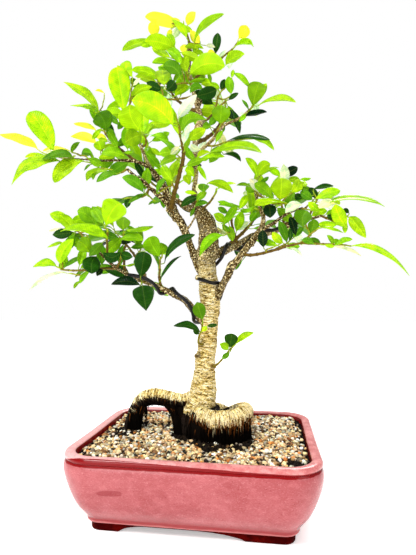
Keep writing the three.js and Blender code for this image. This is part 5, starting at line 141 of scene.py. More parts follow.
def frames(p):
    """Tangents and two turning-free side vectors along a line of points."""
    t = unit(np.gradient(p[:, :3], axis=0))
    a = np.zeros_like(t)
    s = np.array([0.31, 0.87, 0.38])
    for i in range(len(t)):
        s = s - t[i] * (s @ t[i])
        s = s / max(1e-9, np.linalg.norm(s))
        a[i] = s
    return t, a, np.cross(t, a)


def smooth(lo, hi, x):
    f = np.clip((x - lo) / (hi - lo), 0, 1)
    return f * f * (3 - 2 * f)


def noise3(p, scale):
    """Smooth noise in -1..1 at each row of p, in millimetres."""
    s = np.asarray(scale, float)
    return np.array([noise.noise(Vector(v)) for v in (np.asarray(p) * s)])


class Geo:
    """Vertices, faces, material numbers and vector attributes, gathered piece by piece."""

    def __init__(self, *attributes):
        self.v, self.f, self.m = [], [], []
        self.n = 0
        self.a = {k: [] for k in attributes}

    def add(self, v, f, material=0, **attributes):
        self.v.append(np.asarray(v, float))
        self.f.extend([tuple(int(i) + self.n for i in q) for q in f])
        self.m.extend([material] * len(f))
        self.n += len(v)
        for k, store in self.a.items():
            x = attributes.get(k, (0, 0, 0))
            store.append(np.broadcast_to(np.asarray(x, float), (len(v), 3)))

    def mesh(self, name):
        me = bpy.data.meshes.new(name)
        me.from_pydata((np.vstack(self.v) * MM).tolist(), [], self.f)
        me.polygons.foreach_set("material_index", self.m)
        me.polygons.foreach_set("use_smooth", [True] * len(self.f))
        for k, store in self.a.items():
            at = me.attributes.new(k, "FLOAT_VECTOR", "POINT")
            at.data.foreach_set("vector", np.vstack(store).astype(np.float32).ravel())
        me.update()
        return me


def put(name, mesh, materials, nodes):
    ob = bpy.data.objects.new(name, mesh)
    bpy.context.collection.objects.link(ob)
    for m in materials:
        mesh.materials.append(m)
    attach(ob, "root")
    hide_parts(*nodes)
    return ob


def tube(p, r, sides, close=True, squash=None):
    """Vertices and faces of a closed round tube along the points p with radii r."""
    t, a, b = frames(p)
    w = np.linspace(0, 2 * np.pi, sides, endpoint=False)
    r = np.asarray(r, float)
    rr = r[:, None] * (squash if squash is not None else np.ones((len(p), sides)))
    v = (
        p[:, None, :3]
        + a[:, None, :] * (rr * np.cos(w))[:, :, None]
        + b[:, None, :] * (rr * np.sin(w))[:, :, None]
    ).reshape(-1, 3)
    f = []
    n = len(p)
    for i in range(n - 1):
        for k in range(sides):
            k2 = (k + 1) % sides
            f.append((i * sides + k, i * sides + k2, (i + 1) * sides + k2, (i + 1) * sides + k))
    if close:
        f.append(tuple(range(sides - 1, -1, -1)))
        f.append(tuple((n - 1) * sides + k for k in range(sides)))
    return v, f


def rounded(p):
    """The line p with a hemisphere's worth of points at each end, so that the tube ends round."""
    t = unit(np.gradient(p[:, :3], axis=0))
    head, tail = [], []
    for s in (0.995, 0.92, 0.75, 0.42):
        c = math.sqrt(1 - s * s)
        q = p[0].copy()
        q[:3] -= t[0] * p[0, 3] * s
        q[3] = p[0, 3] * c
        head.append(q)
        q = p[-1].copy()
        q[:3] += t[-1] * p[-1, 3] * s
        q[3] = p[-1, 3] * c
        tail.append(q)
    return np.vstack([head, p, tail[::-1]])


# ------------------------------------------------------------------ materials
def srgb(r, g, b):
    out = []
    for c in (r, g, b):
        c /= 255.0
        out.append(c / 12.92 if c <= 0.04045 else ((c + 0.055) / 1.055) ** 2.4)
    return tuple(out) + (1.0,)


class Mat:
    def __init__(self, name):
        self.m = bpy.data.materials.new(name)
        self.m.use_nodes = True
        self.t = self.m.node_tree
        self.t.nodes.clear()
        self.out = self.t.nodes.new("ShaderNodeOutputMaterial")

    def wire(self, socket, value):
        if isinstance(value, bpy.types.NodeSocket):
            self.t.links.new(value, socket)
        elif value is not None:
            if hasattr(socket.default_value, "__len__"):
                value = tuple(value)
                if len(socket.default_value) == 4 and len(value) == 3:
                    value = value + (1.0,)
            socket.default_value = value

    def node(self, kind, inputs=None, **props):
        n = self.t.nodes.new("ShaderNode" + kind)
        for k, v in props.items():
            setattr(n, k, v)
        for k, v in (inputs or {}).items():
            self.wire(n.inputs[k], v)
        return n

    def coords(self):
        tc = self.node("TexCoord")
        return self.node("VectorMath", {0: tc.outputs["Object"], "Scale": 1000.0}, operation="SCALE").outputs[0]

    def attribute(self, name):
        return self.node("Attribute", attribute_name=name, attribute_type="GEOMETRY").outputs["Vector"]

    def scaled(self, vector, s):
        return self.node("VectorMath", {0: vector, 1: s}, operation="MULTIPLY").outputs[0]

    def xyz(self, vector):
        n = self.node("SeparateXYZ", {"Vector": vector})
        return n.outputs[0], n.outputs[1], n.outputs[2]

    def noise(self, vector, scale, detail=3.0, rough=0.55, distortion=0.0):
        n = self.node("TexNoise", {"Vector": vector, "Scale": scale, "Detail": detail, "Roughness": rough, "Distortion": distortion})
        return n.outputs["Fac"]

    def math(self, op, a, b=None, c=None, clamp=False):
        n = self.node("Math", operation=op, use_clamp=clamp)
        self.wire(n.inputs[0], a)
        if b is not None:
            self.wire(n.inputs[1], b)
        if c is not None:
            self.wire(n.inputs[2], c)
        return n.outputs[0]

    def step(self, x, lo, hi, a=0.0, b=1.0):
        n = self.node("MapRange", {"Value": x, "From Min": lo, "From Max": hi, "To Min": a, "To Max": b}, interpolation_type="SMOOTHSTEP")
        return n.outputs["Result"]

    def mix(self, fac, a, b, kind="MIX"):
        n = self.t.nodes.new("ShaderNodeMix")
        n.data_type = "RGBA"
        n.blend_type = kind
        n.clamp_result = False
        self.wire(n.inputs["Factor"], fac)
        self.wire(n.inputs[6], a)
        self.wire(n.inputs[7], b)
        return n.outputs[2]

    def ramp(self, fac, stops, mode="LINEAR"):
        n = self.node("ValToRGB", {"Fac": fac})
        n.color_ramp.interpolation = mode
        el = n.color_ramp.elements
        el[0].position, el[0].color = stops[0][0], tuple(stops[0][1])[:3] + (1,)
        el[1].position, el[1].color = stops[-1][0], tuple(stops[-1][1])[:3] + (1,)
        for at, c in stops[1:-1]:
            k = el.new(at)
            k.color = tuple(c)[:3] + (1,)
        return n.outputs["Color"]

    def bump(self, height, strength, distance, normal=None):
        n = self.node("Bump", {"Height": height, "Strength": strength, "Distance": distance})
        if normal is not None:
            self.wire(n.inputs["Normal"], normal)
        return n.outputs["Normal"]

    def principled(self, **inputs):
        n = self.t.nodes.new("ShaderNodeBsdfPrincipled")
        for k, v in inputs.items():
            self.wire(n.inputs[k.replace("_", " ")], v)
        return n

    def done(self, shader):
        self.t.links.new(shader, self.out.inputs["Surface"])
        return self.m


def make_glaze():
    m = Mat("pot_glaze")
    p = m.coords()
    x, y, z = m.xyz(p)
    red, lip, dark = m.xyz(m.attribute("glaze"))
    big = m.noise(p, 0.022, 2.0)
    body = m.mix(m.step(big, 0.35, 0.68), srgb(156, 72, 75), srgb(170, 88, 91))
    soft = m.noise(m.scaled(p, (1, 1, 1.6)), 0.11, 3.0)
    body = m.mix(m.step(soft, 0.45, 0.75, 0.0, 0.4), body, srgb(190, 108, 110))
    body = m.mix(m.step(soft, 0.42, 0.25, 0.0, 0.4), body, srgb(148, 60, 64))
    fleck = m.noise(m.scaled(p, (1, 1, 2.4)), 0.62, 4.0, 0.65)
    body = m.mix(m.step(fleck, 0.54, 0.66, 0.0, 0.42), body, srgb(204, 132, 134))
    body = m.mix(m.step(fleck, 0.44, 0.32, 0.0, 0.45), body, srgb(136, 46, 50))
    pores = m.node("TexVoronoi", {"Vector": m.scaled(p, (1, 1, 1.7)), "Scale": 0.16, "Randomness": 1.0}, feature="F1").outputs["Distance"]
    body = m.mix(m.step(pores, 0.16, 0.05, 0.0, 0.6), body, srgb(124, 40, 46))
    # above the foot: a darker band, then below it a pale line at the foot's edge
    wob = m.math("MULTIPLY", m.math("SUBTRACT", m.noise(p, 0.045, 2.0), 0.5), 3.2)
    zz = m.math("ADD", z, wob)
    body = m.mix(m.step(zz, 22.0, 13.0, 0.0, 0.8), body, srgb(146, 48, 50))
    body = m.mix(m.step(zz, 11.6, 10.4, 0.0, 0.8), body, srgb(186, 106, 104))
    lipc = m.mix(m.step(soft, 0.35, 0.7), srgb(186, 102, 101), srgb(212, 140, 137))
    # painted highlight: the lip's top is made lighter towards the left, the side the key light comes from
    lipc = m.mix(m.step(x, 50.0, -110.0, 0.0, 0.6), lipc, srgb(236, 184, 184))
    lipc = m.mix(m.step(fleck, 0.47, 0.34, 0.0, 0.5), lipc, srgb(144, 56, 58))
    body = m.mix(lip, body, lipc)
    rub = m.math("ADD", m.xyz(m.attribute("rubbed"))[0], m.math("MULTIPLY", m.math("SUBTRACT", soft, 0.5), 0.5))
    body = m.mix(m.step(rub, 0.30, 0.55, 0.0, 0.62), body, srgb(128, 26, 34))
    edge = m.math("ADD", red, m.math("MULTIPLY", m.math("SUBTRACT", m.noise(m.scaled(p, (1, 1, 2.0)), 0.16, 3.0), 0.5), 0.8))
    body = m.mix(m.step(edge, 0.30, 0.50), body, srgb(122, 0, 4))
    body = m.mix(m.step(dark, 0.25, 0.75), body, m.mix(m.step(soft, 0.35, 0.7), srgb(104, 8, 10), srgb(136, 24, 24)))
    ripple = m.noise(p, 0.05, 2.0)
    h = m.math("ADD", m.math("MULTIPLY", ripple, 1.0), m.math("MULTIPLY", fleck, 0.10))
    s = m.principled(
        Base_Color=body, Roughness=m.step(fleck, 0.3, 0.7, 0.22, 0.14), Normal=m.bump(h, 0.35, 0.0010),
        IOR=1.46,
    )
    s.inputs["Specular IOR Level"].default_value = 0.26
    return m.done(s.outputs[0])


def make_clay():
    m = Mat("pot_bare_clay")
    p = m.coords()
    a = m.noise(p, 0.14, 4.0, 0.6)
    b = m.noise(p, 1.3, 3.0, 0.7)
    c = m.mix(m.step(a, 0.35, 0.68), srgb(50, 0, 0), srgb(80, 2, 0))
    c = m.mix(m.step(b, 0.58, 0.75, 0.0, 0.3), c, srgb(112, 14, 4))
    c = m.mix(m.step(b, 0.42, 0.25, 0.0, 0.6), c, srgb(44, 4, 2))
    s = m.principled(Base_Color=c, Roughness=m.step(b, 0.3, 0.7, 0.78, 0.6), Normal=m.bump(b, 0.5, 0.0006), IOR=1.45)
    s.inputs["Specular IOR Level"].default_value = 0.02
    return m.done(s.outputs[0])


def make_bark():
    m = Mat("bark")
    q = m.attribute("bark")
    tone, marks_and_shade, rad = m.xyz(m.attribute("tone"))
    big = m.noise(q, 0.055, 3.0)
    rings = m.noise(m.scaled(q, (0.34, 0.34, 1.8)), 0.36, 4.0, 0.62, 0.6)
    fine = m.noise(m.scaled(q, (0.8, 0.8, 1.3)), 0.66, 4.0, 0.66)
    fleck = m.noise(q, 0.55, 3.0, 0.6)
    cream = m.mix(m.step(big, 0.36, 0.66), srgb(228, 200, 122), srgb(244, 222, 158))
    tan = m.mix(m.step(big, 0.36, 0.66), srgb(166, 134, 50), srgb(200, 170, 86))
    c = m.mix(m.step(rings, 0.52, 0.43, 0.0, 0.9), cream, tan)
    c = m.mix(m.step(rings, 0.53, 0.60, 0.0, 0.97), c, srgb(255, 242, 204))
    c = m.mix(m.step(rings, 0.44, 0.38, 0.0, 0.95), c, srgb(84, 58, 12))
    c = m.mix(m.step(tone, 0.0, -0.4, 0.0, 0.7), c, m.mix(1.0, c, (1.5, 1.55, 2.0, 1), "MULTIPLY"))
    c = m.mix(m.math("MULTIPLY", m.step(fine, 0.455, 0.40, 0.0, 0.97), m.step(tone, -0.45, -0.05, 0.35, 1.0)), c, srgb(40, 24, 3))
    spots = m.node("TexVoronoi", {"Vector": m.scaled(q, (0.6, 0.6, 1.3)), "Scale": 0.42, "Randomness": 1.0}, feature="F1").outputs["Distance"]
    c = m.mix(m.math("MULTIPLY", m.step(spots, 0.30, 0.12), m.step(fine, 0.36, 0.6)), c, srgb(70, 44, 22))
    dark = m.mix(m.step(fine, 0.45, 0.62), srgb(20, 12, 3), srgb(110, 82, 30))
    dark = m.mix(m.step(fleck, 0.545, 0.62), dark, srgb(238, 218, 160))
    t = m.math("ADD", tone, m.math("MULTIPLY", m.math("SUBTRACT", fine, 0.5), 0.55))
    c = m.mix(m.step(t, 0.12, 0.95), c, dark)
    # dark scars and rootlets, and painted shade in the coil's hollow and under the arch and the coil
    c = m.mix(m.step(m.math("ADD", marks_and_shade, m.math("MULTIPLY", m.math("SUBTRACT", fine, 0.5), 0.9)), 0.35, 0.75), c, srgb(24, 15, 9))
    h = m.math("ADD", m.math("MULTIPLY", rings, 1.0), m.math("MULTIPLY", fine, 0.7))
    s = m.principled(Base_Color=c, Roughness=m.step(fine, 0.3, 0.7, 0.9, 0.68), Normal=m.bump(h, 0.8, 0.0016), IOR=1.4)
    s.inputs["Specular IOR Level"].default_value = 0.15
    return m.done(s.outputs[0])


def make_rootlets():
    m = Mat("rootlets")
    q = m.attribute("tint")
    fine = m.noise(m.coords(), 0.8, 3.0, 0.7)
    c = m.mix(m.step(fine, 0.3, 0.7), m.mix(1.0, q, (0.55, 0.5, 0.45, 1), "MULTIPLY"), q)
    s = m.principled(Base_Color=c, Roughness=0.92, IOR=1.4)
    s.inputs["Specular IOR Level"].default_value = 0.05
    return m.done(s.outputs[0])


def make_stem():
    m = Mat("young_stem")
    q = m.attribute("tint")
    p = m.coords()
    fine = m.noise(m.scaled(p, (1, 1, 1)), 0.9, 3.0, 0.65)
    c = m.mix(m.step(fine, 0.35, 0.62, 0.75, 0.0), q, m.mix(1.0, q, (0.42, 0.36, 0.28, 1), "MULTIPLY"))
    c = m.mix(m.step(fine, 0.6, 0.75, 0.0, 0.5), c, m.mix(1.0, q, (1.5, 1.45, 1.3, 1), "MULTIPLY"))
    s = m.principled(Base_Color=c, Roughness=0.55, Normal=m.bump(fine, 0.5, 0.0005), IOR=1.42)
    s.inputs["Specular IOR Level"].default_value = 0.15
    return m.done(s.outputs[0])


def make_leaf():
    m = Mat("leaf_blade")
    q = m.attribute("tint")
    lu, lv, side = m.xyz(m.attribute("leafuv"))
    p = m.coords()
    av = m.math("ABSOLUTE", lv)
    # side veins leave the midrib at about 55 degrees, slanting towards the tip
    run = m.math("SUBTRACT", lu, m.math("MULTIPLY", av, 0.62))
    wave = m.math("SINE", m.math("MULTIPLY", run, 2.35))
    vein = m.step(wave, 0.72, 0.98)
    mid = m.step(av, 0.75, 0.25)
    cloud = m.noise(p, 0.10, 3.0)
    fine = m.noise(p, 0.75, 3.0, 0.6)
    c = m.mix(m.step(cloud, 0.36, 0.62, 0.75, 0.0), q, m.mix(1.0, q, (0.52, 0.66, 0.5, 1), "MULTIPLY"))
    c = m.mix(m.step(cloud, 0.52, 0.70, 0.0, 0.6), c, m.mix(1.0, q, (1.24, 1.14, 1.1, 1), "MULTIPLY"))
    c = m.mix(m.step(fine, 0.5, 0.75, 0.0, 0.35), c, m.mix(1.0, q, (1.3, 1.2, 1.1, 1), "MULTIPLY"))
    under = m.mix(0.5, c, m.mix(1.0, q, (1.25, 1.15, 1.6, 1), "MULTIPLY"))
    c = m.mix(side, under, c)
    veinc = m.mix(0.07, m.mix(1.0, c, (1.7, 1.4, 1.2, 1), "MULTIPLY"), srgb(214, 236, 110))
    c = m.mix(m.math("MULTIPLY", vein, m.step(cloud, 0.35, 0.65, 0.25, 0.6)), c, veinc)
    c = m.mix(m.math("MULTIPLY", mid, m.step(fine, 0.3, 0.7, 0.35, 0.85)), c, veinc)
    h = m.math("SUBTRACT", m.math("MULTIPLY", m.math("ADD", wave, 1.0), 0.35), m.math("MULTIPLY", mid, 0.8))
    s = m.principled(
        Base_Color=c, Roughness=m.step(fine, 0.3, 0.75, 0.26, 0.38), Normal=m.bump(h, 0.35, 0.0006), IOR=1.45,
    )
    s.inputs["Specular IOR Level"].default_value = 0.08
    # the pale W leaves, painted as glare, stay pale in the light passing through them
    through = m.mix(m.step(m.xyz(q)[2], 0.4, 0.8), m.mix(1.0, c, (1.4, 1.2, 0.2, 1), "MULTIPLY"), c)
    tr = m.node("BsdfTranslucent", {"Color": through})
    mixs = m.node("MixShader", {0: 0.3})
    m.t.links.new(s.outputs[0], mixs.inputs[1])
    m.t.links.new(tr.outputs[0], mixs.inputs[2])
    return m.done(mixs.outputs[0])


def make_gravel():
    m = Mat("gravel_stone")
    q = m.attribute("tint")
    p = m.coords()
    fine = m.noise(p, 1.5, 3.0, 0.7)
    c = m.mix(m.step(fine, 0.5, 0.3, 0.0, 0.55), q, m.mix(1.0, q, (0.5, 0.42, 0.34, 1), "MULTIPLY"))
    c = m.mix(m.step(fine, 0.58, 0.72, 0.0, 0.45), c, m.mix(0.5, q, srgb(252, 240, 208)))
    s = m.principled(Base_Color=c, Roughness=m.step(fine, 0.3, 0.7, 0.75, 0.5), Normal=m.bump(fine, 0.5, 0.0004), IOR=1.46)
    s.inputs["Specular IOR Level"].default_value = 0.2
    return m.done(s.outputs[0])


def make_soil():
    m = Mat("soil_humus")
    p = m.coords()
    a = m.noise(p, 0.35, 4.0, 0.7)
    b = m.noise(p, 1.6, 3.0, 0.7)
    c = m.mix(m.step(a, 0.4, 0.62), srgb(12, 8, 4), srgb(38, 26, 15))
    c = m.mix(m.step(b, 0.62, 0.75, 0.0, 0.5), c, srgb(104, 76, 44))
    s = m.principled(Base_Color=c, Roughness=0.95, Normal=m.bump(m.math("ADD", a, b), 0.9, 0.0012), IOR=1.4)
    s.inputs["Specular IOR Level"].default_value = 0.2
    return m.done(s.outputs[0])


def make_plastic():
    m = Mat("mesh_plastic")
    p = m.coords()
    b = m.noise(p, 1.1, 3.0, 0.6)
    c = m.mix(b, srgb(20, 21, 22), srgb(46, 48, 50))
    s = m.principled(Base_Color=c, Roughness=m.step(b, 0.3, 0.7, 0.5, 0.65), Normal=m.bump(b, 0.3, 0.0003), IOR=1.47)
    return m.done(s.outputs[0])


def make_wire():
    m = Mat("anodised_wire")
    p = m.coords()
    b = m.noise(p, 0.5, 3.0, 0.6)
    d = m.noise(p, 2.2, 2.0, 0.6)
    c = m.mix(m.step(b, 0.35, 0.7), srgb(13, 12, 12), srgb(34, 31, 29))
    c = m.mix(m.step(d, 0.66, 0.78, 0.0, 0.6), c, srgb(92, 84, 74))
    s = m.principled(Base_Color=c, Roughness=m.step(b, 0.3, 0.7, 0.34, 0.5), Normal=m.bump(d, 0.25, 0.0002), Metallic=0.65, IOR=1.5)
    return m.done(s.outputs[0])


def make_floor():
    m = Mat("floor")
    n = m.noise(m.coords(), 0.004, 2.0)
    s = m.principled(Base_Color=m.mix(n, (0.93, 0.93, 0.925, 1), (0.96, 0.96, 0.955, 1)), Roughness=0.75)
    s.inputs["Specular IOR Level"].default_value = 0.1
    s.inputs["Emission Color"].default_value = (1, 1, 1, 1)
    s.inputs["Emission Strength"].default_value = 0.36
    return m.done(s.outputs[0])


GLAZE, CLAY, BARK, ROOTLET = make_glaze(), make_clay(), make_bark(), make_rootlets()
STEM, LEAF, GRAVEL, SOIL = make_stem(), make_leaf(), make_gravel(), make_soil()
PLASTIC, WIRE_MAT, FLOOR = make_plastic(), make_wire(), make_floor()

fl = bpy.data.meshes.new("floor")
fl.from_pydata([(-4, -4, 0), (4, -4, 0), (4, 4, 0), (-4, 4, 0)], [], [(0, 1, 2, 3)])
fl.materials.append(FLOOR)
floor = bpy.data.objects.new("floor", fl)
bpy.context.collection.objects.link(floor)
floor.location = (0, 0, -0.0001)

# ------------------------------------------------------------------ pot
HX, HY, RIM_CORNER = 127.0, 101.6, 34.0


def inset_of(x, y):
    """How far inside the rim's outline a point lies."""
    ax, ay = np.abs(x), np.abs(y)
    r = 26.0
    qx, qy = ax - (HX - r), ay - (HY - r)
    outside = np.hypot(np.maximum(qx, 0), np.maximum(qy, 0)) + np.minimum(np.maximum(qx, qy), 0)
    return r - outside


def corner(inset):
    return max(6.0, RIM_CORNER - 0.86 * max(0.0, inset))


def ring(inset, z, cs=18, nx=56, ny=44):
    """A fine rounded rectangle, as (points, is_front_or_back, is_side)."""
    hx, hy, r = HX - inset, HY - inset, corner(inset)
    pts, kind = [], []
    quarter = [(1, 1, 0), (-1, 1, 90), (-1, -1, 180), (1, -1, 270)]
    for i, (sx, sy, start) in enumerate(quarter):
        for k in range(cs + 1):
            w = math.radians(start + 90 * k / cs)
            pts.append((sx * (hx - r) + r * math.cos(w), sy * (hy - r) + r * math.sin(w), z))
            kind.append(0)
        n = nx if i % 2 == 0 else ny
        sx2, sy2, start2 = quarter[(i + 1) % 4]
        w = math.radians(start2)
        end = (sx2 * (hx - r) + r * math.cos(w), sy2 * (hy - r) + r * math.sin(w))
        a = pts[-1]
        for k in range(1, n):
            f = k / n
            pts.append((a[0] + (end[0] - a[0]) * f, a[1] + (end[1] - a[1]) * f, z))
            kind.append(1 if i % 2 == 0 else 2)
    return np.array(pts), np.array(kind)


def profile(points, step):
    q = np.array([(a, 0.0, b, 0.0) for a, b in points])
    c = catmull(q, step)
    return [(v[0], v[2]) for v in c]


FOOT = [(25.8, 0.9), (25.6, 4.5), (25.5, 8.0), (25.0, 8.7)]
BODY = [(22.6, 9.0), (21.6, 10.0), (21.2, 11.6), (21.2, 13.0), (17.4, 18), (11.4, 26), (6.4, 36), (2.4, 47), (-0.2, 57), (-0.9, 64), (-0.3, 69.0), (0.6, 71.2)]
LIP = [(1.1, 71.9), (0.2, 72.7), (-0.2, 74.2), (0.1, 76.0), (1.4, 77.6), (3.8, 78.3), (7.4, 78.1), (9.6, 77.0), (10.5, 74.5)]
INSIDE = [(10.8, 60), (14, 40), (24, 22), (35, 15)]


def arch(v, knots):
    return float(np.interp(v, [k[0] for k in knots], [k[1] for k in knots]))


ARCH_Y = [(-69.2, 0), (-68, 1.5), (-64, 3.4), (-60, 4.6), (-52, 5.9), (-45, 6.4), (8, 6.4), (22, 5.8), (34, 4.8), (44, 3.2), (50, 2), (54.2, 0)]
ARCH_X = [(-44.6, 0), (-42, 2.5), (-36, 5.2), (-30, 6.4), (30, 6.4), (36, 5.2), (42, 2.5), (44.6, 0)]


def raised(pts, kind, z, top):
    """The foot's lower edge, lifted where the openings between the corner feet are."""
    out = pts.copy()
    for i, (x, y, _) in enumerate(pts):
        a = arch(x, ARCH_Y) if kind[i] == 1 else arch(y, ARCH_X) if kind[i] == 2 else 0.0
        a = min(a, top - 0.3)
        out[i, 2] = a + z * (top - a) / top
    return out


rings = []  # (points, material of the faces up to the next ring, kind of surface)
inner_foot, kinds = ring(35.5, 0)
n_ring = len(inner_foot)
for s in (0.2, 0.45, 0.7, 0.9):
    p, _ = ring(35.5, 6.0)
    q = p * np.array([s, s, 1])
    rings.append((q, 1))
rings.append((ring(35.5, 6.0)[0], 1))
rings.append((raised(inner_foot, kinds, 3.0, 6.0), 1))
rings.append((raised(ring(35.2, 0)[0], kinds, 0.5, 6.0), 1))
rings.append((raised(ring(34.6, 0)[0], kinds, 0.0, 8.7), 1))
rings.append((raised(ring(26.8, 0)[0], kinds, 0.0, 8.7), 1))
rings.append((raised(ring(26.1, 0)[0], kinds, 0.25, 8.7), 1))
for inset, z in profile(FOOT, 1.6):
    rings.append((raised(ring(inset, 0)[0], kinds, z, 8.7) if z < 8.69 else ring(inset, z)[0], 1))
glaze_from = len(rings)
for inset, z in profile(BODY, 1.6) + profile(LIP, 0.7) + profile(INSIDE, 3.0):
    rings.append((ring(inset, z)[0], 0))
for s in (0.85, 0.6, 0.35, 0.15):
    p, _ = ring(35.0, 15.0)
    rings.append((p * np.array([s, s, 1]), 0))
P = np.array([r[0] for r in rings])
nr = len(P)
V = P.reshape(-1, 3).copy()
# the wall of a hand-pressed pot is never quite true
lean = noise3(V, 0.017) * 0.45 + noise3(V + 77.0, 0.05) * 0.16
d = unit(V * np.array([1, 1, 0]))
grown = (V[:, 2] > 9.0) & (np.hypot(V[:, 0], V[:, 1]) > 60)
V += d * (lean * smooth(9.0, 20.0, V[:, 2]) * grown)[:, None]
V[:, 2] += np.where(V[:, 2] > 60, noise3(V, 0.03) * 0.3 * smooth(60, 74, V[:, 2]), 0)
c0, c1 = len(V), len(V) + 1
V = np.vstack([V, [[0, 0, 6.0]], [[0, 0, 15.0]]])
F, MI = [], []
for i in range(nr - 1):
    for k in range(n_ring):
        k2 = (k + 1) % n_ring
        F.append((i * n_ring + k, i * n_ring + k2, (i + 1) * n_ring + k2, (i + 1) * n_ring + k))
        MI.append(1 if i < glaze_from - 1 else 0)
for k in range(n_ring):
    k2 = (k + 1) % n_ring
    F.append((c0, k2, k))
    MI.append(1)
    F.append((c1, (nr - 1) * n_ring + k, (nr - 1) * n_ring + k2))
    MI.append(0)
g = Geo()
g.v, g.f, g.m, g.n = [V], F, MI, len(V)
pot_mesh = g.mesh("pot_shell")
pot = put("pot_shell", pot_mesh, [GLAZE, CLAY], ["pot"])
# two drain holes through the floor
cut = Geo()
for s in (-1, 1):
    line = np.array([(s * 48.0, 0, 2.0, 10.0), (s * 48.0, 0, 19.0, 10.0)])
    v, f = tube(line, line[:, 3], 48)
    cut.add(v, f)
cut_ob = bpy.data.objects.new("drill", cut.mesh("drill"))
bpy.context.collection.objects.link(cut_ob)
mod = pot.modifiers.new("holes", "BOOLEAN")
mod.operation = "DIFFERENCE"
mod.solver = "EXACT"
mod.object = cut_ob
bpy.context.view_layer.update()
deps = bpy.context.evaluated_depsgraph_get()
done = bpy.data.meshes.new_from_object(pot.evaluated_get(deps))
pot.modifiers.clear()
pot.data = done
bpy.data.objects.remove(cut_ob)
done.polygons.foreach_set("use_smooth", [True] * len(done.polygons))
done.set_sharp_from_angle(angle=math.radians(50))
# glaze: x the red line under the lip, y the pale lip, z the dark glaze inside
V = np.empty(len(done.vertices) * 3, np.float32)
done.vertices.foreach_get("co", V)
V = V.reshape(-1, 3).astype(float) * 1000
X, Y, Z = V[:, 0], V[:, 1], V[:, 2]
wall_in = np.interp(Z, [18, 26, 36, 47, 57, 64, 69], [17.4, 11.4, 6.4, 2.4, -0.2, -0.9, -0.3])
IN = inset_of(X, Y)
insidef = np.where(Z >= 70, IN > 7.2, (IN > wall_in + 4.0) & (Z > 17))
front = smooth(-60, -90, Y)
top_red = np.interp(X, [-127, -118, -110, -102, -80, -55, -35, -15, 5, 30, 60, 127], [72.4, 73.6, 76.0, 77.5, 77.7, 77.4, 76.9, 76.2, 75.6, 74.9, 74.0, 73.4])
other = 72.8 + 2.2 * np.clip(noise3(V * np.array([1, 1, 0]), 0.02) + 0.1, 0, 1)
high = front * top_red + (1 - front) * other
red = smooth(high + 0.7, high - 0.5, Z) * smooth(69.9, 71.0, Z)
red = np.where(insidef, 0, red)
smudge = 1.1 * np.exp(-(np.abs((X + 71.0) / 12.5) ** 3) - np.abs((Z - 46.6 - 0.05 * (X + 71)) / 2.9) ** 3) * front
smudge += 0.8 * np.exp(-(((X - 71.5) / 1.3) ** 2) - ((Z - 60.5) / 1.7) ** 2) * front
lipf = smooth(71.9, 73.4, Z) * np.where(insidef, smooth(74.6, 76.6, Z), 1)
darkf = np.where(insidef, smooth(77.2, 75.4, Z), 0)
vec = np.stack([np.clip(red, 0, 1), np.clip(lipf - red * 0.7, 0, 1), darkf], 1)
at = done.attributes.new("glaze", "FLOAT_VECTOR", "POINT")
at.data.foreach_set("vector", vec.astype(np.float32).ravel())
at = done.attributes.new("rubbed", "FLOAT_VECTOR", "POINT")
at.data.foreach_set("vector", np.stack([smudge, smudge, smudge], 1).astype(np.float32).ravel())

# ------------------------------------------------------------------ soil and gravel
GRAVEL_TOP = [(0, 72.4), (11, 72.6), (20, 74.6), (34, 76.2), (60, 77.5), (101, 78.0)]


def gravel_top(x, y):
    i = inset_of(x, y)
    return np.interp(i, [k[0] for k in GRAVEL_TOP], [k[1] for k in GRAVEL_TOP])


soil_rings = []
for inset, z in [(36, 15.6), (24.6, 22.2), (19.0, 30), (14.8, 40), (12.6, 50), (11.5, 60), (11.3, 70.0)]:
    soil_rings.append(ring(inset, z, 10, 50, 40)[0])
n_soil = len(soil_rings[0])
base = ring(11.3, 70, 10, 50, 40)[0]
for s in np.linspace(1.0, 0.02, 34):
    p = base * np.array([s, s, 1])
    p[:, 2] = gravel_top(p[:, 0], p[:, 1]) - 1.9
    j = noise3(p, 0.28) * 1.3 + noise3(p + 31, 0.7) * 0.6
    p[:, 2] += j * (1 if s < 0.999 else 0.4)
    p[:, :2] += 0.5 * np.stack([noise3(p + 5, 0.5), noise3(p + 9, 0.5)], 1) * (0 if s > 0.995 else 1)
    soil_rings.append(p)
SV = np.array(soil_rings).reshape(-1, 3)
SF = []
for i in range(len(soil_rings) - 1):
    for k in range(n_soil):
        k2 = (k + 1) % n_soil
        SF.append((i * n_soil + k, i * n_soil + k2, (i + 1) * n_soil + k2, (i + 1) * n_soil + k))
SV = np.vstack([SV, [[0, 0, 15.6]], [[0, 0, 76.0]]])
for k in range(n_soil):
    k2 = (k + 1) % n_soil
    SF.append((len(SV) - 2, k2, k))
    SF.append((len(SV) - 1, (len(soil_rings) - 1) * n_soil + k, (len(soil_rings) - 1) * n_soil + k2))
soil_geo = Geo()
soil_geo.add(SV, SF)


def pebble_shape(rng):
    """A stone of 26 points: a rounded box with knocked corners."""
    v = np.array([(a, b, c) for a in (-1, 0, 1) for b in (-1, 0, 1) for c in (-1, 0, 1) if (a, b, c) != (0, 0, 0)], float)
    key = {tuple(map(int, p)): i for i, p in enumerate(v)}
    f = []
    for axis in range(3):
        for s in (-1, 1):
            u, w = (axis + 1) % 3, (axis + 2) % 3
            for a in (-1, 0):
                for b in (-1, 0):
                    q = []
                    for da, db in ((0, 0), (1, 0), (1, 1), (0, 1)):
                        c = [0, 0, 0]
                        c[axis], c[u], c[w] = s, a + da, b + db
                        q.append(key[tuple(c)])
                    f.append(tuple(q if s > 0 else q[::-1]))
    v = v / np.linalg.norm(v, axis=1, keepdims=True) ** 0.9
    v *= np.array([rng.uniform(0.9, 1.1) for _ in range(len(v) * 3)]).reshape(-1, 3)
    return v, f


rng = random.Random(1971)
SHAPES = [pebble_shape(rng) for _ in range(12)]


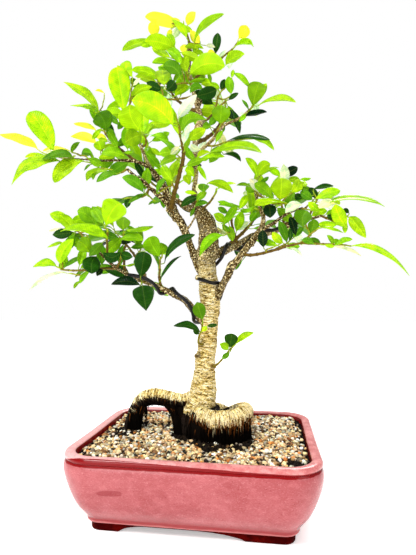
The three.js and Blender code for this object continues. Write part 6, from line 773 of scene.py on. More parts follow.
def turn(rng):
    """A random turn that mostly keeps the flat side down."""
    a, b, c = rng.uniform(0, 2 * math.pi), rng.gauss(0, 0.45), rng.gauss(0, 0.45)
    ca, sa, cb, sb, cc, sc = math.cos(a), math.sin(a), math.cos(b), math.sin(b), math.cos(c), math.sin(c)
    rz = np.array([[ca, -sa, 0], [sa, ca, 0], [0, 0, 1]])
    rx = np.array([[1, 0, 0], [0, cb, -sb], [0, sb, cb]])
    ry = np.array([[cc, 0, sc], [0, 1, 0], [-sc, 0, cc]])
    return rz @ rx @ ry


STONES = [
    (0.29, srgb(240, 214, 164)), (0.16, srgb(214, 172, 114)), (0.20, srgb(255, 248, 224)), (0.05, srgb(204, 126, 52)),
    (0.12, srgb(128, 88, 48)), (0.03, srgb(150, 138, 118)), (0.11, srgb(26, 17, 9)), (0.04, srgb(226, 186, 136)),
]


def stone_colour(rng):
    x = rng.random()
    for share, c in STONES:
        x -= share
        if x <= 0:
            break
    b = rng.uniform(0.33, 1.30)
    return tuple(min(0.98, k * b * rng.uniform(0.93, 1.07)) for k in c[:3])


ROOT_OUTLINE = np.array([[-34, 0], [-27, -14], [-17, -25], [-4, -34], [12, -41], [28, -43.5], [42, -41], [54, -31], [59.5, -14], [56, 3], [45, 16], [30, 19], [12, 20], [-6, 20], [-24, 14]], float)


def inside_outline(x, y, shrink):
    c = np.array([14.0, -12.0])
    q = c + (ROOT_OUTLINE - c) * shrink
    hit = False
    j = len(q) - 1
    for i in range(len(q)):
        if (q[i, 1] > y) != (q[j, 1] > y) and x < (q[j, 0] - q[i, 0]) * (y - q[i, 1]) / (q[j, 1] - q[i, 1]) + q[i, 0]:
            hit = not hit
        j = i
    return hit


# where fallen rootlets and humus lie on the gravel; the dark soil laid there in place of gravel is also painted shadow,
# cast by the coil in front of it and by the arch inside and at its left foot
LITTER_AND_SHADOW_PATCHES = [np.array(q, float) for q in (
    [(-36, -16), (-24, -30), (0, -47), (9, -56), (17, -68), (26, -55), (35, -50), (44, -53), (53, -56), (58, -46), (61, -28), (58, 0), (20, 0)],
    [(-86, 24), (-66, 35), (-60, 31), (-50, 39), (-40, 30), (-30, 6), (-26, -12), (-48, 6), (-60, 18), (-72, 18)],
    [(-103, 4), (-99, -18), (-88, -40), (-78, -28), (-67, -14), (-66, 8), (-84, 14)],
)]


def inside_polygon(q, x, y):
    hit = False
    j = len(q) - 1
    for i in range(len(q)):
        if (q[i, 1] > y) != (q[j, 1] > y) and x < (q[j, 0] - q[i, 0]) * (y - q[i, 1]) / (q[j, 1] - q[i, 1]) + q[i, 0]:
            hit = not hit
        j = i
    return hit


gravels = [Geo("tint") for _ in range(5)]
soil_bits = 0
PITCH = 3.1
for layer in (0, 1, 2):
    row = 0
    y = -HY + 11.0
    while y < HY - 11.0:
        x = -HX + 11.0 + (row % 2) * PITCH / 2
        while x < HX - 11.0:
            px, py = x + rng.uniform(-1.0, 1.0), y + rng.uniform(-1.0, 1.0)
            x += PITCH
            if layer == 2 and rng.random() > 0.16:
                continue
            if layer == 0 and rng.random() > 0.55:
                continue
            i = float(inset_of(px, py))
            if i < 12.4 or inside_outline(px, py, 0.86):
                continue
            # bare soil along the side walls, at the back and in the front right corner
            n1 = noise.noise(Vector((px * 0.05, py * 0.05, 3.0)))
            n2 = noise.noise(Vector((px * 0.13, py * 0.13, 9.0)))
            edge = i - 11.5
            bare = 0.0
            if abs(px) > 88 and edge < 12:
                bare = 1.05 * (1 - edge / 12.0) + 0.5 * n1 + 0.35 * n2
            if py > 70 and edge < 6:
                bare = max(bare, 0.5 * (1 - edge / 6.0) + 0.6 * n1)
            corner_d = math.hypot(px - 103, py + 74)
            bare = max(bare, 1.25 * (1 - corner_d / 24.0) + 0.5 * n2)
            bare = max(bare, 0.30 * n1 + 0.22 * n2 - 0.02)
            wx, wy = px + 3.0 * n2, py + 3.0 * n1
            # painted shadow together with real litter: inside these patches gravel gives way to dark soil
            litter_and_shadow = [inside_polygon(q, wx, wy) for q in LITTER_AND_SHADOW_PATCHES]
            if any(litter_and_shadow):
                bare = max(bare, (0.93, 0.6, 0.8)[litter_and_shadow.index(True)])
            if rng.random() < bare:
                if (layer == 1 and rng.random() < 0.6) or any(litter_and_shadow):
                    s = rng.uniform(0.7, 1.7)
                    v, f = SHAPES[rng.randrange(len(SHAPES))]
                    v = (v * np.array([s, s * rng.uniform(0.6, 0.95), s * rng.uniform(0.5, 0.8)])) @ turn(rng).T
                    up = rng.uniform(0.0, 1.3) if any(litter_and_shadow) else 0.0
                    v = v * (1.0 + 0.35 * up)
                    soil_geo.add(v + np.array([px, py, float(gravel_top(px, py)) - 1.1 + up + rng.uniform(-0.4, 0.4)]), f)
                    soil_bits += 1
                continue
            s = 0.5 * rng.choice((2.3, 2.7, 3.1, 3.4, 3.8, 4.5, 5.3)) * rng.uniform(0.92, 1.12)
            v, f = SHAPES[rng.randrange(len(SHAPES))]
            v = (v * np.array([s, s * rng.uniform(0.72, 0.98), s * rng.uniform(0.52, 0.85)])) @ turn(rng).T
            z = float(gravel_top(px, py)) + (-1.5, -0.3, 0.75)[layer] + rng.uniform(-0.35, 0.35)
            z += 0.8 * noise.noise(Vector((px * 0.06, py * 0.06, 1.0)))
            c = stone_colour(rng)
            gravels[rng.randrange(5)].add(v + np.array([px, py, z]), f, tint=c)
        y += PITCH * 0.87
        row += 1
put("soil_bed", soil_geo.mesh("soil_bed"), [SOIL], ["soil"])
for i, gg in enumerate(gravels):
    put("gravel_stones_%d" % (i + 1), gg.mesh("gravel_stones_%d" % (i + 1)), [GRAVEL], ["gravel_layer"])

# ------------------------------------------------------------------ drainage netting
for s, node in ((-1, "drainage_mesh_left"), (1, "drainage_mesh_right")):
    net = Geo()
    for k in range(13):
        o = -17.5 + 35.0 * k / 12
        for along in (0, 1):
            zz = 15.72 if along else 16.12
            line = [(-17.9, o, zz), (17.9, o, zz)] if along == 0 else [(o, -17.9, zz), (o, 17.9, zz)]
            pts = np.array([[a + s * 48.0, b, c, 0.0] for a, b, c in line])
            pts = catmull(pts, 3.0)
            r = 0.42 + 0.06 * np.sin(np.arange(len(pts)) * 2.1)
            v, f = tube(pts, r, 8)
            net.add(v, f)
    put(node.replace("drainage_mesh", "drainage_netting"), net.mesh(node + "_net"), [PLASTIC], [node])

# ------------------------------------------------------------------ wood
# Centrelines as [x, y, z, radius].
ROOTS = {
    "main_root": [[-2, -7, 92, 20.5], [-1, -7, 82, 21], [0, -6, 70, 17], [1, -5, 58, 12], [1, -4, 46, 7]],
    "arch_left": [[-1.5, -6, 116.3, 11.9], [-11.4, -8, 114.2, 9.3], [-25.1, -9, 114.5, 7.2], [-40.4, -8, 117.2, 7.3], [-56.2, -6, 117.4, 8.1], [-68.4, -3, 111.7, 7.9], [-77, 0, 101, 7.2], [-83.3, 3, 87.3, 6.6], [-87.5, 5, 72.6, 6.1], [-89, 6, 59.5, 5.4]],
    "coil_right": [[-2.4, -14, 103.7, 11.1], [6.3, -26, 100.7, 10.2], [17, -33, 99.8, 9.8], [27.9, -35, 100.4, 9.7], [38.3, -33, 101.3, 9.5], [46.8, -26, 103.7, 9.4], [50.9, -13, 105, 8.5], [48.5, 0, 104.9, 7], [40.3, 10, 101.8, 6], [29.6, 13, 97.2, 5.5], [18.3, 10, 94.8, 6], [7.7, 2, 97.5, 9]],
    "back_root_left": [[-4, 4, 104, 10], [-12, 18, 100, 8.4], [-22, 32, 92, 7.4], [-32, 44, 82, 6.6], [-40, 53, 70, 6], [-44, 58, 60, 5]],
    "back_root_right": [[6, 4, 102, 9], [16, 20, 98, 7.6], [26, 34, 90, 6.8], [33, 46, 79, 6], [37, 54, 66, 5.2], [38, 57, 58, 4.6]],
    "rootlets_left": [[-78, -1, 99, 6.4], [-80, 0.5, 86, 6.6], [-82, 2, 72, 6.2], [-83, 3, 60, 4.6]],
    "rootlets_left_inner": [[-69, -3.4, 108, 5.6], [-74, -2, 92, 5.4], [-77, 0, 74, 5], [-78, 1, 62, 3.6]],
    "rootlets_arch": [[-40, -7, 111, 4.6], [-31, -8, 104, 5.4], [-24, -10, 92, 7], [-20, -12, 74, 8], [-18, -12, 62, 5]],
}
WOOD = {
    "trunk": [[-0.52, -8, 87.92, 19.66], [-0.7, -7, 104.27, 18.27], [3.13, -6, 118.65, 15.15], [4.11, -5, 131.9, 14.18], [4.56, -5, 145.38, 12.61], [5.82, -5, 158.92, 11.71], [7.55, -5, 172.49, 10.7], [9.04, -5, 186.09, 10.02], [10.08, -5, 197.44, 9.69], [10.77, -5, 211.08, 10.5], [11.24, -5, 222.48, 11.43], [10.89, -5, 232.75, 12.13], [9.74, -5, 245.35, 10.89], [7.53, -5, 260.88, 10.34], [6.37, -5, 274.16, 11.85], [9.28, -5, 287.99, 12.44], [9.16, -5, 298.42, 11.07], [9.04, -5, 307.71, 10.62], [6.94, -5, 317.07, 10.75], [2.42, -6, 325.17, 8.79], [-2.53, -8, 331.9, 7.15], [-5.29, -9, 338.76, 5.07]],
    "leader": [[-3.11, -8, 329.59, 6], [-5.89, -9, 342.28, 4.62], [-6.61, -9, 353.98, 3.35], [-5.39, -8, 365.92, 2.67], [-4.58, -8, 375.29, 2.67], [-6.13, -8, 385.97, 3.02], [-7.15, -7, 399.36, 3.26], [-5.93, -6, 410.34, 3.51], [-5.28, -5, 419.03, 4.45], [-3.91, -4, 426.52, 4.7], [-1.35, -3, 433.98, 4.36], [-0.08, -2, 439.13, 3.78], [-2.65, -1, 449.38, 3.43], [-5.84, 0, 459.75, 2.85], [-8.32, 1, 468.92, 2.51], [-11.07, 2, 480.62, 2.4], [-13.72, 3, 494.87, 2.16], [-15.04, 4, 510.37, 1.81], [-14.58, 4, 522.76, 2.05]],
    "stub_top": [[-14.58, 4, 521.51, 2.42], [-15.08, 4, 525.91, 3.26], [-14.35, 4, 529.58, 2.3]],
    "stub_a": [[-6.12, -8, 381.25, 2.55], [-8.41, -11, 379.72, 3.12], [-9.68, -13, 378.69, 2.3]],
    "stub_b": [[-4.33, -5, 421.37, 2.81], [-9.92, -7, 420.42, 1.87], [-15.01, -9, 423.5, 1.98]],
    "stub_c": [[-1.27, -2, 437.4, 2.6], [4.61, -3, 437.22, 1.76]],
    "stub_d": [[-5.23, 0, 454.84, 2.38], [-0.97, -4, 461.2, 2.95], [-0.81, -5, 464.93, 2.35]],
    "left": [[-1.03, -6, 261.47, 4.48], [-5.54, -7, 274.13, 4.6], [-10.93, -9, 289.01, 4.25], [-15.95, -11, 302.69, 4.59], [-22.02, -13, 316.38, 5.05], [-28.86, -14, 325.63, 5.63], [-33.73, -14, 336.23, 5.52], [-38.77, -12, 349.71, 4.52], [-45.07, -9, 362.5, 3.86], [-50.87, -10, 370.75, 3.51], [-56.99, -12, 378.72, 2.92], [-64.28, -14, 384.35, 2.45], [-73.9, -18, 387.65, 2.09], [-83.4, -22, 387.97, 1.96], [-97.56, -26, 387.57, 1.61], [-110.39, -30, 386.51, 1.37], [-125.52, -34, 387.08, 1.26], [-141, -37, 387.98, 1]],
    "left_low": [[-33.37, -15, 333.67, 4.36], [-40.31, -18, 341.91, 3.43], [-48.97, -21, 349, 2.97], [-56.39, -24, 355.43, 2.62], [-62.89, -26, 362.05, 2.27], [-72.04, -27, 367.9, 1.93], [-81.57, -27, 376.4, 1.6]],
    "left_up": [[-56.99, -12, 378.72, 2.34], [-61.91, -14, 388.98, 2.1], [-66.51, -15, 399.54, 1.87], [-71.13, -16, 411.3, 1.75], [-77.27, -16, 421.17, 1.64], [-84.69, -16, 433.56, 1.53], [-89.7, -16, 445.88, 1.41]],
    "cross": [[-4.87, -8, 329.64, 4.62], [-13.09, -8, 333.39, 4.17], [-21.57, -7, 338.56, 3.61], [-28.56, -5, 343.37, 3.28], [-35.4, -4, 346.8, 3.06]],
    "left_twig": [[-17.32, -13, 305.87, 1.83], [-11.52, -16, 309.84, 1.36], [-5.24, -19, 318.27, 1.24], [0.79, -21, 325.65, 1.12]],
    "low_left": [[4.54, -8, 202.09, 4.66], [-2.04, -10, 208.35, 4.54], [-9, -13, 218.57, 4.07], [-16.49, -16, 227.04, 3.72], [-28.51, -19, 233.22, 3.49], [-40.16, -21, 239.4, 3.38], [-50.33, -22, 244.37, 2.93], [-60.53, -23, 247.32, 2.48], [-72.16, -24, 251.65, 2.37], [-82.33, -25, 257.56, 2.26], [-92.52, -26, 262.71, 2.04], [-101.74, -26, 270.22, 1.82], [-110.54, -26, 278.34, 1.6], [-119.48, -25, 286.65, 1.49], [-128.47, -24, 292.72, 1.27]],
    "right_low": [[13.58, -7, 225.9, 6.37], [21.97, -11, 236.5, 5.19], [28.3, -16, 246.41, 4.13], [33.72, -21, 255.67, 4.08], [36.89, -24, 262.93, 4.71], [42.47, -25, 268.48, 3.71], [47.89, -24, 276.18, 3.5], [53.82, -22, 284.02, 3.73], [60.29, -19, 292.02, 3.75], [66.29, -16, 300.68, 3.55], [70.92, -13, 309.46, 3.23], [72.25, -9, 319.19, 2.59], [69.31, -4, 329.41, 2.28], [66.07, 1, 339.86, 1.96], [63.25, 5, 350.28, 1.63], [62.03, 8, 359.37, 1.41]],
    "right_low_f": [[70.16, -15, 305.78, 2.44], [77.33, -17, 308.06, 2.21], [85.74, -19, 313.04, 1.97], [94.74, -20, 319.24, 1.75], [104.39, -21, 323.71, 1.52], [113.94, -22, 326.49, 1.3]],
    "right_up": [[12.93, -2, 276.67, 5.32], [21.2, 2, 281.04, 4.88], [29.67, 5, 285.1, 4.2], [39.97, 8, 290.69, 3.87], [49.23, 10, 296.67, 3.52], [58.53, 12, 302.2, 3.41], [70.19, 13, 303.76, 3.17], [81.84, 14, 306.26, 2.82], [94.63, 15, 311.32, 2.58], [108.49, 15, 316.28, 2.22], [123.39, 15, 320.48, 1.86], [138.05, 14, 324.33, 1.5]],
    "ur": [[-5.14, -7, 398.07, 2.1], [-0.26, -8, 400.08, 2.21], [8.1, -9, 406.14, 2.08], [15.56, -8, 413.78, 2.08], [21.75, -6, 423.07, 1.86], [28.56, -4, 430.6, 1.75], [36.57, -2, 435, 1.63], [45.78, 0, 439.58, 1.64], [53.88, 2, 447.12, 1.52], [59.66, 4, 453.04, 1.29]],
}
WIRE = [[-76.96, -29.15, 255], [-71.62, -28.19, 254.47], [-66.3, -27.68, 253.38], [-61.06, -27.87, 251.83], [-56.01, -28.29, 249.82], [-51.34, -28.45, 247.02], [-47.46, -27.85, 243.25], [-44.92, -26.23, 238.73], [-43.4, -22.73, 234.93], [-41.12, -17.91, 234.25], [-37.3, -14.74, 236.29], [-32.84, -15.18, 239.23], [-29.02, -18.88, 240.02], [-26.21, -22.64, 237.35], [-22.66, -24.96, 233.97], [-18.37, -25.75, 230.72], [-14.22, -25.24, 227.25], [-10.79, -23.85, 223.25], [-8.32, -21.96, 218.78], [-6.78, -19.75, 214.03], [-6.1, -17.19, 209.27], [-6.31, -14.08, 204.81], [-5.76, -9.32, 202.36], [-4.59, -4.1, 201.26], [-2.97, 1.09, 200.84], [-0.19, 5.63, 201.84], [3.4, 8.72, 204.47], [6.99, 10.48, 208.16], [10.21, 11.26, 212.49], [13.11, 11.27, 217.11], [16.01, 10.63, 221.69], [18.97, 9.25, 226.06], [21.54, 6.92, 230.26], [23.12, 3.56, 234.24], [23.83, -0.45, 237.88], [23.89, -4.55, 241.47], [22.76, -8.17, 245.37], [20.39, -12.76, 246.58], [16.52, -16.35, 245.99], [11.49, -18.03, 247.15], [6.31, -17.77, 248.78], [1.49, -15.66, 250.15], [-2.23, -11.84, 251.19], [-4.16, -6.86, 252.21], [-4.5, -1.57, 253.46], [-3.09, 3.29, 255.34], [0.25, 6.63, 257.96], [4.64, 7.92, 260.89], [9.31, 7.84, 263.72], [13.83, 6.4, 266.39], [17.53, 3.42, 269.06], [20.86, 0.3, 272.06], [24.05, -2.33, 275.61], [26.43, -3.35, 280.38], [28.24, -2.42, 285.42], [29.43, 0.46, 289.87], [30.43, 4.94, 292.72], [32.27, 10.04, 292.61], [35.61, 13.26, 289.89], [40.01, 12.89, 286.79], [44.12, 9.51, 286.18], [47.85, 6.16, 288.24], [51.68, 4.74, 291.8], [55.31, 4.94, 295.85], [58.81, 5.81, 299.95], [62.4, 6.77, 303.96], [66.39, 8.64, 307.14], [71.37, 10.05, 308.64], [76.78, 9.45, 308.55], [82.2, 9.13, 308.21], [87.43, 9.48, 309.57], [92.17, 10.18, 312.18]]
TONE = {
    "leader": 0.62, "stub_top": 1.0, "stub_a": 1.0, "stub_b": 0.9, "stub_c": 0.8, "stub_d": 0.9, "left": 0.92, "left_low": 0.95,
    "left_up": 0.6, "cross": 0.85, "left_twig": 0.6, "low_left": 0.82, "right_low": 0.8, "right_low_f": 0.85, "right_up": 0.78,
    "ur": 0.55, "trunk": 0.05, "main_root": 0.15, "arch_left": 0.05, "coil_right": 0.0, "back_root_left": 0.2, "back_root_right": 0.2,
}
ROOT_LINES = ("main_root", "arch_left", "coil_right", "back_root_left", "back_root_right")
lines = {k: v for k, v in ROOTS.items() if k in ROOT_LINES}
lines.update(WOOD)
raw = Geo()
S_P, S_T, S_A, S_B, S_S, S_L = [], [], [], [], [], []
names = list(lines)
for li, name in enumerate(names):
    widest = max(p[3] for p in lines[name])
    p = catmull(lines[name], 1.6 if widest > 3 else 2.0)
    seed = 13.7 * li
    t, a, b = frames(p)
    s = np.concatenate([[0], np.cumsum(np.linalg.norm(np.diff(p[:, :3], axis=0), axis=1))])
    # wood is never a true cylinder: swellings along it, and a section that wanders
    sides = 26 if widest > 6 else 16 if widest > 3 else 12
    w = np.linspace(0, 2 * np.pi, sides, endpoint=False)
    sq = np.ones((len(p), sides))
    for i in range(len(p)):
        swell = 0.05 * noise.noise(Vector((seed, s[i] * 0.09, 0.0))) + 0.05 * noise.noise(Vector((seed, s[i] * 0.3, 5.0)))
        for k in range(sides):
            sq[i, k] = 1 + swell + 0.07 * noise.noise(Vector((1.1 * math.cos(w[k]), 1.1 * math.sin(w[k]) + seed, s[i] * 0.045)))
    v, f = tube(rounded(p), rounded(p)[:, 3], sides, squash=np.vstack([sq[:1]] * 4 + [sq] + [sq[-1:]] * 4))
    raw.add(v, f)
    S_P.append(p)
    S_T.append(t)
    S_A.append(a)
    S_B.append(b)
    S_S.append(s + 700.0 * li)
    S_L.append(np.full(len(p), li))
# small knobs and pruning stubs on the trunk and limbs, as [x, y, z, radius]
KNOBS = [[-3.6, -12.5, 164.5, 2.6], [16.5, -13, 154, 3], [21, -7.5, 285, 2.6], [18.5, -8, 226, 2.6], [-2, -12, 252.5, 2.6], [19.5, -5, 305, 2.4], [14.5, -14.5, 256, 2.2], [-36.5, -15, 330.5, 2.4], [-28, -16, 322, 2], [-20, -12.5, 297, 1.6], [60.5, -19.5, 288, 2.2], [37.5, -25, 261, 2.6], [-0.5, -9, 324.5, 2.8], [8.5, -13.8, 316, 2.2]]
for x, y, z, r in KNOBS:
    line = rounded(np.array([[x, y, z - 0.2 * r, r], [x, y, z + 0.2 * r, r * 0.92]]))
    v, f = tube(line, line[:, 3], 14)
    raw.add(v, f)
# gnarls: low swellings all along the limbs
gnarl = random.Random(5)
for name in ("left", "left_low", "left_up", "cross", "low_left", "right_low", "right_low_f", "right_up", "leader", "ur"):
    p = catmull(WOOD[name], 1.6)
    t, a, b = frames(p)
    s = np.concatenate([[0], np.cumsum(np.linalg.norm(np.diff(p[:, :3], axis=0), axis=1))])
    at = gnarl.uniform(4, 9)
    while at < s[-1] - 3:
        i = min(int(np.searchsorted(s, at)), len(p) - 1)
        r, w = p[i, 3], gnarl.uniform(0, 2 * math.pi)
        out = math.cos(w) * a[i] + math.sin(w) * b[i]
        k = gnarl.uniform(0.42, 0.66) * r
        c = p[i, :3] + out * r * gnarl.uniform(0.5, 0.78)
        line = rounded(np.array([[*(c - t[i] * k * 0.4), k], [*(c + t[i] * k * 0.4), k * 0.85]]))
        v, f = tube(line, line[:, 3], 12)
        raw.add(v, f)
        at += gnarl.uniform(4.5, 12)
S_P, S_T, S_A, S_B = np.vstack(S_P), np.vstack(S_T), np.vstack(S_A), np.vstack(S_B)
S_S, S_L = np.concatenate(S_S), np.concatenate(S_L)
tmp = bpy.data.objects.new("wood_raw", raw.mesh("wood_raw"))
bpy.context.collection.objects.link(tmp)
mod = tmp.modifiers.new("one", "REMESH")
mod.mode = "VOXEL"
mod.voxel_size = 0.0009
mod.use_smooth_shade = True
sm = tmp.modifiers.new("soft", "SMOOTH")
sm.factor = 0.5
sm.iterations = 2
bpy.context.view_layer.update()
deps = bpy.context.evaluated_depsgraph_get()
wood = bpy.data.meshes.new_from_object(tmp.evaluated_get(deps))
bpy.data.objects.remove(tmp)
n = len(wood.vertices)
co = np.empty(n * 3, np.float32)
wood.vertices.foreach_get("co", co)
co = co.reshape(-1, 3).astype(float) * 1000
no = np.empty(n * 3, np.float32)
wood.vertices.foreach_get("normal", no)
no = no.reshape(-1, 3).astype(float)
near = np.empty(n, int)
for i in range(0, n, 4000):
    c = co[i : i + 4000]
    d2 = np.sqrt(((c[:, None, :] - S_P[None, :, :3]) ** 2).sum(2)) - S_P[None, :, 3]
    near[i : i + 4000] = d2.argmin(1)
rel = co - S_P[near, :3]
along = (rel * S_T[near]).sum(1)
ca = (rel * S_A[near]).sum(1)
sa = (rel * S_B[near]).sum(1)
rad = S_P[near, 3]
flat = np.maximum(1e-6, np.hypot(ca, sa))
s_at = S_S[near] + along
bark = np.stack([ca / flat * rad, sa / flat * rad, s_at], 1)
line_of = S_L[near]
is_root = np.isin(line_of, [names.index(k) for k in ROOT_LINES])
wr = noise3(bark * np.array([0.10, 0.10, 0.62]), 1.0)
wr2 = noise3(bark * np.array([0.22, 0.22, 1.1]) + 40, 1.0)
lump = noise3(co, 0.11)
pit = noise3(co + 19, 0.42)
amp = np.clip(0.07 * rad, 0.14, 0.5)
disp = amp * (1.0 * wr + 0.7 * wr2) + np.clip(0.10 * rad, 0.22, 0.8) * lump + np.clip(0.09 * rad, 0.16, 0.36) * pit
co += no * disp[:, None]
wood.vertices.foreach_set("co", (co / 1000).astype(np.float32).ravel())
wood.update()
tone = np.array([TONE.get(names[i], 0.3) for i in line_of])
tone = tone + 0.18 * noise3(co, 0.05) + 0.10 * smooth(3.0, 1.2, rad)
dark_bark_and_shade = np.zeros(n)
arch_i, coil_i = names.index("arch_left"), names.index("coil_right")
# bark on the roots ends in dark rootlets below; on the arch and the coil the faces turned downwards are darkened,
# partly for those rootlets and partly as painted shade on their undersides
low = S_P[near, 2]
dark_bark_and_shade = np.where(line_of == arch_i, smooth(0.25, -0.25, no[:, 2] + 0.25 * wr2), dark_bark_and_shade)
dark_bark_and_shade = np.where(line_of == coil_i, smooth(-0.35, -0.75, no[:, 2] + 0.2 * wr2), dark_bark_and_shade)
# painted shade in the hollow in the middle of the coil: the walls that face into it are darkened
to_hole = unit(np.stack([30.0 - co[:, 0], -11.0 - co[:, 1]], 1))
facing = (to_hole * no[:, :2]).sum(1)
hollow = smooth(-0.02, 0.45, facing + 0.3 * wr2) * smooth(111.5, 106.5, co[:, 2]) * (np.hypot(co[:, 0] - 30, co[:, 1] + 11) < 27) * (co[:, 2] < 112)
dark_bark_and_shade = np.maximum(dark_bark_and_shade, 0.95 * hollow)
foot_z = np.interp(co[:, 0], [-20, -8, 0, 6, 12, 17], [107, 105, 102.5, 99.5, 94, 90])
ragged = 5.0 * noise3(co * np.array([1, 1, 0.15]), 0.45) + 4.0 * noise3(co, 0.12)
crumbly = smooth(126, 114, co[:, 2]) * smooth(96, 104, co[:, 2]) * smooth(16, 6, co[:, 0])
trunk_i = names.index("trunk")
tone = tone + np.where(line_of == trunk_i, 0.75 * smooth(215, 290, co[:, 2]) - 0.42 * smooth(205, 140, co[:, 2]), 0)
tone = tone - np.where(line_of == coil_i, 0.5, 0) - np.where(line_of == arch_i, 0.22, 0)
tone = tone + 0.9 * crumbly * smooth(-0.1, 0.35, noise3(co + 70, 0.16) + 0.4 * pit)
dark_bark_and_shade = np.maximum(dark_bark_and_shade, is_root * smooth(foot_z + 2.5, foot_z - 2.5, co[:, 2] + ragged))
# scars of old branches
SCARS = [[-2.1, -16, 164.7, 4.2, 1], [15.9, -15, 154, 3.4, 1], [11.5, -15, 256.5, 3, 1], [3, -15, 298.5, 4.6, 0.9], [9.1, -15.5, 302.5, 3, 0.6], [18.2, -10, 269.6, 2.6, 0.6], [-6.5, -12, 254, 2.6, 1], [16, -12, 317, 3, 0.5], [2, -15, 326, 3.4, 0.9], [8, -16, 283, 2.6, 0.7], [4, -15.5, 238, 2, 0.5]]
for x, y, z, r, k in SCARS:
    dd = np.sqrt(((co - np.array([x, y, z])) ** 2 * np.array([1, 1, 1.6])).sum(1))
    dark_bark_and_shade = np.maximum(dark_bark_and_shade, 0.75 * k * smooth(0.68 * r, 0.25 * r, dd + 0.6 * pit))
    tone = np.maximum(tone, 0.8 * k * smooth(1.6 * r, 0.6 * r, dd))
for name, vec in (("bark", bark), ("tone", np.stack([tone, dark_bark_and_shade, rad], 1))):
    at = wood.attributes.new(name, "FLOAT_VECTOR", "POINT")
    at.data.foreach_set("vector", vec.astype(np.float32).ravel())
wood.polygons.foreach_set("use_smooth", [True] * len(wood.polygons))
wood.polygons.foreach_set("material_index", [0] * len(wood.polygons))
put("trunk_wood", wood, [BARK], ["trunk_and_roots"])
print("wood", n, len(wood.polygons), "gravel", sum(len(x.f) for x in gravels), "soil bits", soil_bits)

# ------------------------------------------------------------------ rootlets
hair = Geo("tint")
core = Geo("tint")
TAN, RUST, DARK, BLACK = (srgb(*c)[:3] for c in ((255, 240, 188), (158, 92, 36), (40, 25, 10), (7, 4, 2)))


def blend3(a, b, f):
    return tuple(x + (y - x) * f for x, y in zip(a, b))


def strand(points, r0, r1, shade, split, rng):
    """One rootlet. shade is how pale it starts, split the height under which it goes dark."""
    p = catmull(np.array([list(q) + [0.0] for q in points]), 2.6)
    wob = np.stack([noise3(p[:, :3] + 50 * rng.random(), 0.22), noise3(p[:, :3] + 90, 0.22), np.zeros(len(p))], 1)
    p[:, :3] += wob * 0.7
    r = np.linspace(r0, r1, len(p))
    v, f = tube(p, r, 5)
    pale = TAN if shade > 0.6 else RUST if shade > 0.25 else DARK
    cols = np.array([blend3(BLACK, pale, float(smooth(split - 5.0, split + 4.0, q[2])) * (0.4 + 0.6 * shade)) for q in p])
    hair.add(v, f, tint=np.repeat(cols, 5, axis=0))


rr = random.Random(77)


def over_root(name, count, side_weight, phi0, phi1, reach, split, spread):
    """Rootlets that lie over a root's flank, leave it below and hang down to the gravel."""
    p = catmull(ROOTS[name], 1.5)
    t = unit(np.gradient(p[:, :3], axis=0))
    s = np.concatenate([[0], np.cumsum(np.linalg.norm(np.diff(p[:, :3], axis=0), axis=1))])
    for _ in range(count):
        at = rr.uniform(0.03, 0.97) * s[-1]
        i = int(np.searchsorted(s, at))
        i = min(max(i, 1), len(p) - 2)
        q, r, ti = p[i, :3], p[i, 3], t[i]
        up = np.array([0, 0, 1.0]) - ti * ti[2]
        if np.linalg.norm(up) < 0.45:
            up = np.array([0.0, -1.0, 0.0]) - ti * (-ti[1])
        up = up / np.linalg.norm(up)
        side = np.cross(ti, up) * (1 if rr.random() < side_weight else -1)
        a0 = math.radians(rr.uniform(*phi0))
        a1 = math.radians(rr.uniform(*phi1))
        if a1 <= a0 + 0.15:
            a1 = a0 + 0.3
        lift = rr.uniform(0.1, 0.6)
        pts = []
        steps = max(3, int((a1 - a0) * r / 2.2))
        drift = rr.gauss(0, 0.9)
        for k in range(steps + 1):
            a = a0 + (a1 - a0) * k / steps
            pts.append(q + ti * drift * k / steps + (r + lift * (0.3 + 0.7 * k / steps)) * (math.cos(a) * up + math.sin(a) * side))
        end = pts[-1]
        floor_z = reach(end, rr)
        if floor_z < end[2] - 1.5:
            out = np.array([side[0], side[1], 0.0])
            fall = end[2] - floor_z
            sp = rr.uniform(*spread)
            m = max(2, int(fall / 6))
            for k in range(1, m + 1):
                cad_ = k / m
                pts.append(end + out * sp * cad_**1.4 + np.array([rr.gauss(0, 0.5), rr.gauss(0, 0.5), -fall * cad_]))
        yield pts


def reach_coil(end, rng):
    return 74.5


def reach_arch(end, rng):
    x = end[0]
    if x < -70:
        return 74.0
    if x < -63:
        return 74.0 if rng.random() < 0.35 else end[2] - rng.uniform(4, 18)
    if x < -36:
        return end[2] - rng.uniform(0.5, 4.5)
    if x < -30:
        return end[2] - rng.uniform(6, 26)
    return 74.5


# painted shade under the trunk: at the coil's left end most pale strands are left out and the rest are dark
for pts in over_root("coil_right", 300, 0.85, (10, 75), (96, 128), lambda end, rng: end[2], 88, (0, 0)):
    if pts[0][0] < 12 and rr.random() < 0.85:
        continue
    strand(pts, rr.uniform(0.3, 0.5), rr.uniform(0.14, 0.3), rr.uniform(0.75, 1.0), rr.gauss(91, 2.0), rr)
for pts in over_root("coil_right", 380, 0.85, (70, 110), (128, 160), reach_coil, 88, (-2.5, 1.0)):
    shade = rr.choice((0.02, 0.1, 0.3, 0.4, 0.5, 0.9)) if pts[0][0] > 12 else rr.choice((0.02, 0.05, 0.3))
    strand(pts, rr.uniform(0.28, 0.5), rr.uniform(0.16, 0.34), shade, rr.gauss(92.5, 2.2), rr)
for pts in over_root("arch_left", 330, 0.6, (68, 102), (116, 165), reach_arch, 110, (-2.0, 2.0)):
    strand(pts, rr.uniform(0.28, 0.5), rr.uniform(0.16, 0.34), rr.choice((0.02, 0.05, 0.3, 0.7)), rr.gauss(pts[0][2] - 0.5, 1.5), rr)
